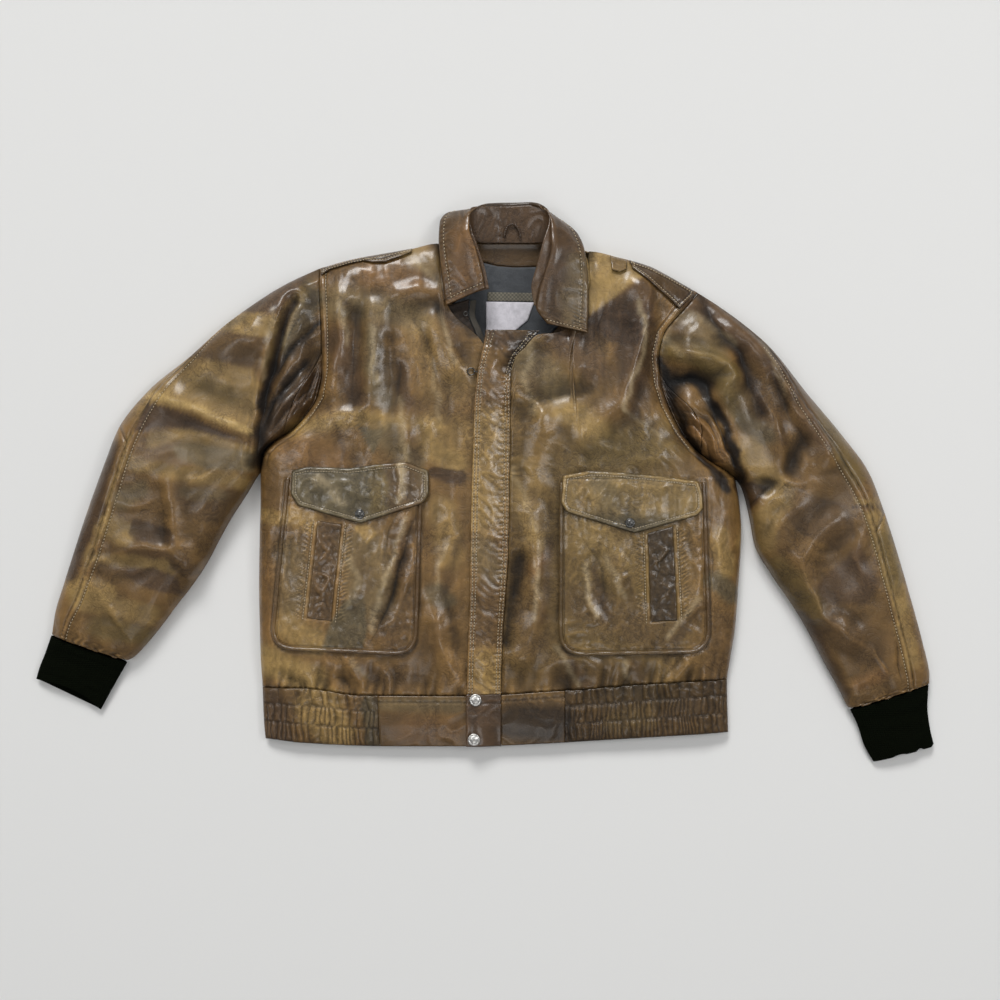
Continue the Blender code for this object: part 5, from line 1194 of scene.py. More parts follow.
FLAP_DYES_AND_PAINTED_SHADE = (
    # painted shadow under the collar at the flap's top, and painted shade in the slit beside it
    ColourStroke("dark", 22, 16, 0.7, 0.85, ((-20, 206), (30, 178))),
    ColourStroke("black", 8, 7, 0.9, 0.9, ((64, 192), (46, 176), (34, 156), (30, 138))),
    ColourStroke("umber", 20, 24, 0.7, 0.5, ((-10, 140), (10, 120))),
    ColourStroke("khaki", 24, 24, 0.6, 0.75, ((6, 70), (0, -40))),
    ColourStroke("grey", 18, 16, 0.6, 0.6, ((-4, -84), (6, -110))),
    ColourStroke("umber", 24, 24, 0.6, 0.6, ((0, -140), (0, -180))),
    ColourStroke("tan", 18, 16, 0.6, 0.85, ((0, -222), (4, -252))),
)
POCKET_FLAP_DYES_AND_PAINTED_HIGHLIGHTS = (
    ColourStroke("umber", 24, 24, 0.5, 0.8, ((-104, 24), (-96, -30))),
    ColourStroke("olive", 9, 9, 0.5, 0.7, ((-134, 24), (-132, -30))),
    ColourStroke("khaki", 30, 30, 0.5, 0.85, ((104, -6), (150, -10))),
    ColourStroke("khaki", 26, 30, 0.5, 0.85, ((200, -14), (256, -10))),
    ColourStroke("grey", 15, 12, 0.6, 0.7, ((140, 10), (158, -24))),
    ColourStroke("tan", 5, 5, 0.7, 0.7, ((120, 10), (122, -26))),
    # painted highlights on the right pocket's flap
    ColourStroke("sheen", 4.5, 4, 0.95, 0.5, ((-104, 22), (-102, -4), (-108, -22))),
    ColourStroke("sheen", 6, 5, 0.95, 0.3, ((-206, 6), (-186, -10), (-176, -24))),
)
COLLAR_DYES = (
    ColourStroke("orange", 20, 24, 0.7, 0.7, ((-24, 306), (-30, 240))),
    ColourStroke("umber", 12, 14, 0.6, 0.6, ((-54, 300), (-46, 235))),
    ColourStroke("dark", 10, 8, 0.5, 0.6, ((-16, 240), (2, 244))),
    ColourStroke("plum", 24, 28, 0.6, 0.85, ((92, 320), (88, 240))),
    ColourStroke("grey", 16, 18, 0.6, 0.6, ((118, 272), (110, 212))),
    ColourStroke("plum", 14, 14, 0.6, 0.6, ((0, 350), (76, 345))),
)


def dye_and_painted_light_colours(x: Array, y: Array, base: str = "base", share: float = 1.0,
                dyes: Sequence[ColourStroke] = DYES_AND_PAINTED_LIGHT) -> Array:
    """Colour of the leather at places in plan, with its painted highlights and painted shade.

    Args:
        x: places in plan.
        y: places in plan.
        base: name of the ground colour.
        share: how much of the strokes shows.
        dyes: the strokes of dye, of painted highlight and of painted shade.

    Returns:
        One linear colour a place.
    """
    colour = np.tile(PALETTE[base], (len(x), 1))
    drift = NOISE(x / 60 + 3, y / 60 + 8)[:, None]
    colour = colour * (1 + 0.26 * drift)
    warp_x = x + 7 * NOISE(x / 34, y / 22 + 77) + 2 * NOISE(x / 7, y / 5)
    warp_y = y + 5 * NOISE(x / 34 + 50, y / 24) + 2 * NOISE(x / 6 + 9, y / 6)
    # the strokes lay on dye patches and also painted highlights and painted shade
    for dye in dyes:
        stain = isinstance(dye, Stain)
        reach = (dye.soft if stain else max(dye.start, dye.stop) * (1 + dye.soft)) + 12
        at = near_route(x, y, dye.route, reach)
        if not len(at):
            continue
        if stain:
            inside = outline_distance(x[at] + 0.35 * (warp_x - x)[at],
                                      y[at] + 0.35 * (warp_y - y)[at], dye.route)
            cover = ease(inside / dye.soft + 0.5)
        else:
            near, along = route_distance(warp_x[at], warp_y[at], dye.route)
            wide = dye.start + (dye.stop - dye.start) * along / route_length(dye.route)
            cover = 1 - ease((near / wide - 1 + dye.soft) / (2 * dye.soft))
        cover = dye.strength * share * cover
        colour[at] += (PALETTE[dye.colour] - colour[at]) * cover[:, None]
    blotch = NOISE(x / 22 + 19, y / 13 + 4) + 0.6 * NOISE(x / 8, y / 7) + \
        0.5 * NOISE(x / 3.4, y / 3.1)
    return np.clip(WARMTH * colour * (1 + 0.2 * blotch[:, None]), 0.004, 0.8)


# ------------------------------------------------------------------ finishes
class Nodes:
    """Short names for building a material's nodes."""

    def __init__(self, name: str) -> None:
        """Start a material with a Principled shader."""
        self.material = bpy.data.materials.new(name)
        self.material.use_nodes = True
        self.tree = self.material.node_tree
        self.shader = self.tree.nodes["Principled BSDF"]
        self.object = self.add("ShaderNodeTexCoord").outputs["Object"]

    def add(self, kind: str, **values: object) -> bpy.types.Node:
        """Add a node and set its properties."""
        node = self.tree.nodes.new(kind)
        for key, value in values.items():
            setattr(node, key, value)
        return node

    def feed(self, node: bpy.types.Node, **inputs: object) -> bpy.types.Node:
        """Set or link a node's inputs; an underscore in a name is a space."""
        for key, value in inputs.items():
            socket = node.inputs[int(key[1:])] if key[1:].isdigit() else \
                node.inputs[key.replace("_", " ")]
            if isinstance(value, bpy.types.NodeSocket):
                self.tree.links.new(value, socket)
            else:
                socket.default_value = value
        return node

    def noise(self, scale: float, detail: float = 3, rough: float = 0.55,
              distort: float = 0.0, vector: Optional[bpy.types.NodeSocket] = None
              ) -> bpy.types.NodeSocket:
        """Noise value on object coordinates; scale is in cells a metre."""
        node = self.feed(self.add("ShaderNodeTexNoise"), Vector=vector or self.object,
                         Scale=scale, Detail=detail, Roughness=rough, Distortion=distort)
        return node.outputs[0]

    def ramp(self, value: bpy.types.NodeSocket, low: float, high: float, start: float = 0.0,
             stop: float = 1.0) -> bpy.types.NodeSocket:
        """Value mapped from low..high to start..stop, held at both ends."""
        node = self.feed(self.add("ShaderNodeMapRange"), Value=value, From_Min=low,
                         From_Max=high, To_Min=start, To_Max=stop)
        return node.outputs[0]

    def math(self, operation: str, a: object, b: object = 0.0) -> bpy.types.NodeSocket:
        """Result of a calculation."""
        return self.feed(self.add("ShaderNodeMath", operation=operation), _0=a, _1=b).outputs[0]

    def tint(self, factor: object, a: object, b: object, blend: str = "MIX"
             ) -> bpy.types.NodeSocket:
        """Mix of two colours."""
        node = self.add("ShaderNodeMix", data_type="RGBA", blend_type=blend)
        self.feed(node, _0=factor, _6=a, _7=b)
        return node.outputs[2]

    def bump(self, height: bpy.types.NodeSocket, distance: float, strength: float = 1.0,
             normal: Optional[bpy.types.NodeSocket] = None) -> bpy.types.NodeSocket:
        """Normal bumped by a height; distance is in metres."""
        node = self.feed(self.add("ShaderNodeBump"), Height=height, Distance=distance,
                         Strength=strength)
        if normal:
            self.feed(node, Normal=normal)
        return node.outputs[0]


@dataclass(frozen=True)
class Leather:
    """Waxed leather, coloured by its surface's own dye attribute, with painted light and shade in
    it.

    Attributes:
        slot: the record's slot.
        roughness: of the waxed face.
        crackle: depth of its fine cracked creases, in millimetres.
    """

    slot: str
    roughness: float = 0.42
    crackle: float = 0.5

    def material(self) -> bpy.types.Material:
        """Build the material."""
        made = Nodes(self.slot)
        # the dye attribute holds the dye colour with painted highlights and painted shade
        # multiplied in, and the wax in its alpha
        painted = made.add("ShaderNodeAttribute", attribute_name="dye")
        dye, wax = painted.outputs["Color"], painted.outputs["Alpha"]
        speck = made.noise(520, 4, 0.6)
        rub = made.noise(80, 4, 0.6, 0.5)
        patchy = made.ramp(made.noise(17, 3, 0.5, 0.3), 0.40, 0.60)
        pores = made.feed(made.add("ShaderNodeTexVoronoi", feature="DISTANCE_TO_EDGE"),
                          Vector=made.object, Scale=520, Randomness=1.0).outputs["Distance"]
        creased = [made.ramp(made.math("ABSOLUTE", made.math("SUBTRACT", made.noise(
            scale, 3, 0.5, 1.4), 0.5)), 0.0, width) for scale, width in ((110, 0.08), (48, 0.06))]
        colour = made.tint(made.ramp(rub, 0.45, 0.72, 0.0, 0.38), dye,
                           made.tint(1.0, dye, (1.45, 1.42, 1.38, 1), "MULTIPLY"))
        colour = made.tint(made.ramp(speck, 0.54, 0.72, 0.0, 0.3), colour,
                           made.tint(1.0, dye, (0.45, 0.42, 0.40, 1), "MULTIPLY"))
        for crease in creased:
            cover = made.math("MULTIPLY", made.ramp(crease, 0.0, 0.7, 0.5, 0.0), patchy)
            colour = made.tint(cover, colour,
                               made.tint(1.0, dye, (0.34, 0.30, 0.27, 1), "MULTIPLY"))
        rough = made.ramp(made.math("ADD", rub, made.math("MULTIPLY", patchy, 0.25)),
                          0.4, 0.9, self.roughness - 0.06, self.roughness + 0.16)
        rough = made.math("ADD", rough, made.ramp(wax, 0.0, 1.0, 0.3, 0.0))
        normal = made.bump(pores, 0.00012, 0.5)
        normal = made.bump(made.math("MULTIPLY", creased[0], patchy), self.crackle * MM, 0.45,
                           normal)
        normal = made.bump(creased[1], 0.5 * MM, 0.4, normal)
        normal = made.bump(made.noise(150, 3, 0.55, 0.8), 0.0008, 0.35, normal)
        normal = made.bump(made.noise(44, 3, 0.5, 0.8), 0.0016, 0.6, normal)
        made.feed(made.shader, Base_Color=colour, Roughness=rough, Normal=normal,
                  Specular_IOR_Level=0.35, Coat_Roughness=0.22,
                  Coat_Weight=made.ramp(wax, 0.3, 1.2, 0.05, 0.9))
        return made.material


@dataclass(frozen=True)
class Knit:
    """Matt ribbed wool of the cuffs; the ribs are modelled and the stitches bumped.

    Attributes:
        slot: the record's slot.
        colour: its linear colour.
    """

    slot: str
    colour: tuple[float, float, float]

    def material(self) -> bpy.types.Material:
        """Build the material."""
        made = Nodes(self.slot)
        weave = made.feed(made.add("ShaderNodeTexWave", wave_type="BANDS", bands_direction="Y"),
                          Vector=made.object, Scale=130, Distortion=1.5).outputs[1]
        fuzz = made.noise(1400, 4, 0.7)
        colour = made.tint(made.ramp(fuzz, 0.35, 0.7), (*[0.5 * c for c in self.colour], 1),
                           (*[1.9 * c for c in self.colour], 1))
        normal = made.bump(weave, 0.0005, 0.6)
        normal = made.bump(fuzz, 0.0006, 0.7, normal)
        made.feed(made.shader, Base_Color=colour, Normal=normal, Roughness=0.95,
                  Specular_IOR_Level=0.04)
        return made.material


@dataclass(frozen=True)
class Cloth:
    """Plain woven cloth: lining, label and tapes.

    Attributes:
        slot: the record's slot, or a name of its own.
        colour: its linear colour.
        threads: scale of the weave.
        gloss: roughness of its face.
        stripe: colour of a checked stripe, if it has one.
    """

    slot: str
    colour: tuple[float, float, float]
    threads: float = 560.0
    gloss: float = 0.7
    stripe: Optional[tuple[float, float, float]] = None

    def material(self) -> bpy.types.Material:
        """Build the material."""
        made = Nodes(self.slot)
        waves = [made.feed(made.add("ShaderNodeTexWave", wave_type="BANDS",
                                    bands_direction=axis), Vector=made.object,
                           Scale=self.threads, Distortion=0.4).outputs[1]
                 for axis in ("X", "Y")]
        weave = made.math("MULTIPLY", *waves)
        wear = made.noise(120, 4, 0.6)
        colour = made.tint(made.ramp(wear, 0.35, 0.7), (*self.colour, 1),
                           (*[0.72 * c for c in self.colour], 1))
        colour = made.tint(made.ramp(weave, 0.0, 1.0, 0.25, 0.0), colour,
                           (*[0.5 * c for c in self.colour], 1))
        if self.stripe:
            check = made.feed(made.add("ShaderNodeTexChecker"), Vector=made.object, Scale=420)
            colour = made.tint(made.math("MULTIPLY", check.outputs["Fac"], 0.75), colour,
                               (*self.stripe, 1))
        normal = made.bump(weave, 0.0002, 0.5)
        normal = made.bump(made.noise(60, 3, 0.5), 0.003, 0.4, normal)
        made.feed(made.shader, Base_Color=colour, Normal=normal, Roughness=self.gloss)
        return made.material


@dataclass(frozen=True)
class Nickel:
    """Polished nickel with fine scratches.

    Attributes:
        slot: the record's slot, or a name of its own.
        tone: darkens it.
    """

    slot: str
    tone: float = 1.0

    def material(self) -> bpy.types.Material:
        """Build the material."""
        made = Nodes(self.slot)
        scratch = made.noise(700, 5, 0.7, 2.0)
        stain = made.noise(300, 3, 0.6)
        colour = made.tint(made.ramp(stain, 0.45, 0.7),
                           (*[self.tone * c for c in (0.80, 0.79, 0.76)], 1),
                           (*[self.tone * c for c in (0.6, 0.57, 0.52)], 1))
        made.feed(made.shader, Base_Color=colour,
                  Roughness=made.ramp(scratch, 0.3, 0.7, 0.28, 0.45),
                  Normal=made.bump(scratch, 0.0001, 0.3), Metallic=1.0)
        return made.material


FINISHES = {kind.slot: kind for kind in (
    Leather("worn_leather"),
    Leather("dark_leather", crackle=0.7),
    Leather("collar_leather", crackle=0.7),
    Knit("rib_knit", (0.0021, 0.0030, 0.0012)),
    Cloth("lining_cloth", (0.050, 0.056, 0.064), gloss=0.5),
    Cloth("label_cloth", (0.78, 0.75, 0.80), gloss=0.45),
    Cloth("woven_tape", (0.20, 0.18, 0.13), stripe=(0.06, 0.055, 0.045)),
    Nickel("nickel"),
    Nickel("dark_nickel", 0.16),
    # a tape's colour darkened into painted shade
    Cloth("dark_tape", (0.05, 0.042, 0.03)),
    Cloth("thread", (0.62, 0.50, 0.32), gloss=0.5),
)}
MADE: dict[str, bpy.types.Material] = {}


def finish(look: str) -> bpy.types.Material:
    """The material of a finish, made once."""
    if look not in MADE:
        MADE[look] = FINISHES[look].material()
    return MADE[look]


def refinish(node: str, look: str) -> None:
    """Give a solid that is kept another finish."""
    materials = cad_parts[node].data.materials
    materials.clear()
    materials.append(finish(look))


# ------------------------------------------------------------------ making pieces
def filled(mesh: bmesh.types.BMesh, name: str) -> bpy.types.Mesh:
    """Store a working mesh under a name, and free it."""
    data = bpy.data.meshes.new(name)
    mesh.to_mesh(data)
    mesh.free()
    return data


def placed(name: str, data: bpy.types.ID) -> bpy.types.Object:
    """Put data in the scene as an object."""
    made = bpy.data.objects.new(name, data)
    bpy.context.scene.collection.objects.link(made)
    return made


def add_piece(name: str, data: bpy.types.Mesh, slot: str, nodes: Sequence[str],
              look: str = "") -> bpy.types.Object:
    """Put a mesh in the scene as a piece of the jacket.

    Args:
        name: the piece's name.
        data: its mesh, in metres.
        slot: the material slot it is finished in.
        nodes: the solids it stands for.
        look: its finish, where that is not the slot's own.

    Returns:
        The new object.
    """
    piece = placed(name, data)
    data.materials.append(finish(look or slot))
    data.shade_smooth()
    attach(piece, "jacket")
    if nodes:
        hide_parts(*nodes)
    LOG.info("%s: %d faces", name, len(data.polygons))
    return piece


def set_dye_and_painted_light(data: bpy.types.Mesh, colours: Array, wax: Optional[Array] = None) -> None:
    """Store a colour, with painted light and shade in it, and an amount of wax a vertex, which the
    leather's material reads.
    """
    attribute = data.attributes.new("dye", "FLOAT_COLOR", "POINT")
    full = np.column_stack((colours, np.ones(len(colours)) if wax is None else wax))
    attribute.data.foreach_set("color", full.astype(np.float32).ravel())


def add_wall(piece: bpy.types.Object, wall: float) -> None:
    """Give a face its thickness, towards its inner side."""
    step = piece.modifiers.new("Wall", "SOLIDIFY")
    step.thickness = wall * MM
    step.offset = -1
    step.use_rim = True


@dataclass
class Sheet:
    """A cut piece of leather or cloth: a face over two directions, given a wall.

    Attributes:
        name: the piece's name; it stands for the solid of the same name.
        across: places in the first direction.
        along: places in the second direction.
        place: points for arrays of both places, in millimetres.
        cut: width and length it was cut to, in millimetres; not used.
        slot: the finish.
        base: ground colour of the leather.
        wall: thickness.
        up: whether its outer face looks up.
        tube: whether the first direction closes on itself.
        shade: darkens or lightens its dye.
        dyed: whether it is leather with a dye of its own.
        share: how much of the strokes of dye and painted light shows on it.
        dyes: the strokes of dye, of painted highlight and of painted shade.
        gloss: amount of wax on it.
        look: its finish, where that is not the slot's own.
    """

    name: str
    across: Array
    along: Array
    place: Callable[[Array, Array], Array]
    cut: tuple[float, float]
    slot: str = "worn_leather"
    base: str = "base"
    wall: float = WALL
    up: bool = True
    tube: bool = False
    shade: float = 1.0
    dyed: bool = True
    share: float = 1.0
    dyes: Sequence[ColourStroke] = DYES_AND_PAINTED_LIGHT
    gloss: float = 0.8
    look: str = ""

    def hollow(self, i: Array, j: Array, heights: Array) -> Array:
        """How far each point lies above, or below 0 under, the ground round it."""
        grid = np.zeros((len(self.across), len(self.along)))
        grid[i, j] = heights
        ground = grid
        span = 2 * HOLLOW_REACH + 1
        for axis in (0, 1):
            wide = [(HOLLOW_REACH, HOLLOW_REACH) if k == axis else (0, 0) for k in (0, 1)]
            sums = np.cumsum(np.pad(ground, wide, mode="edge"), axis=axis)
            sums = np.insert(sums, 0, 0, axis=axis)
            ground = (np.take(sums, range(span, sums.shape[axis]), axis=axis) -
                      np.take(sums, range(0, sums.shape[axis] - span), axis=axis)) / span
        return (grid - ground)[i, j] * (1 if self.up else 0)

    def build(self) -> bpy.types.Object:
        """Make the piece."""
        mesh = bmesh.new()
        columns, rows = np.asarray(self.across, float), np.asarray(self.along, float)
        bmesh.ops.create_grid(mesh, x_segments=len(columns) - 1, y_segments=len(rows) - 1,
                              size=0.5)
        data = filled(mesh, self.name + "_face")
        flat = read_points(data)
        i, j = (np.rint((flat[:, k] + 0.5) * (len(places) - 1)).astype(int)
                for k, places in enumerate((columns, rows)))
        points = self.place(columns[i], rows[j])
        data.vertices.foreach_set("co", (points * MM).ravel())
        hollow = self.hollow(i, j, points[:, 2])
        if self.tube:
            weld(data)
            points = read_points(data) / MM
        turn_out(data, self.up, self.tube)
        if self.dyed:
            colours = dye_and_painted_light_colours(points[:, 0], points[:, 1], self.base, self.share, self.dyes)
            # the hollows are darkened as painted shade and raised places lightened as painted
            # light
            tone = painted_hollow_shade(hollow, 0.2, 1.7, 0.10)[:, None]
            set_dye_and_painted_light(data, colours * self.shade * tone * wear_and_painted_shade(data),
                    self.gloss * wax_left(hollow))
        piece = add_piece(self.name + "_skin", data, self.slot, [self.name], self.look)
        add_wall(piece, self.wall)
        return piece


def painted_hollow_shade(raised: Array, deep: float, past: float, least: float) -> Array:
    """Painted shade in hollows and painted light on what is raised.

    Args:
        raised: how far each point lies above its surroundings, in millimetres.
        deep: further painted shade in the deepest hollows.
        past: depth at which that begins.
        least: the darkest tone.

    Returns:
        A factor a point.
    """
    return np.clip(np.exp(0.2 * raised + deep * np.minimum(raised + past, 0)), least, 1.2)


def wax_left(raised: Array) -> Array:
    """Wax on raised leather, worn out of the hollows."""
    return np.clip(1 + 0.3 * raised, 0, 1.2)


def read_points(data: bpy.types.Mesh) -> Array:
    """A mesh's points."""
    flat = np.empty(len(data.vertices) * 3)
    data.vertices.foreach_get("co", flat)
    return flat.reshape(-1, 3)


def weld(data: bpy.types.Mesh) -> None:
    """Close the seam of a tube."""
    mesh = bmesh.new()
    mesh.from_mesh(data)
    bmesh.ops.remove_doubles(mesh, verts=mesh.verts[:], dist=1e-6)
    mesh.to_mesh(data)
    mesh.free()


def turn_out(data: bpy.types.Mesh, up: bool, tube: bool = False) -> None:
    """Make the faces look up or down, or out of a tube."""
    data.update()
    normals = np.empty(len(data.polygons) * 3)
    data.polygons.foreach_get("normal", normals)
    normals = normals.reshape(-1, 3)
    if tube:
        centres = np.empty(len(data.polygons) * 3)
        data.polygons.foreach_get("center", centres)
        heights = centres.reshape(-1, 3)[:, 2]
        facing = np.sum(normals[:, 2] * (heights - np.median(heights)))
    else:
        facing = np.sum(normals[:, 2]) * (1 if up else -1)
    if facing < 0:
        data.flip_normals()


def wear_and_painted_shade(data: bpy.types.Mesh) -> Array:
    """Lighter on crests and darker in troughs, partly wear and dirt and partly painted highlight
    and painted shade: a factor a vertex.
    """
    mesh = bmesh.new()
    mesh.from_mesh(data)
    mesh.normal_update()
    curve = np.zeros(len(mesh.verts))
    for i, vert in enumerate(mesh.verts):
        total = 0.0
        for edge in vert.link_edges:
            run = edge.other_vert(vert).co - vert.co
            total -= vert.normal.dot(run) / max(run.length_squared, 1e-9)
        curve[i] = total / max(len(vert.link_edges), 1)
    mesh.free()
    return 1 + 0.42 * np.tanh(curve / 70)[:, None]


@dataclass
class Patch:
    """A piece cut to an outline and laid on a surface.

    Attributes:
        name: the piece's name; it stands for the solid of the same name.
        outline: its outline in plan.
        surface: height of what it lies on, at places in plan.
        lift: how far its outer face stands off that surface.
        slot: the finish.
        base: ground colour of the leather.
        cell: size of its faces.
        edge: width over which its edge rounds down.
        drop: how far the edge rounds down.
        wall: thickness.
        shade: darkens or lightens its dye.
        dyed: whether it is leather with a dye of its own.
        share: how much of the strokes of dye and painted light shows on it.
        dyes: the strokes of dye, of painted highlight and of painted shade.
        gloss: amount of wax on it.
        relief: extra height for places in plan and their distance to the outline.
    """

    name: str
    outline: Route
    surface: Callable[[Array, Array], Array]
    lift: float
    slot: str = "worn_leather"
    base: str = "base"
    cell: float = 1.8
    edge: float = 2.2
    drop: float = 0.8
    wall: float = WALL
    shade: float = 1.0
    dyed: bool = True
    share: float = 1.0
    dyes: Sequence[ColourStroke] = DYES_AND_PAINTED_LIGHT
    gloss: float = 0.9
    relief: Optional[Callable[[Array, Array, Array], Array]] = None

    def build(self) -> bpy.types.Object:
        """Make the piece."""
        outline = sampled(list(self.outline) + [self.outline[0]], self.cell)[:-1]
        low, high = outline.min(0), outline.max(0)
        count = np.maximum(np.ceil((high - low) / self.cell).astype(int), 2)
        mesh = bmesh.new()
        bmesh.ops.create_grid(mesh, x_segments=int(count[0]), y_segments=int(count[1]),
                              size=0.5)
        for vert in mesh.verts:
            vert.co.x = low[0] + (vert.co.x + 0.5) * (high[0] - low[0])
            vert.co.y = low[1] + (vert.co.y + 0.5) * (high[1] - low[1])
        centres = np.array([face.calc_center_median()[:2] for face in mesh.faces])
        inside = outline_distance(centres[:, 0], centres[:, 1], self.outline) > 0
        spare = [face for face, kept in zip(mesh.faces, inside) if not kept]
        bmesh.ops.delete(mesh, geom=spare, context="FACES")
        rim = [vert for vert in mesh.verts if vert.is_boundary]
        for vert in rim:
            near = outline[np.argmin(np.hypot(*(outline - np.array(vert.co[:2])).T))]
            vert.co.x, vert.co.y = near
        bmesh.ops.remove_doubles(mesh, verts=rim, dist=0.2)
        bmesh.ops.triangulate(mesh, faces=[f for f in mesh.faces if f.calc_area() < 0.3])
        data = filled(mesh, self.name + "_face")
        flat = read_points(data)
        x, y = flat[:, 0], flat[:, 1]
        inner = np.abs(outline_distance(x, y, self.outline))
        z = self.surface(x, y) + self.lift - self.drop * (1 - swell(inner, self.edge))
        raised = self.relief(x, y, inner) if self.relief else np.zeros(len(x))
        z += raised
        data.vertices.foreach_set("co", (np.column_stack((x, y, z)) * MM).ravel())
        turn_out(data, True)
        if self.dyed:
            colours = dye_and_painted_light_colours(x, y, self.base, self.share, self.dyes)
            raised = raised + crease_height(POCKET_CREASES, x, y)
            # painted shade in hollows and creases and painted light on raised places; darker
            # within 1.4 mm of the edge
            tone = painted_hollow_shade(raised, 0.25, 1.2, 0.15) * (1 - 0.35 * ridge(inner, 1.4))
            set_dye_and_painted_light(data, colours * (self.shade * tone[:, None]) * wear_and_painted_shade(data),
                    self.gloss * wax_left(raised))
        piece = add_piece(self.name + "_skin", data, self.slot, [self.name])
        add_wall(piece, self.wall)
        tuple(cut_size(outline))
        return piece


def cut_size(outline: Array) -> Array:
    """Length and width of the smallest upright or turned box round an outline."""
    best = None
    for angle in np.radians(np.arange(0, 90, 3)):
        turn = np.array(((np.cos(angle), -np.sin(angle)), (np.sin(angle), np.cos(angle))))
        size = np.ptp(outline @ turn, axis=0) * 1.01
        if best is None or size.prod() < best.prod():
            best = size
    return best


def strip_place(rows: Sequence[StripRow], arch: Callable[[Array, Array], Array]
                ) -> Callable[[Array, Array], Array]:
    """Points of a curved strip between its two edges, with an arch over its width."""
    stations = list(range(len(rows)))
    tables = {name: Table(stations, column(rows, name)) for name in rows[0]._fields}

    def place(share: Array, station: Array) -> Array:
        """Points for shares across and stations along the strip."""
        at = {name: table(station) for name, table in tables.items()}
        start = np.column_stack((at["ax"], at["ay"], at["az"]))
        end = np.column_stack((at["bx"], at["by"], at["bz"]))
        points = start + (end - start) * share[:, None]
        points[:, 2] += arch(share, station)
        return points

    return place


# ------------------------------------------------------------------ the body
def back_columns(count: int) -> Array:
    """Places over the back's two halves, closest together at the sides."""
    places = np.concatenate(([0, 0.008, 0.03], np.linspace(0.06, 1, count)))
    return np.append(places, 2 - places[-2::-1])


@dataclass
class Body:
    """The two fronts and the back."""

    def build(self) -> None:
        """Make every panel of the body."""
        rows = np.concatenate((np.linspace(0.001, 1, 88)[:-1],
                               1 + arc_share(np.linspace(0, 1, 92))))
        for side, half in HALVES.items():
            columns = half.neck_front * (1 - np.cos(np.pi / 2 * np.linspace(0, 1, 112)))
            columns = np.append(columns, np.linspace(half.neck_front, 1, 27)[1:])
            Sheet("front_" + side.value, columns, rows, half.front, (320, 600)).build()
        Sheet("back", back_columns(36), np.append(rows[::3], 2.0), back_place, (640, 600),
              up=False).build()


@dataclass
class BandHalf:
    """One half of the waistband: its plain tab and its gathered side.

    Attributes:
        side: the wearer's side.
        lines: levels of the rows of stitches that hold the gathers.
    """

    side: Side
    lines: tuple[float, float] = (-0.30, -0.64)

    def __post_init__(self) -> None:
        """Read the half's form and choose its gathers."""
        self.half = HALVES[self.side]
        self.right = self.side is Side.RIGHT
        self.pitch = 8.0 if self.right else 6.4

    def gathered(self, share: Array, level: Array) -> Array:
        """Points of the gathered side, in three tiers between its stitched lines."""
        x, y = self.half.plan(share, level)
        drift = 5 * NOISE(x / 21 + 4, 1.3 * level) + 2.2 * NOISE(x / 8 + 60, 5 * level)
        tiers = [pleats(x + drift + lean * BAND_TALL * level, width, seed)
                 for lean, width, seed in ((0.12, 1.7 * self.pitch, 90), (-0.05, self.pitch, 95),
                                           (0.06, 0.9 * self.pitch, 98))]
        tier = sum((level < line).astype(int) for line in self.lines)
        held = sum(ridge(level - line, 0.035) for line in (0.0, *self.lines, -0.99))
        broad = gathers(x + 10 * level, 25, 95 + self.half.sign)
        fade = swell(np.abs(x - self.half.edge_x(y)), 18)
        depth = 1.15 + 0.9 * NOISE(x / 17 + 7, y / 12)
        z = self.half.form(x, y, share)
        z += (depth * np.choose(tier, tiers) + 1.1 * broad) * (1 - 0.6 * held) * fade
        z += 1.0 * (crumple(x, y, 16) - 0.5) - 0.9 * held
        return np.column_stack((x, y, z))

    def plain(self, share: Array, level: Array) -> Array:
        """Points of the plain tab, with the seam along its top."""
        x, y = self.half.plan(share, level)
        z = self.half.form(x, y, share) + 1.1 * (crumple(x, y, 26) - 0.5)
        z += 0.5 * gathers(x, 10, 99) * np.exp(-np.abs(level + 0.1) / 0.1)
        z -= 0.7 * ridge(level + 0.12, 0.03)
        return np.column_stack((x, y, z))

    def build(self, levels: Array) -> None:
        """Make the two pieces."""
        name, tab = self.side.value, BAND_TAB_ENDS[self.side]
        edge, centre = (float(line(BAND_MIDDLE_Y)) for line in (self.half.edge_x,
                                                               self.half.centre_x))
        split = (tab - edge) / (centre - edge)
        gap = SEAM_GAP / abs(centre - edge)
        Sheet("waistband_gathered_" + name, np.linspace(0, split - gap, 190), levels,
              self.gathered, (1.25 * abs(tab - edge), BAND_TALL), gloss=0.7,
              shade=0.62 if self.right else 0.36).build()
        Sheet("waistband_tab_" + name, np.linspace(split, 1, 48), levels, self.plain,
              (abs(centre - tab) + 6, BAND_TALL), shade=0.8, gloss=0.75).build()


def make_waistband() -> None:
    """Make the waistband all round."""
    levels = -1 + np.linspace(0, 0.995, 46)
    for side in Side:
        BandHalf(side).build(levels)
    Sheet("waistband_back", back_columns(40), levels[::3], back_place, (640, BAND_TALL),
          up=False).build()


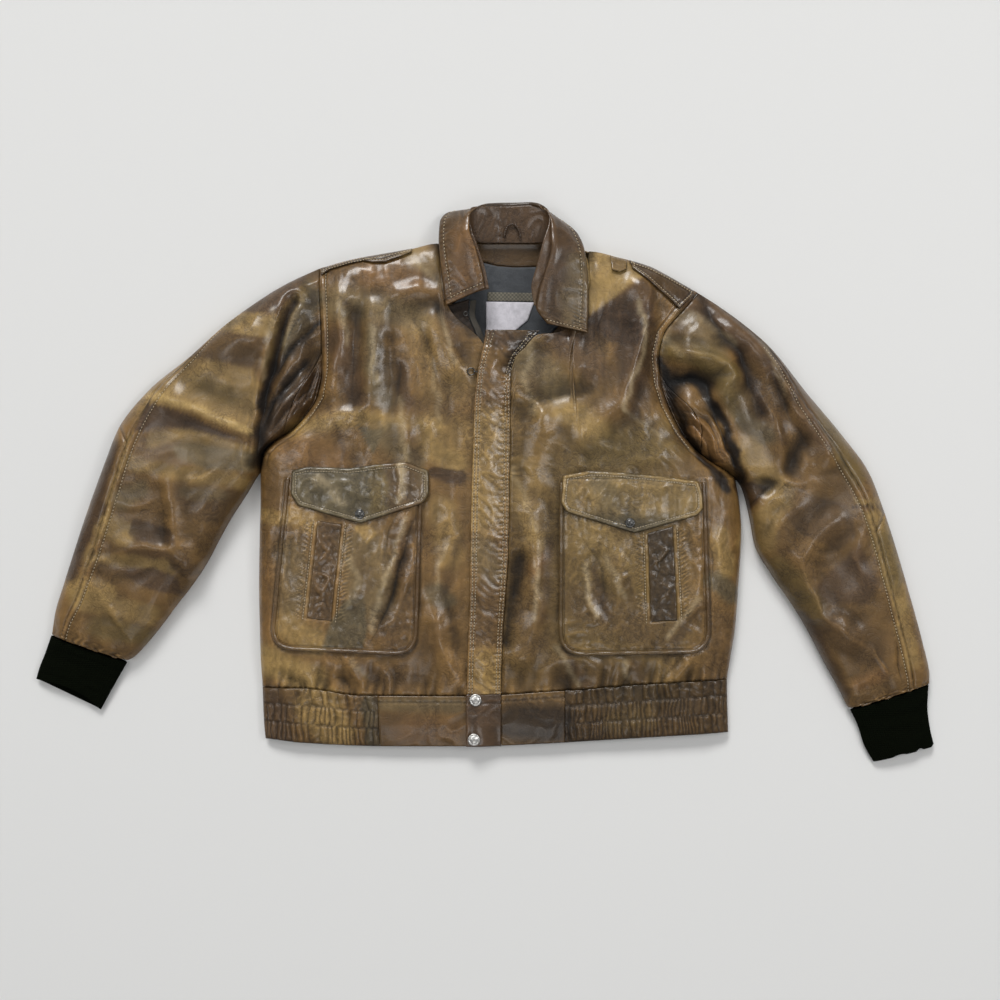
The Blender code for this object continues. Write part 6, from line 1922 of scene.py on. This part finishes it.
# ------------------------------------------------------------------ sleeves
@dataclass
class Sleeve:
    """A two-piece sleeve with its elbow seam and underarm gusset.

    Attributes:
        side: the wearer's side.
        columns: columns of the top sleeve.
        fine_rows: its rows near the armhole.
        spacing: distance between its rows further down, in rows of the table.
        gusset_shares: shares of the sleeve's width between which the gusset lies.
        gusset_reach: rows of the table it reaches down.
        gap: turn left open along each seam.
        elbow_gap: rows of the table left open either side of the elbow seam.
    """

    side: Side
    columns: int = 112
    fine_rows: int = 78
    spacing: float = 0.086
    gusset_shares: tuple[float, float] = (0.15, 0.62)
    gusset_reach: float = 1.05
    gap: float = 0.0015
    elbow_gap: float = 0.004

    def __post_init__(self) -> None:
        """Read the sleeve's form."""
        self.limb = Limb(SLEEVES[self.side], HALVES[self.side])

    def gusset_share(self, share: Array) -> Array:
        """How far over the gusset a share of the sleeve's width lies, from 0 to 1 on it."""
        start, stop = self.gusset_shares
        return (share - start) / (stop - start)

    def reach(self, share: Array) -> Array:
        """How far the gusset reaches into the sleeve, in rows."""
        start, stop = self.gusset_shares
        inside = (share > start) & (share < stop)
        return np.where(inside, self.gusset_reach * np.sin(
            np.pi * (share - start) / (stop - start)), 0)

    def seam_turn(self, station: Array) -> Array:
        """Where the top seam lies round the sleeve."""
        top_seam = np.minimum(self.limb.tables["top_seam"](station), 1)
        return arc_turn(top_seam)

    def top(self, turn: Array, station: Array) -> Array:
        """Points of the top sleeve."""
        share = arc_share(turn)
        reach = self.reach(share)
        station = station + np.where(reach > 0, reach + 0.02, 0) * \
            np.maximum(1 - station / ARMHOLE_ROWS, 0)
        around = self.gap + turn * (self.seam_turn(station) - 2 * self.gap)
        points = self.limb.point(around, station)
        points[:, 2] += self.seam_ridge(turn, station)
        return points

    def seam_ridge(self, turn: Array, station: Array) -> Array:
        """Turned edge along the top seam, with its puckers."""
        far = (1 - turn) * SLEEVE_WIDE
        return ease(station - 2.5) * (1.3 * ridge(far - 4, 2.6) -
                                      0.7 * ridge(far - SEAM_STITCH, 1.4) +
                                      0.8 * gathers(station * 45, 9, 33) * np.exp(-far / 9))

    def under(self, turn: Array, station: Array) -> Array:
        """Points of the under sleeve."""
        start = self.seam_turn(station) + self.gap
        return self.limb.point(start + (2 - self.gap - start) * turn, station)

    def gusset(self, turn: Array, part: Array) -> Array:
        """Points of the gusset, with its stitched ribs."""
        share = arc_share(turn)
        points = self.limb.point(self.gap + turn * (1 - 2 * self.gap), self.reach(share) * part)
        points[:, 2] += 0.7 * np.abs(np.sin(np.pi * part * 5)) * np.sin(
            np.pi * np.clip(self.gusset_share(share), 0, 1))
        return points

    def build(self) -> None:
        """Make the sleeve's pieces and its cuff."""
        side = self.side.value
        last = self.limb.last
        near = np.linspace(0, ARMHOLE_ROWS, self.fine_rows)
        stations = np.append(near, np.linspace(ARMHOLE_ROWS, last, int(
            (last - ARMHOLE_ROWS) / self.spacing))[1:])
        turns = np.linspace(0, 1, self.columns)
        Sheet("sleeve_top_" + side, turns, stations, self.top, (330, 620), shade=0.8,
              gloss=0.6).build()
        elbow = ELBOW_SEAM[self.side]
        turns = np.linspace(0, 1, 44)
        for part, start, stop, cut in (("upper_", 0, elbow - self.elbow_gap, (300, 340)),
                                       ("lower_", elbow + self.elbow_gap, last, (230, 300))):
            Sheet("sleeve_under_" + part + side, turns, np.linspace(start, stop, 44), self.under,
                  cut, up=False).build()
        start, stop = (arc_turn(share) for share in self.gusset_shares)
        Sheet("underarm_gusset_" + side, np.linspace(start + 0.004, stop - 0.004, 64),
              np.linspace(0, 1, 34), self.gusset, (120, 30), slot="dark_leather",
              base="umber", gloss=1.1).build()


@dataclass
class Cuff:
    """A knitted cuff: a flattened tube with ribs along it.

    Attributes:
        side: the wearer's side.
        rib_pitch: width of a rib.
        creases: stations at which the right cuff creases across.
    """

    side: Side
    rib_pitch: float = 3.1
    creases: tuple[float, ...] = (0.7, 1.2, 1.8, 2.3)

    def __post_init__(self) -> None:
        """Read the cuff's form."""
        self.limb = Limb(CUFFS[self.side])
        self.right = self.side is Side.RIGHT

    def knitted(self, around: Array, station: Array) -> Array:
        """Points of the cuff, ribbed on top, with its mouth drawn in or waved."""
        over = around <= 1
        share = arc_share(np.where(over, around, 2 - around))
        end = (station / self.limb.last) ** 3
        mouth = -0.5 * over * np.sin(np.pi * share) if self.right else \
            0.16 * gathers(share * 96, 34, 14)
        points = self.limb.point(around, np.clip(station + mouth * end, 0, self.limb.last))
        rib = np.abs(np.sin(np.pi * share * CUFF_WIDE / self.rib_pitch))
        near = np.minimum(share, 1 - share) * CUFF_WIDE
        creases = sum(ridge(station - line + 0.12 * np.sin(3 * share), 0.05)
                      for line in self.creases)
        points[:, 2] += over * swell(near, 6) * (
            0.7 * (rib - 1) + 1.4 * (crumple(points[:, 0], points[:, 1], 34) - 0.5) -
            0.8 * creases * self.right +
            0.9 * gathers(share * 96, 21, 12) * np.exp(-station / 0.8))
        return points

    def build(self) -> None:
        """Knit the cuff."""
        around = np.concatenate((arc_turn(np.linspace(0, 1, 160)),
                                 2 - arc_turn(np.linspace(1, 0, 40))))
        around = np.unique(np.round(around, 7))
        Sheet("cuff_" + self.side.value, around, np.linspace(0, self.limb.last, 32),
              self.knitted, (210, 80), slot="rib_knit", wall=2.6, tube=True,
              dyed=False).build()


# ------------------------------------------------------------------ front closing
@dataclass
class Closing:
    """The storm flap, the zip under it and the snaps on the waistband.

    Attributes:
        rows: shares of the flap's width at its stitched lines.
    """

    rows: tuple[float, ...] = (0.07, 0.16, 0.86, 0.95)

    def __post_init__(self) -> None:
        """Read the flap's edges."""
        ys = [row[0] for row in STORM_FLAP]
        self.free = Table(ys, [row[1] for row in STORM_FLAP])
        self.lead = Table(ys, [row[2] for row in STORM_FLAP])
        self.span = (ys[0], ys[-1])
        self.centre = HALVES[Side.LEFT].centre_x

    @staticmethod
    def lift(share: Array, y: Array) -> Array:
        """How far the flap stands off the fronts across its width."""
        sewn = SEAM_GAP - 4.5 * ease((y - 128) / 20)
        return FLAP_LIFT + (sewn - FLAP_LIFT) * ease((share - 0.35) / 0.65)

    def relief(self, share: Array, x: Array, y: Array) -> Array:
        """Stitched edges, puckers and creases of the flap."""
        z = 1.5 * NOISE(x / 18, y / 25) + 1.1 * NOISE((x + y) / 10, (y - x) / 26 + 4) + \
            0.22 * NOISE(x / 5, y / 7) + 0.9 * (crumple(x + 0.3 * y, 0.7 * y, 26) - 0.5)
        for line in self.rows:
            z -= 0.5 * ridge(share - line, 0.022)
        z += 0.7 * gathers(y, 7, 44) * ridge(share - 0.90, 0.13)
        z += 0.6 * gathers(y, 8.5, 47) * ridge(share - 0.10, 0.12)
        return z - 0.9 * (1 - swell(share * 44, 2.0))

    def flap(self, share: Array, y: Array) -> Array:
        """Points of the storm flap."""
        sewn = self.centre(y) - 2.5 * SEAM_GAP + self.lead(y)
        x = self.free(y) + share * (sewn - self.free(y))
        z = chest_form(x, y) + self.lift(share, y) + self.relief(share, x, y)
        return np.column_stack((x, y, z))

    def end(self, share: Array, y: Array) -> Array:
        """Points of the flap's end on the waistband."""
        x = FLAP_END_X[0] + share * (FLAP_END_X[1] - FLAP_END_X[0])
        z = chest_form(x, y) + self.lift(share, y) + 0.8 * (crumple(x, y, 18) - 0.5)
        z -= 0.9 * (1 - swell(share * 44, 2)) + 0.8 * (1 - swell(y - FLAP_END_Y[0], 2))
        z -= 0.6 * ridge(y + 275, 1.6)
        for snap_x, snap_y in BAND_SNAPS:
            z -= 0.7 * np.exp(-(np.hypot(x - snap_x, y - snap_y) / 9) ** 4)
        return np.column_stack((x, y, z))

    def build(self) -> None:
        """Make the flap, the zip and the snaps."""
        rows = np.linspace(*self.span, 340)
        Sheet("storm_flap", np.linspace(0, 1, 48), rows, self.flap, (62, 460),
              base="base", dyes=FLAP_DYES_AND_PAINTED_SHADE, gloss=1.15).build()
        Sheet("storm_flap_end", np.linspace(0, 1, 32), np.linspace(*FLAP_END_Y, 42), self.end,
              (46, 68), base="plum", share=0.3, shade=0.9, gloss=1.1).build()
        self.zip()
        for number, (x, y) in enumerate(BAND_SNAPS, 1):
            seat = height_at(chest_form, x, y + BAND_SNAP_RADIUS) + FLAP_LIFT
            add_snap("band_snap_%d" % number, x, y, seat, BAND_SNAP_RADIUS)

    def zip(self) -> None:
        """Make the zip's tape, its teeth and the slider; the tab and the ring stay, refinished in
        dark nickel.
        """
        def tape(share: Array, y: Array) -> Array:
            """Points of the tape."""
            x = ZIP_START_X + share * (self.centre(y) + 5 - ZIP_START_X)
            return np.column_stack((x, y, chest_form(x, y) - 4.9))

        Sheet("zip_tape", np.linspace(0, 1, 12), np.linspace(-328, 126, 90), tape,
              (50, 456), slot="woven_tape", wall=1.1, dyed=False).build()
        mesh = bmesh.new()
        for k in range(TEETH):
            y = -326 + TOOTH_PITCH * k
            x = 5.5 + (0.55 if k % 2 else -0.55)
            place = Matrix.Translation(Vector((x, y, height_at(chest_form, x, y) - 1.8)) * MM)
            bmesh.ops.create_cube(mesh, size=MM, matrix=place @ Matrix.Diagonal(
                (3.9, 1.3, 2.6, 1)))
        data = filled(mesh, "zip_teeth_face")
        add_piece("zip_teeth_row", data, "nickel", ["zip_teeth"])
        low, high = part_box("zip_slider")
        mesh = bmesh.new()
        middle = (low + high) / 2
        size = high - low
        bmesh.ops.create_cube(mesh, size=1.0, matrix=Matrix.Translation(middle) @
                              Matrix.Diagonal((*size, 1)))
        narrow = [vert for vert in mesh.verts if vert.co.y < middle.y]
        bmesh.ops.scale(mesh, vec=(0.7, 1, 1), space=Matrix.Translation(-middle), verts=narrow)
        bmesh.ops.bevel(mesh, geom=mesh.edges[:], offset=0.9 * MM, segments=3, profile=0.5,
                        affect="EDGES", material=-1)
        data = filled(mesh, "zip_slider_face")
        add_piece("zip_slider_body", data, "nickel", ["zip_slider"])
        for node in ("zip_tab", "zip_pull_ring"):
            refinish(node, "dark_nickel")


def turned(name: str, profile: Sequence[tuple[float, float]], x: float, y: float, z: float,
           look: str, nodes: Sequence[str], steps: int = 40) -> bpy.types.Object:
    """Turn a profile of (radius, height) round a vertical axis."""
    mesh = bmesh.new()
    verts = [mesh.verts.new((radius * MM, 0, height * MM)) for radius, height in profile]
    edges = [mesh.edges.new(pair) for pair in zip(verts, verts[1:])]
    bmesh.ops.spin(mesh, geom=verts + edges, cent=(0, 0, 0), axis=(0, 0, 1), angle=2 * np.pi,
                   steps=steps, use_merge=True)
    bmesh.ops.remove_doubles(mesh, verts=mesh.verts[:], dist=1e-6)
    bmesh.ops.recalc_face_normals(mesh, faces=mesh.faces[:])
    bmesh.ops.translate(mesh, vec=Vector((x, y, z)) * MM, verts=mesh.verts[:])
    return add_piece(name + "_cap", filled(mesh, name + "_face"), "nickel", nodes, look=look)


def add_snap(name: str, x: float, y: float, z: float, radius: float,
             look: str = "nickel") -> None:
    """A snap's cap: a rolled rim round a low dome."""
    profile = [(0, 0), (0.8 * radius, 0), (radius, 0.35), (radius, 0.9), (0.94 * radius, 1.35),
               (0.84 * radius, 1.5), (0.76 * radius, 1.25), (0.72 * radius, 1.15),
               (0.64 * radius, 1.5), (0.5 * radius, 1.9), (0.3 * radius, 2.2),
               (0.12 * radius, 2.3), (0, 2.3)]
    turned(name, profile, x, y, z, look, [name])


# ------------------------------------------------------------------ pockets
@dataclass
class Pocket:
    """A patch pocket with piped edge, slanted welt, pointed flap and snap.

    Attributes:
        side: the wearer's side.
    """

    side: Side

    def __post_init__(self) -> None:
        """Read the pocket's outlines."""
        self.spec = POCKETS[self.side]
        self.patch = pocket_outline(self.side)
        self.flap = rounded(self.spec.flap, [3] * len(self.spec.flap), 3)

    def patch_relief(self, x: Array, y: Array, inner: Array) -> Array:
        """Sunk line inside the piping, and the welt's lips with puckers beside them."""
        z = (0.9 * (crumple(x, y, 28) - 0.5) + 0.5 * NOISE(x / 7, y / 9)) * swell(inner, 10)
        z -= 0.8 * ridge(inner - 3.2, 1.3)
        for first, last, seed, out in ((0, 3, 15, -1), (1, 2, 16, 1)):
            route = (self.spec.welt[first], self.spec.welt[last])
            far, along = route_place(x, y, route)
            far *= out
            here = ease(along / 8) * ease((route_length(route) - along) / 8)
            tick = np.maximum(gathers(along + 0.5 * far + 2 * NOISE(x / 9, y / 12), 5.4, seed), 0)
            z += here * (1.6 * ridge(far - 2, 1.6) - 1.1 * ridge(far - 5.2, 1.1) +
                         1.5 * tick * ridge(far - 10.5, 4.2) * (1 + NOISE(x / 14, y / 14)))
        inside = outline_distance(x, y, self.spec.welt)
        return z - 1.2 * ease((inside + 1) / 3)

    def welt_relief(self, x: Array, y: Array, inner: Array) -> Array:
        """A few squashed creases across the welt."""
        return (1.1 * NOISE(x / 14, y / 12 + 5) + 0.7 * NOISE(x / 6, y / 7)) * swell(inner, 6)

    def flap_relief(self, x: Array, y: Array, inner: Array) -> Array:
        """Rounded edge, stitched line and the pull of the snap."""
        z = 0.8 * ridge(inner - 3, 1.8) - 0.6 * ridge(inner - 6, 1.1)
        z += 2.0 * NOISE(x / 17, y / 32 + 9) + 0.25 * NOISE(x / 6, y / 8) + \
            0.5 * (crumple(x, y, 30) - 0.5)
        far = np.hypot(x - self.spec.snap[0], y - self.spec.snap[1])
        return z - 1.0 * ridge(far, 14)

    def build(self) -> None:
        """Make the pocket's pieces."""
        name = self.side.value
        Patch("pocket_patch_" + name, self.patch, front_height, 2.3, cell=1.8,
              relief=self.patch_relief, gloss=0.95).build()
        right = self.side is Side.RIGHT
        Patch("pocket_welt_" + name, self.spec.welt, front_height, 2.9, cell=1.4, edge=2,
              drop=1.1, base="umber", share=0.8 if right else 0.3, gloss=1.1,
              relief=self.welt_relief, shade=0.95 if right else 0.5).build()
        Patch("pocket_flap_" + name, self.flap, front_height, 6.2, cell=1.65, edge=2.5,
              drop=1.1, relief=self.flap_relief, wall=1.9, dyes=POCKET_FLAP_DYES_AND_PAINTED_HIGHLIGHTS, gloss=1.25,
              base="slate", shade=1.1 if right else 0.85).build()
        self.piping(self.patch[8:28])
        x, y = self.spec.snap
        add_snap("pocket_snap_" + name, x, y, height_at(front_height, x, y) + 5.2,
                 POCKET_SNAP_RADIUS, "dark_nickel")

    def piping(self, run: Route) -> None:
        """Round piping down one side, round the bottom and up the other side."""
        points = sampled(run, 3.0)
        ahead = np.gradient(points, axis=0)
        ahead /= np.linalg.norm(ahead, axis=1)[:, None]
        points = points + np.column_stack((-ahead[:, 1], ahead[:, 0])) * 0.8
        heights = front_height(points[:, 0], points[:, 1]) + 2.2
        line = bpy.data.curves.new("pocket_piping", "CURVE")
        line.dimensions = "3D"
        line.bevel_depth = PIPING_RADIUS * MM
        line.bevel_resolution = 3
        line.use_fill_caps = True
        spline = line.splines.new("POLY")
        spline.points.add(len(points) - 1)
        for point, (x, y), z in zip(spline.points, points, heights):
            point.co = (x * MM, y * MM, z * MM, 1)
        maker = placed("piping", line)
        data = bpy.data.meshes.new_from_object(maker.evaluated_get(
            bpy.context.evaluated_depsgraph_get()))
        bpy.data.objects.remove(maker)
        weld(data)
        flat = read_points(data) / MM
        set_dye_and_painted_light(data, dye_and_painted_light_colours(flat[:, 0], flat[:, 1], "umber", 0.6), np.full(len(flat), 1.1))
        name = "pocket_piping_" + self.side.value
        add_piece(name + "_cord", data, "dark_leather", [name])


# ------------------------------------------------------------------ shoulders and neck
@dataclass
class Shoulders:
    """The epaulettes and the keeper beside the collar."""

    def build(self) -> None:
        """Make the straps."""
        for side, outline in EPAULETTES.items():
            Patch("epaulette_" + side.value, outline, front_height, 4.2, "dark_leather",
                  "umber", cell=1.5, shade=0.62, wall=2.6, relief=self.edge_stitch).build()
        Patch("epaulette_keeper_left", KEEPER, front_height, 4.4, "dark_leather", "umber",
              cell=1.3, shade=1.05, wall=2.6, share=0.4).build()

    @staticmethod
    def edge_stitch(x: Array, y: Array, inner: Array) -> Array:
        """A stitched line inside the edge."""
        return 0.5 * ridge(inner - 2.5, 1.5) - 0.5 * ridge(inner - 5, 1)


@dataclass
class Neck:
    """The collar on its stand, and what shows inside the neck."""

    def fall_arch(self, share: Array, station: Array) -> Array:
        """Rolled inner fold, stitched edge and creases of the collar's fall."""
        z = 2.5 * np.sin(np.pi * share)
        z += 1.6 * ridge(share - 0.12, 0.12)
        z -= 1.5 * (1 - swell(share * 50, 3)) + 1.3 * (1 - swell((1 - share) * 50, 3))
        z -= 0.6 * ridge(share - COLLAR_STITCH, 0.025)
        z += 1.0 * (crumple(station * 26, share * 50, 24) - 0.5)
        z += 0.45 * gathers(station * 26, 8, 8) * ridge(share - COLLAR_STITCH, 0.12)
        ends = np.minimum(station, len(COLLAR_FALL) - 1 - station) * 26
        return z - 1.2 * (1 - swell(ends, 3)) - 0.5 * ridge(ends - 8, 1.4)

    def stand_arch(self, share: Array, station: Array) -> Array:
        """Creases of the stand and its seam at the middle of the back."""
        z = 0.8 * (crumple(station * 24, share * 34, 16) - 0.5)
        return z - 0.8 * ridge(station - 6.55, 0.06)

    def build(self) -> None:
        """Make the neck's pieces."""
        last = len(COLLAR_FALL) - 1
        Sheet("collar", np.linspace(0, 1, 42), np.linspace(0, last, 270),
              strip_place(COLLAR_FALL, self.fall_arch), (460, 62), shade=0.78,
              slot="collar_leather", base="umber", dyes=COLLAR_DYES, wall=2.2).build()
        last = len(COLLAR_STAND) - 1
        Sheet("collar_stand", np.linspace(-0.16, 1.14, 30), np.linspace(0, last, 200),
              strip_place(COLLAR_STAND, self.stand_arch), (430, 46),
              slot="dark_leather", base="plum", shade=1.0).build()
        # the neck facing is darkened into painted shade inside the neck
        Sheet("neck_facing_right", np.linspace(0, 1, 16), np.linspace(0, 3, 40),
              strip_place(NECK_FACING, lambda u, v: 0.4 * gathers(v * 18, 9, 2)),
              (40, 64), slot="dark_leather", base="dark", wall=1.0, share=0, shade=0.35,
              gloss=0.3).build()
        # the tape's end is finished dark as painted shade inside the neck
        Sheet("zip_tape_end", np.linspace(0, 1, 8), np.linspace(0, 3, 40),
              strip_place(ZIP_TAPE_END, lambda u, v: 0 * u), (10, 62),
              slot="woven_tape", wall=0.8, dyed=False, look="dark_tape").build()
        Patch("back_facing", BACK_FACING, back_inside, 1.7, "dark_leather", "umber", wall=1.1,
              shade=0.9).build()
        Patch("neck_lining", NECK_LINING, back_inside, 1.3, "lining_cloth", wall=0.8, cell=2.2,
              dyed=False, edge=1, drop=0.2,
              relief=lambda x, y, inner: 0.5 * (crumple(x, y, 20) - 0.6)).build()
        Patch("label_tape", LABEL_TAPE, back_inside, 2.7, "woven_tape", wall=0.7, cell=1.5,
              dyed=False, edge=1, drop=0.3).build()
        Patch("label", LABEL_PATCH, back_inside, 2.7, "label_cloth", wall=0.7, cell=1.5,
              dyed=False, edge=1, drop=0.3,
              relief=lambda x, y, inner: 0.25 * (crumple(x, y, 18) - 0.5)).build()
        self.loop()
        refinish("collar_hook", "dark_nickel")

    def loop(self) -> None:
        """The plaited hanger loop, two thin cords side by side."""
        turns = np.linspace(0, np.pi, 40)
        mesh = bmesh.new()
        for strand in (0, np.pi):
            twist = turns * 14 + strand
            centre = np.column_stack((34 - (10 + 0.6 * np.cos(twist)) * np.cos(turns),
                                      310 + (16 + 0.6 * np.cos(twist)) * np.sin(turns),
                                      17.8 + 2.2 * np.sin(turns) + 0.5 * np.sin(twist)))
            sweep(mesh, centre, 1.0)
        data = filled(mesh, "hanger_loop_face")
        flat = read_points(data) / MM
        set_dye_and_painted_light(data, dye_and_painted_light_colours(flat[:, 0], flat[:, 1], "dark"))
        add_piece("hanger_loop_cord", data, "dark_leather", ["hanger_loop"])


def sweep(mesh: bmesh.types.BMesh, centre: Array, radius: float, sides: int = 8) -> None:
    """Sweep a circle along points, in millimetres, and cap its ends."""
    ahead = np.gradient(centre, axis=0)
    rings = []
    for point, run in zip(centre, ahead):
        turn = Vector(run).to_track_quat("Z", "Y").to_matrix().to_4x4()
        place = Matrix.Translation(Vector(point) * MM) @ turn
        ring = bmesh.ops.create_circle(mesh, segments=sides, radius=radius * MM, matrix=place)
        rings.append(list({edge for vert in ring["verts"] for edge in vert.link_edges}))
    for first, second in zip(rings, rings[1:]):
        bmesh.ops.bridge_loops(mesh, edges=first + second)
    bmesh.ops.holes_fill(mesh, edges=rings[0] + rings[-1], sides=sides)
    bmesh.ops.recalc_face_normals(mesh, faces=mesh.faces[:])


# ------------------------------------------------------------------ stitches
def inset(outline: Route, step: float) -> list[tuple[float, float]]:
    """Points of an outline moved inwards by a step; the outline runs either way round."""
    points = sampled(list(outline) + [outline[0]], 3.0)[:-1]
    ahead = np.roll(points, -1, axis=0) - np.roll(points, 1, axis=0)
    ahead /= np.linalg.norm(ahead, axis=1)[:, None]
    area = np.sum(points[:, 0] * np.roll(points[:, 1], -1) - points[:, 1] *
                  np.roll(points[:, 0], -1))
    moved = points + np.column_stack((-ahead[:, 1], ahead[:, 0])) * step * np.sign(area)
    return [tuple(point) for point in moved]


@dataclass
class Stitches:
    """Rows of thread laid on the finished pieces.

    Attributes:
        pitch: distance from one stitch to the next.
        length: half the length of a stitch.
        width: half its width.
    """

    pitch: float = 3.7
    length: float = 1.45
    width: float = 0.55

    def __post_init__(self) -> None:
        """Start with no stitches."""
        self.mesh = bmesh.new()

    def row(self, piece: str, route: Sequence[Sequence[float]], pitch: float = 0.0) -> None:
        """Sew along a route in plan, on top of a piece.

        Args:
            piece: name of the piece.
            route: points in plan, in millimetres.
            pitch: distance between stitches, if not the usual one.
        """
        face = bmesh.new()
        face.from_mesh(bpy.data.objects[piece + "_skin"].data)
        tree = BVHTree.FromBMesh(face)
        face.free()
        points = sampled(route, pitch or self.pitch)
        ahead = np.gradient(points, axis=0)
        for (x, y), run in zip(points[:, :2], ahead[:, :2]):
            hit, normal, _, _ = tree.ray_cast(Vector((x, y, 200)) * MM, Vector((0, 0, -1)))
            if hit is None:
                continue
            along = Vector((run[0], run[1], 0))
            along = (along - along.dot(normal) * normal).normalized()
            side = normal.cross(along)
            turn = Matrix((along, side, normal)).transposed().to_4x4()
            place = Matrix.Translation(hit + normal * 0.1 * MM) @ turn @ Matrix.Diagonal(
                (self.length, self.width, self.width, 1))
            bmesh.ops.create_icosphere(self.mesh, subdivisions=1, radius=MM, matrix=place)

    def sew(self) -> None:
        """Sew every row and make the thread one piece."""
        closing = Closing()
        ys = np.linspace(-262, 186, 120)
        for share in closing.rows:
            points = closing.flap(np.full(len(ys), share), ys)
            self.row("storm_flap", points[:, :2])
        for side, spec in POCKETS.items():
            pocket = Pocket(side)
            self.row("pocket_flap_" + side.value, inset(pocket.flap, 5.6), 3.3)
            for first, last, out in ((0, 3, -1), (1, 2, 1)):
                (ax, ay), (bx, by) = spec.welt[first], spec.welt[last]
                self.row("pocket_patch_" + side.value,
                         ((ax + 4.8 * out, ay), (bx + 4.8 * out, by)))
            self.row("epaulette_" + side.value, inset(EPAULETTES[side], 3.5))
            half = HALVES[side]
            seam = [(x + SEAM_STITCH * half.sign, y) for x, y in armhole_route(side)[3:]]
            self.row("front_" + side.value, seam, 4.2)
            sleeve = Sleeve(side)
            stations = np.linspace(2.8, sleeve.limb.last - 0.15, 60)
            points = sleeve.top(np.full(60, 1 - SEAM_STITCH / SLEEVE_WIDE), stations)
            self.row("sleeve_top_" + side.value, points[:, :2], 4.2)
        place = strip_place(COLLAR_FALL, Neck().fall_arch)
        last = len(COLLAR_FALL) - 1
        points = place(np.full(90, COLLAR_STITCH), np.linspace(0.3, last - 0.3, 90))
        self.row("collar", points[:, :2], 4.4)
        for station in (0.3, last - 0.3):
            points = place(np.linspace(0.1, COLLAR_STITCH, 12), np.full(12, station))
            self.row("collar", points[:, :2], 4.4)
        data = filled(self.mesh, "stitches_face")
        add_piece("stitches", data, "woven_tape", [], look="thread")


# ------------------------------------------------------------------ stage
def add_floor() -> None:
    """A pale matt floor, a little below the jacket."""
    mesh = bmesh.new()
    bmesh.ops.create_grid(mesh, x_segments=2, y_segments=2, size=4)
    data = filled(mesh, "floor")
    floor = placed("floor", data)
    floor.location.z = -0.0002
    made = Nodes("floor")
    made.feed(made.shader, Base_Color=(0.74, 0.735, 0.72, 1), Roughness=0.8)
    data.materials.append(made.material)


def add_lights() -> None:
    """One broad light beyond the collar and four weak ones round the jacket."""
    for name, place, size, power in (
            ("key", (-1.6, 7.5, 5.9), (3.8, 2.8), 650), ("side", (2.4, 0.8, 2.8), (0.7, 0.9), 16),
            ("fill", (0.2, -2.6, 3.6), (1.6, 1.2), 14),
            ("strip_left", (-1.5, 0.2, 2.6), (0.45, 1.6), 11),
            ("strip_right", (1.5, 0.2, 2.6), (0.45, 1.6), 11)):
        light = bpy.data.lights.new(name, "AREA")
        light.shape = "RECTANGLE"
        light.size, light.size_y = size
        light.energy = power
        lamp = placed(name, light)
        lamp.location = place
        lamp.rotation_euler = (-Vector(place)).to_track_quat("-Z", "Y").to_euler()


def add_world() -> None:
    """Soft light from all round, weaker where it is mirrored in the leather."""
    world = bpy.data.worlds.new("studio")
    world.use_nodes = True
    tree = world.node_tree
    around = tree.nodes["Background"]
    around.inputs["Color"].default_value = (0.96, 0.98, 1.0, 1)
    path = tree.nodes.new("ShaderNodeLightPath")
    dim = tree.nodes.new("ShaderNodeMapRange")
    dim.inputs["To Min"].default_value = 0.25
    dim.inputs["To Max"].default_value = 0.12
    tree.links.new(path.outputs["Is Glossy Ray"], dim.inputs["Value"])
    tree.links.new(dim.outputs[0], around.inputs["Strength"])
    bpy.context.scene.world = world
    bpy.context.scene.view_settings.view_transform = "Standard"


def add_camera() -> None:
    """The camera, straight above."""
    camera = bpy.data.cameras.new("above")
    camera.lens = 50
    camera.sensor_width = 36
    eye = placed("above", camera)
    eye.location = (0.01875, -0.0206, 1.766)
    bpy.context.scene.camera = eye


def main() -> None:
    """Build the jacket in order."""
    logging.basicConfig(level=logging.INFO, format="%(name)s %(message)s")
    add_floor()
    add_lights()
    add_world()
    add_camera()
    Body().build()
    make_waistband()
    for side in Side:
        Sleeve(side).build()
        Cuff(side).build()
    Closing().build()
    for side in Side:
        Pocket(side).build()
    Shoulders().build()
    Neck().build()
    Stitches().sew()


if __name__ == "__main__":
    main()
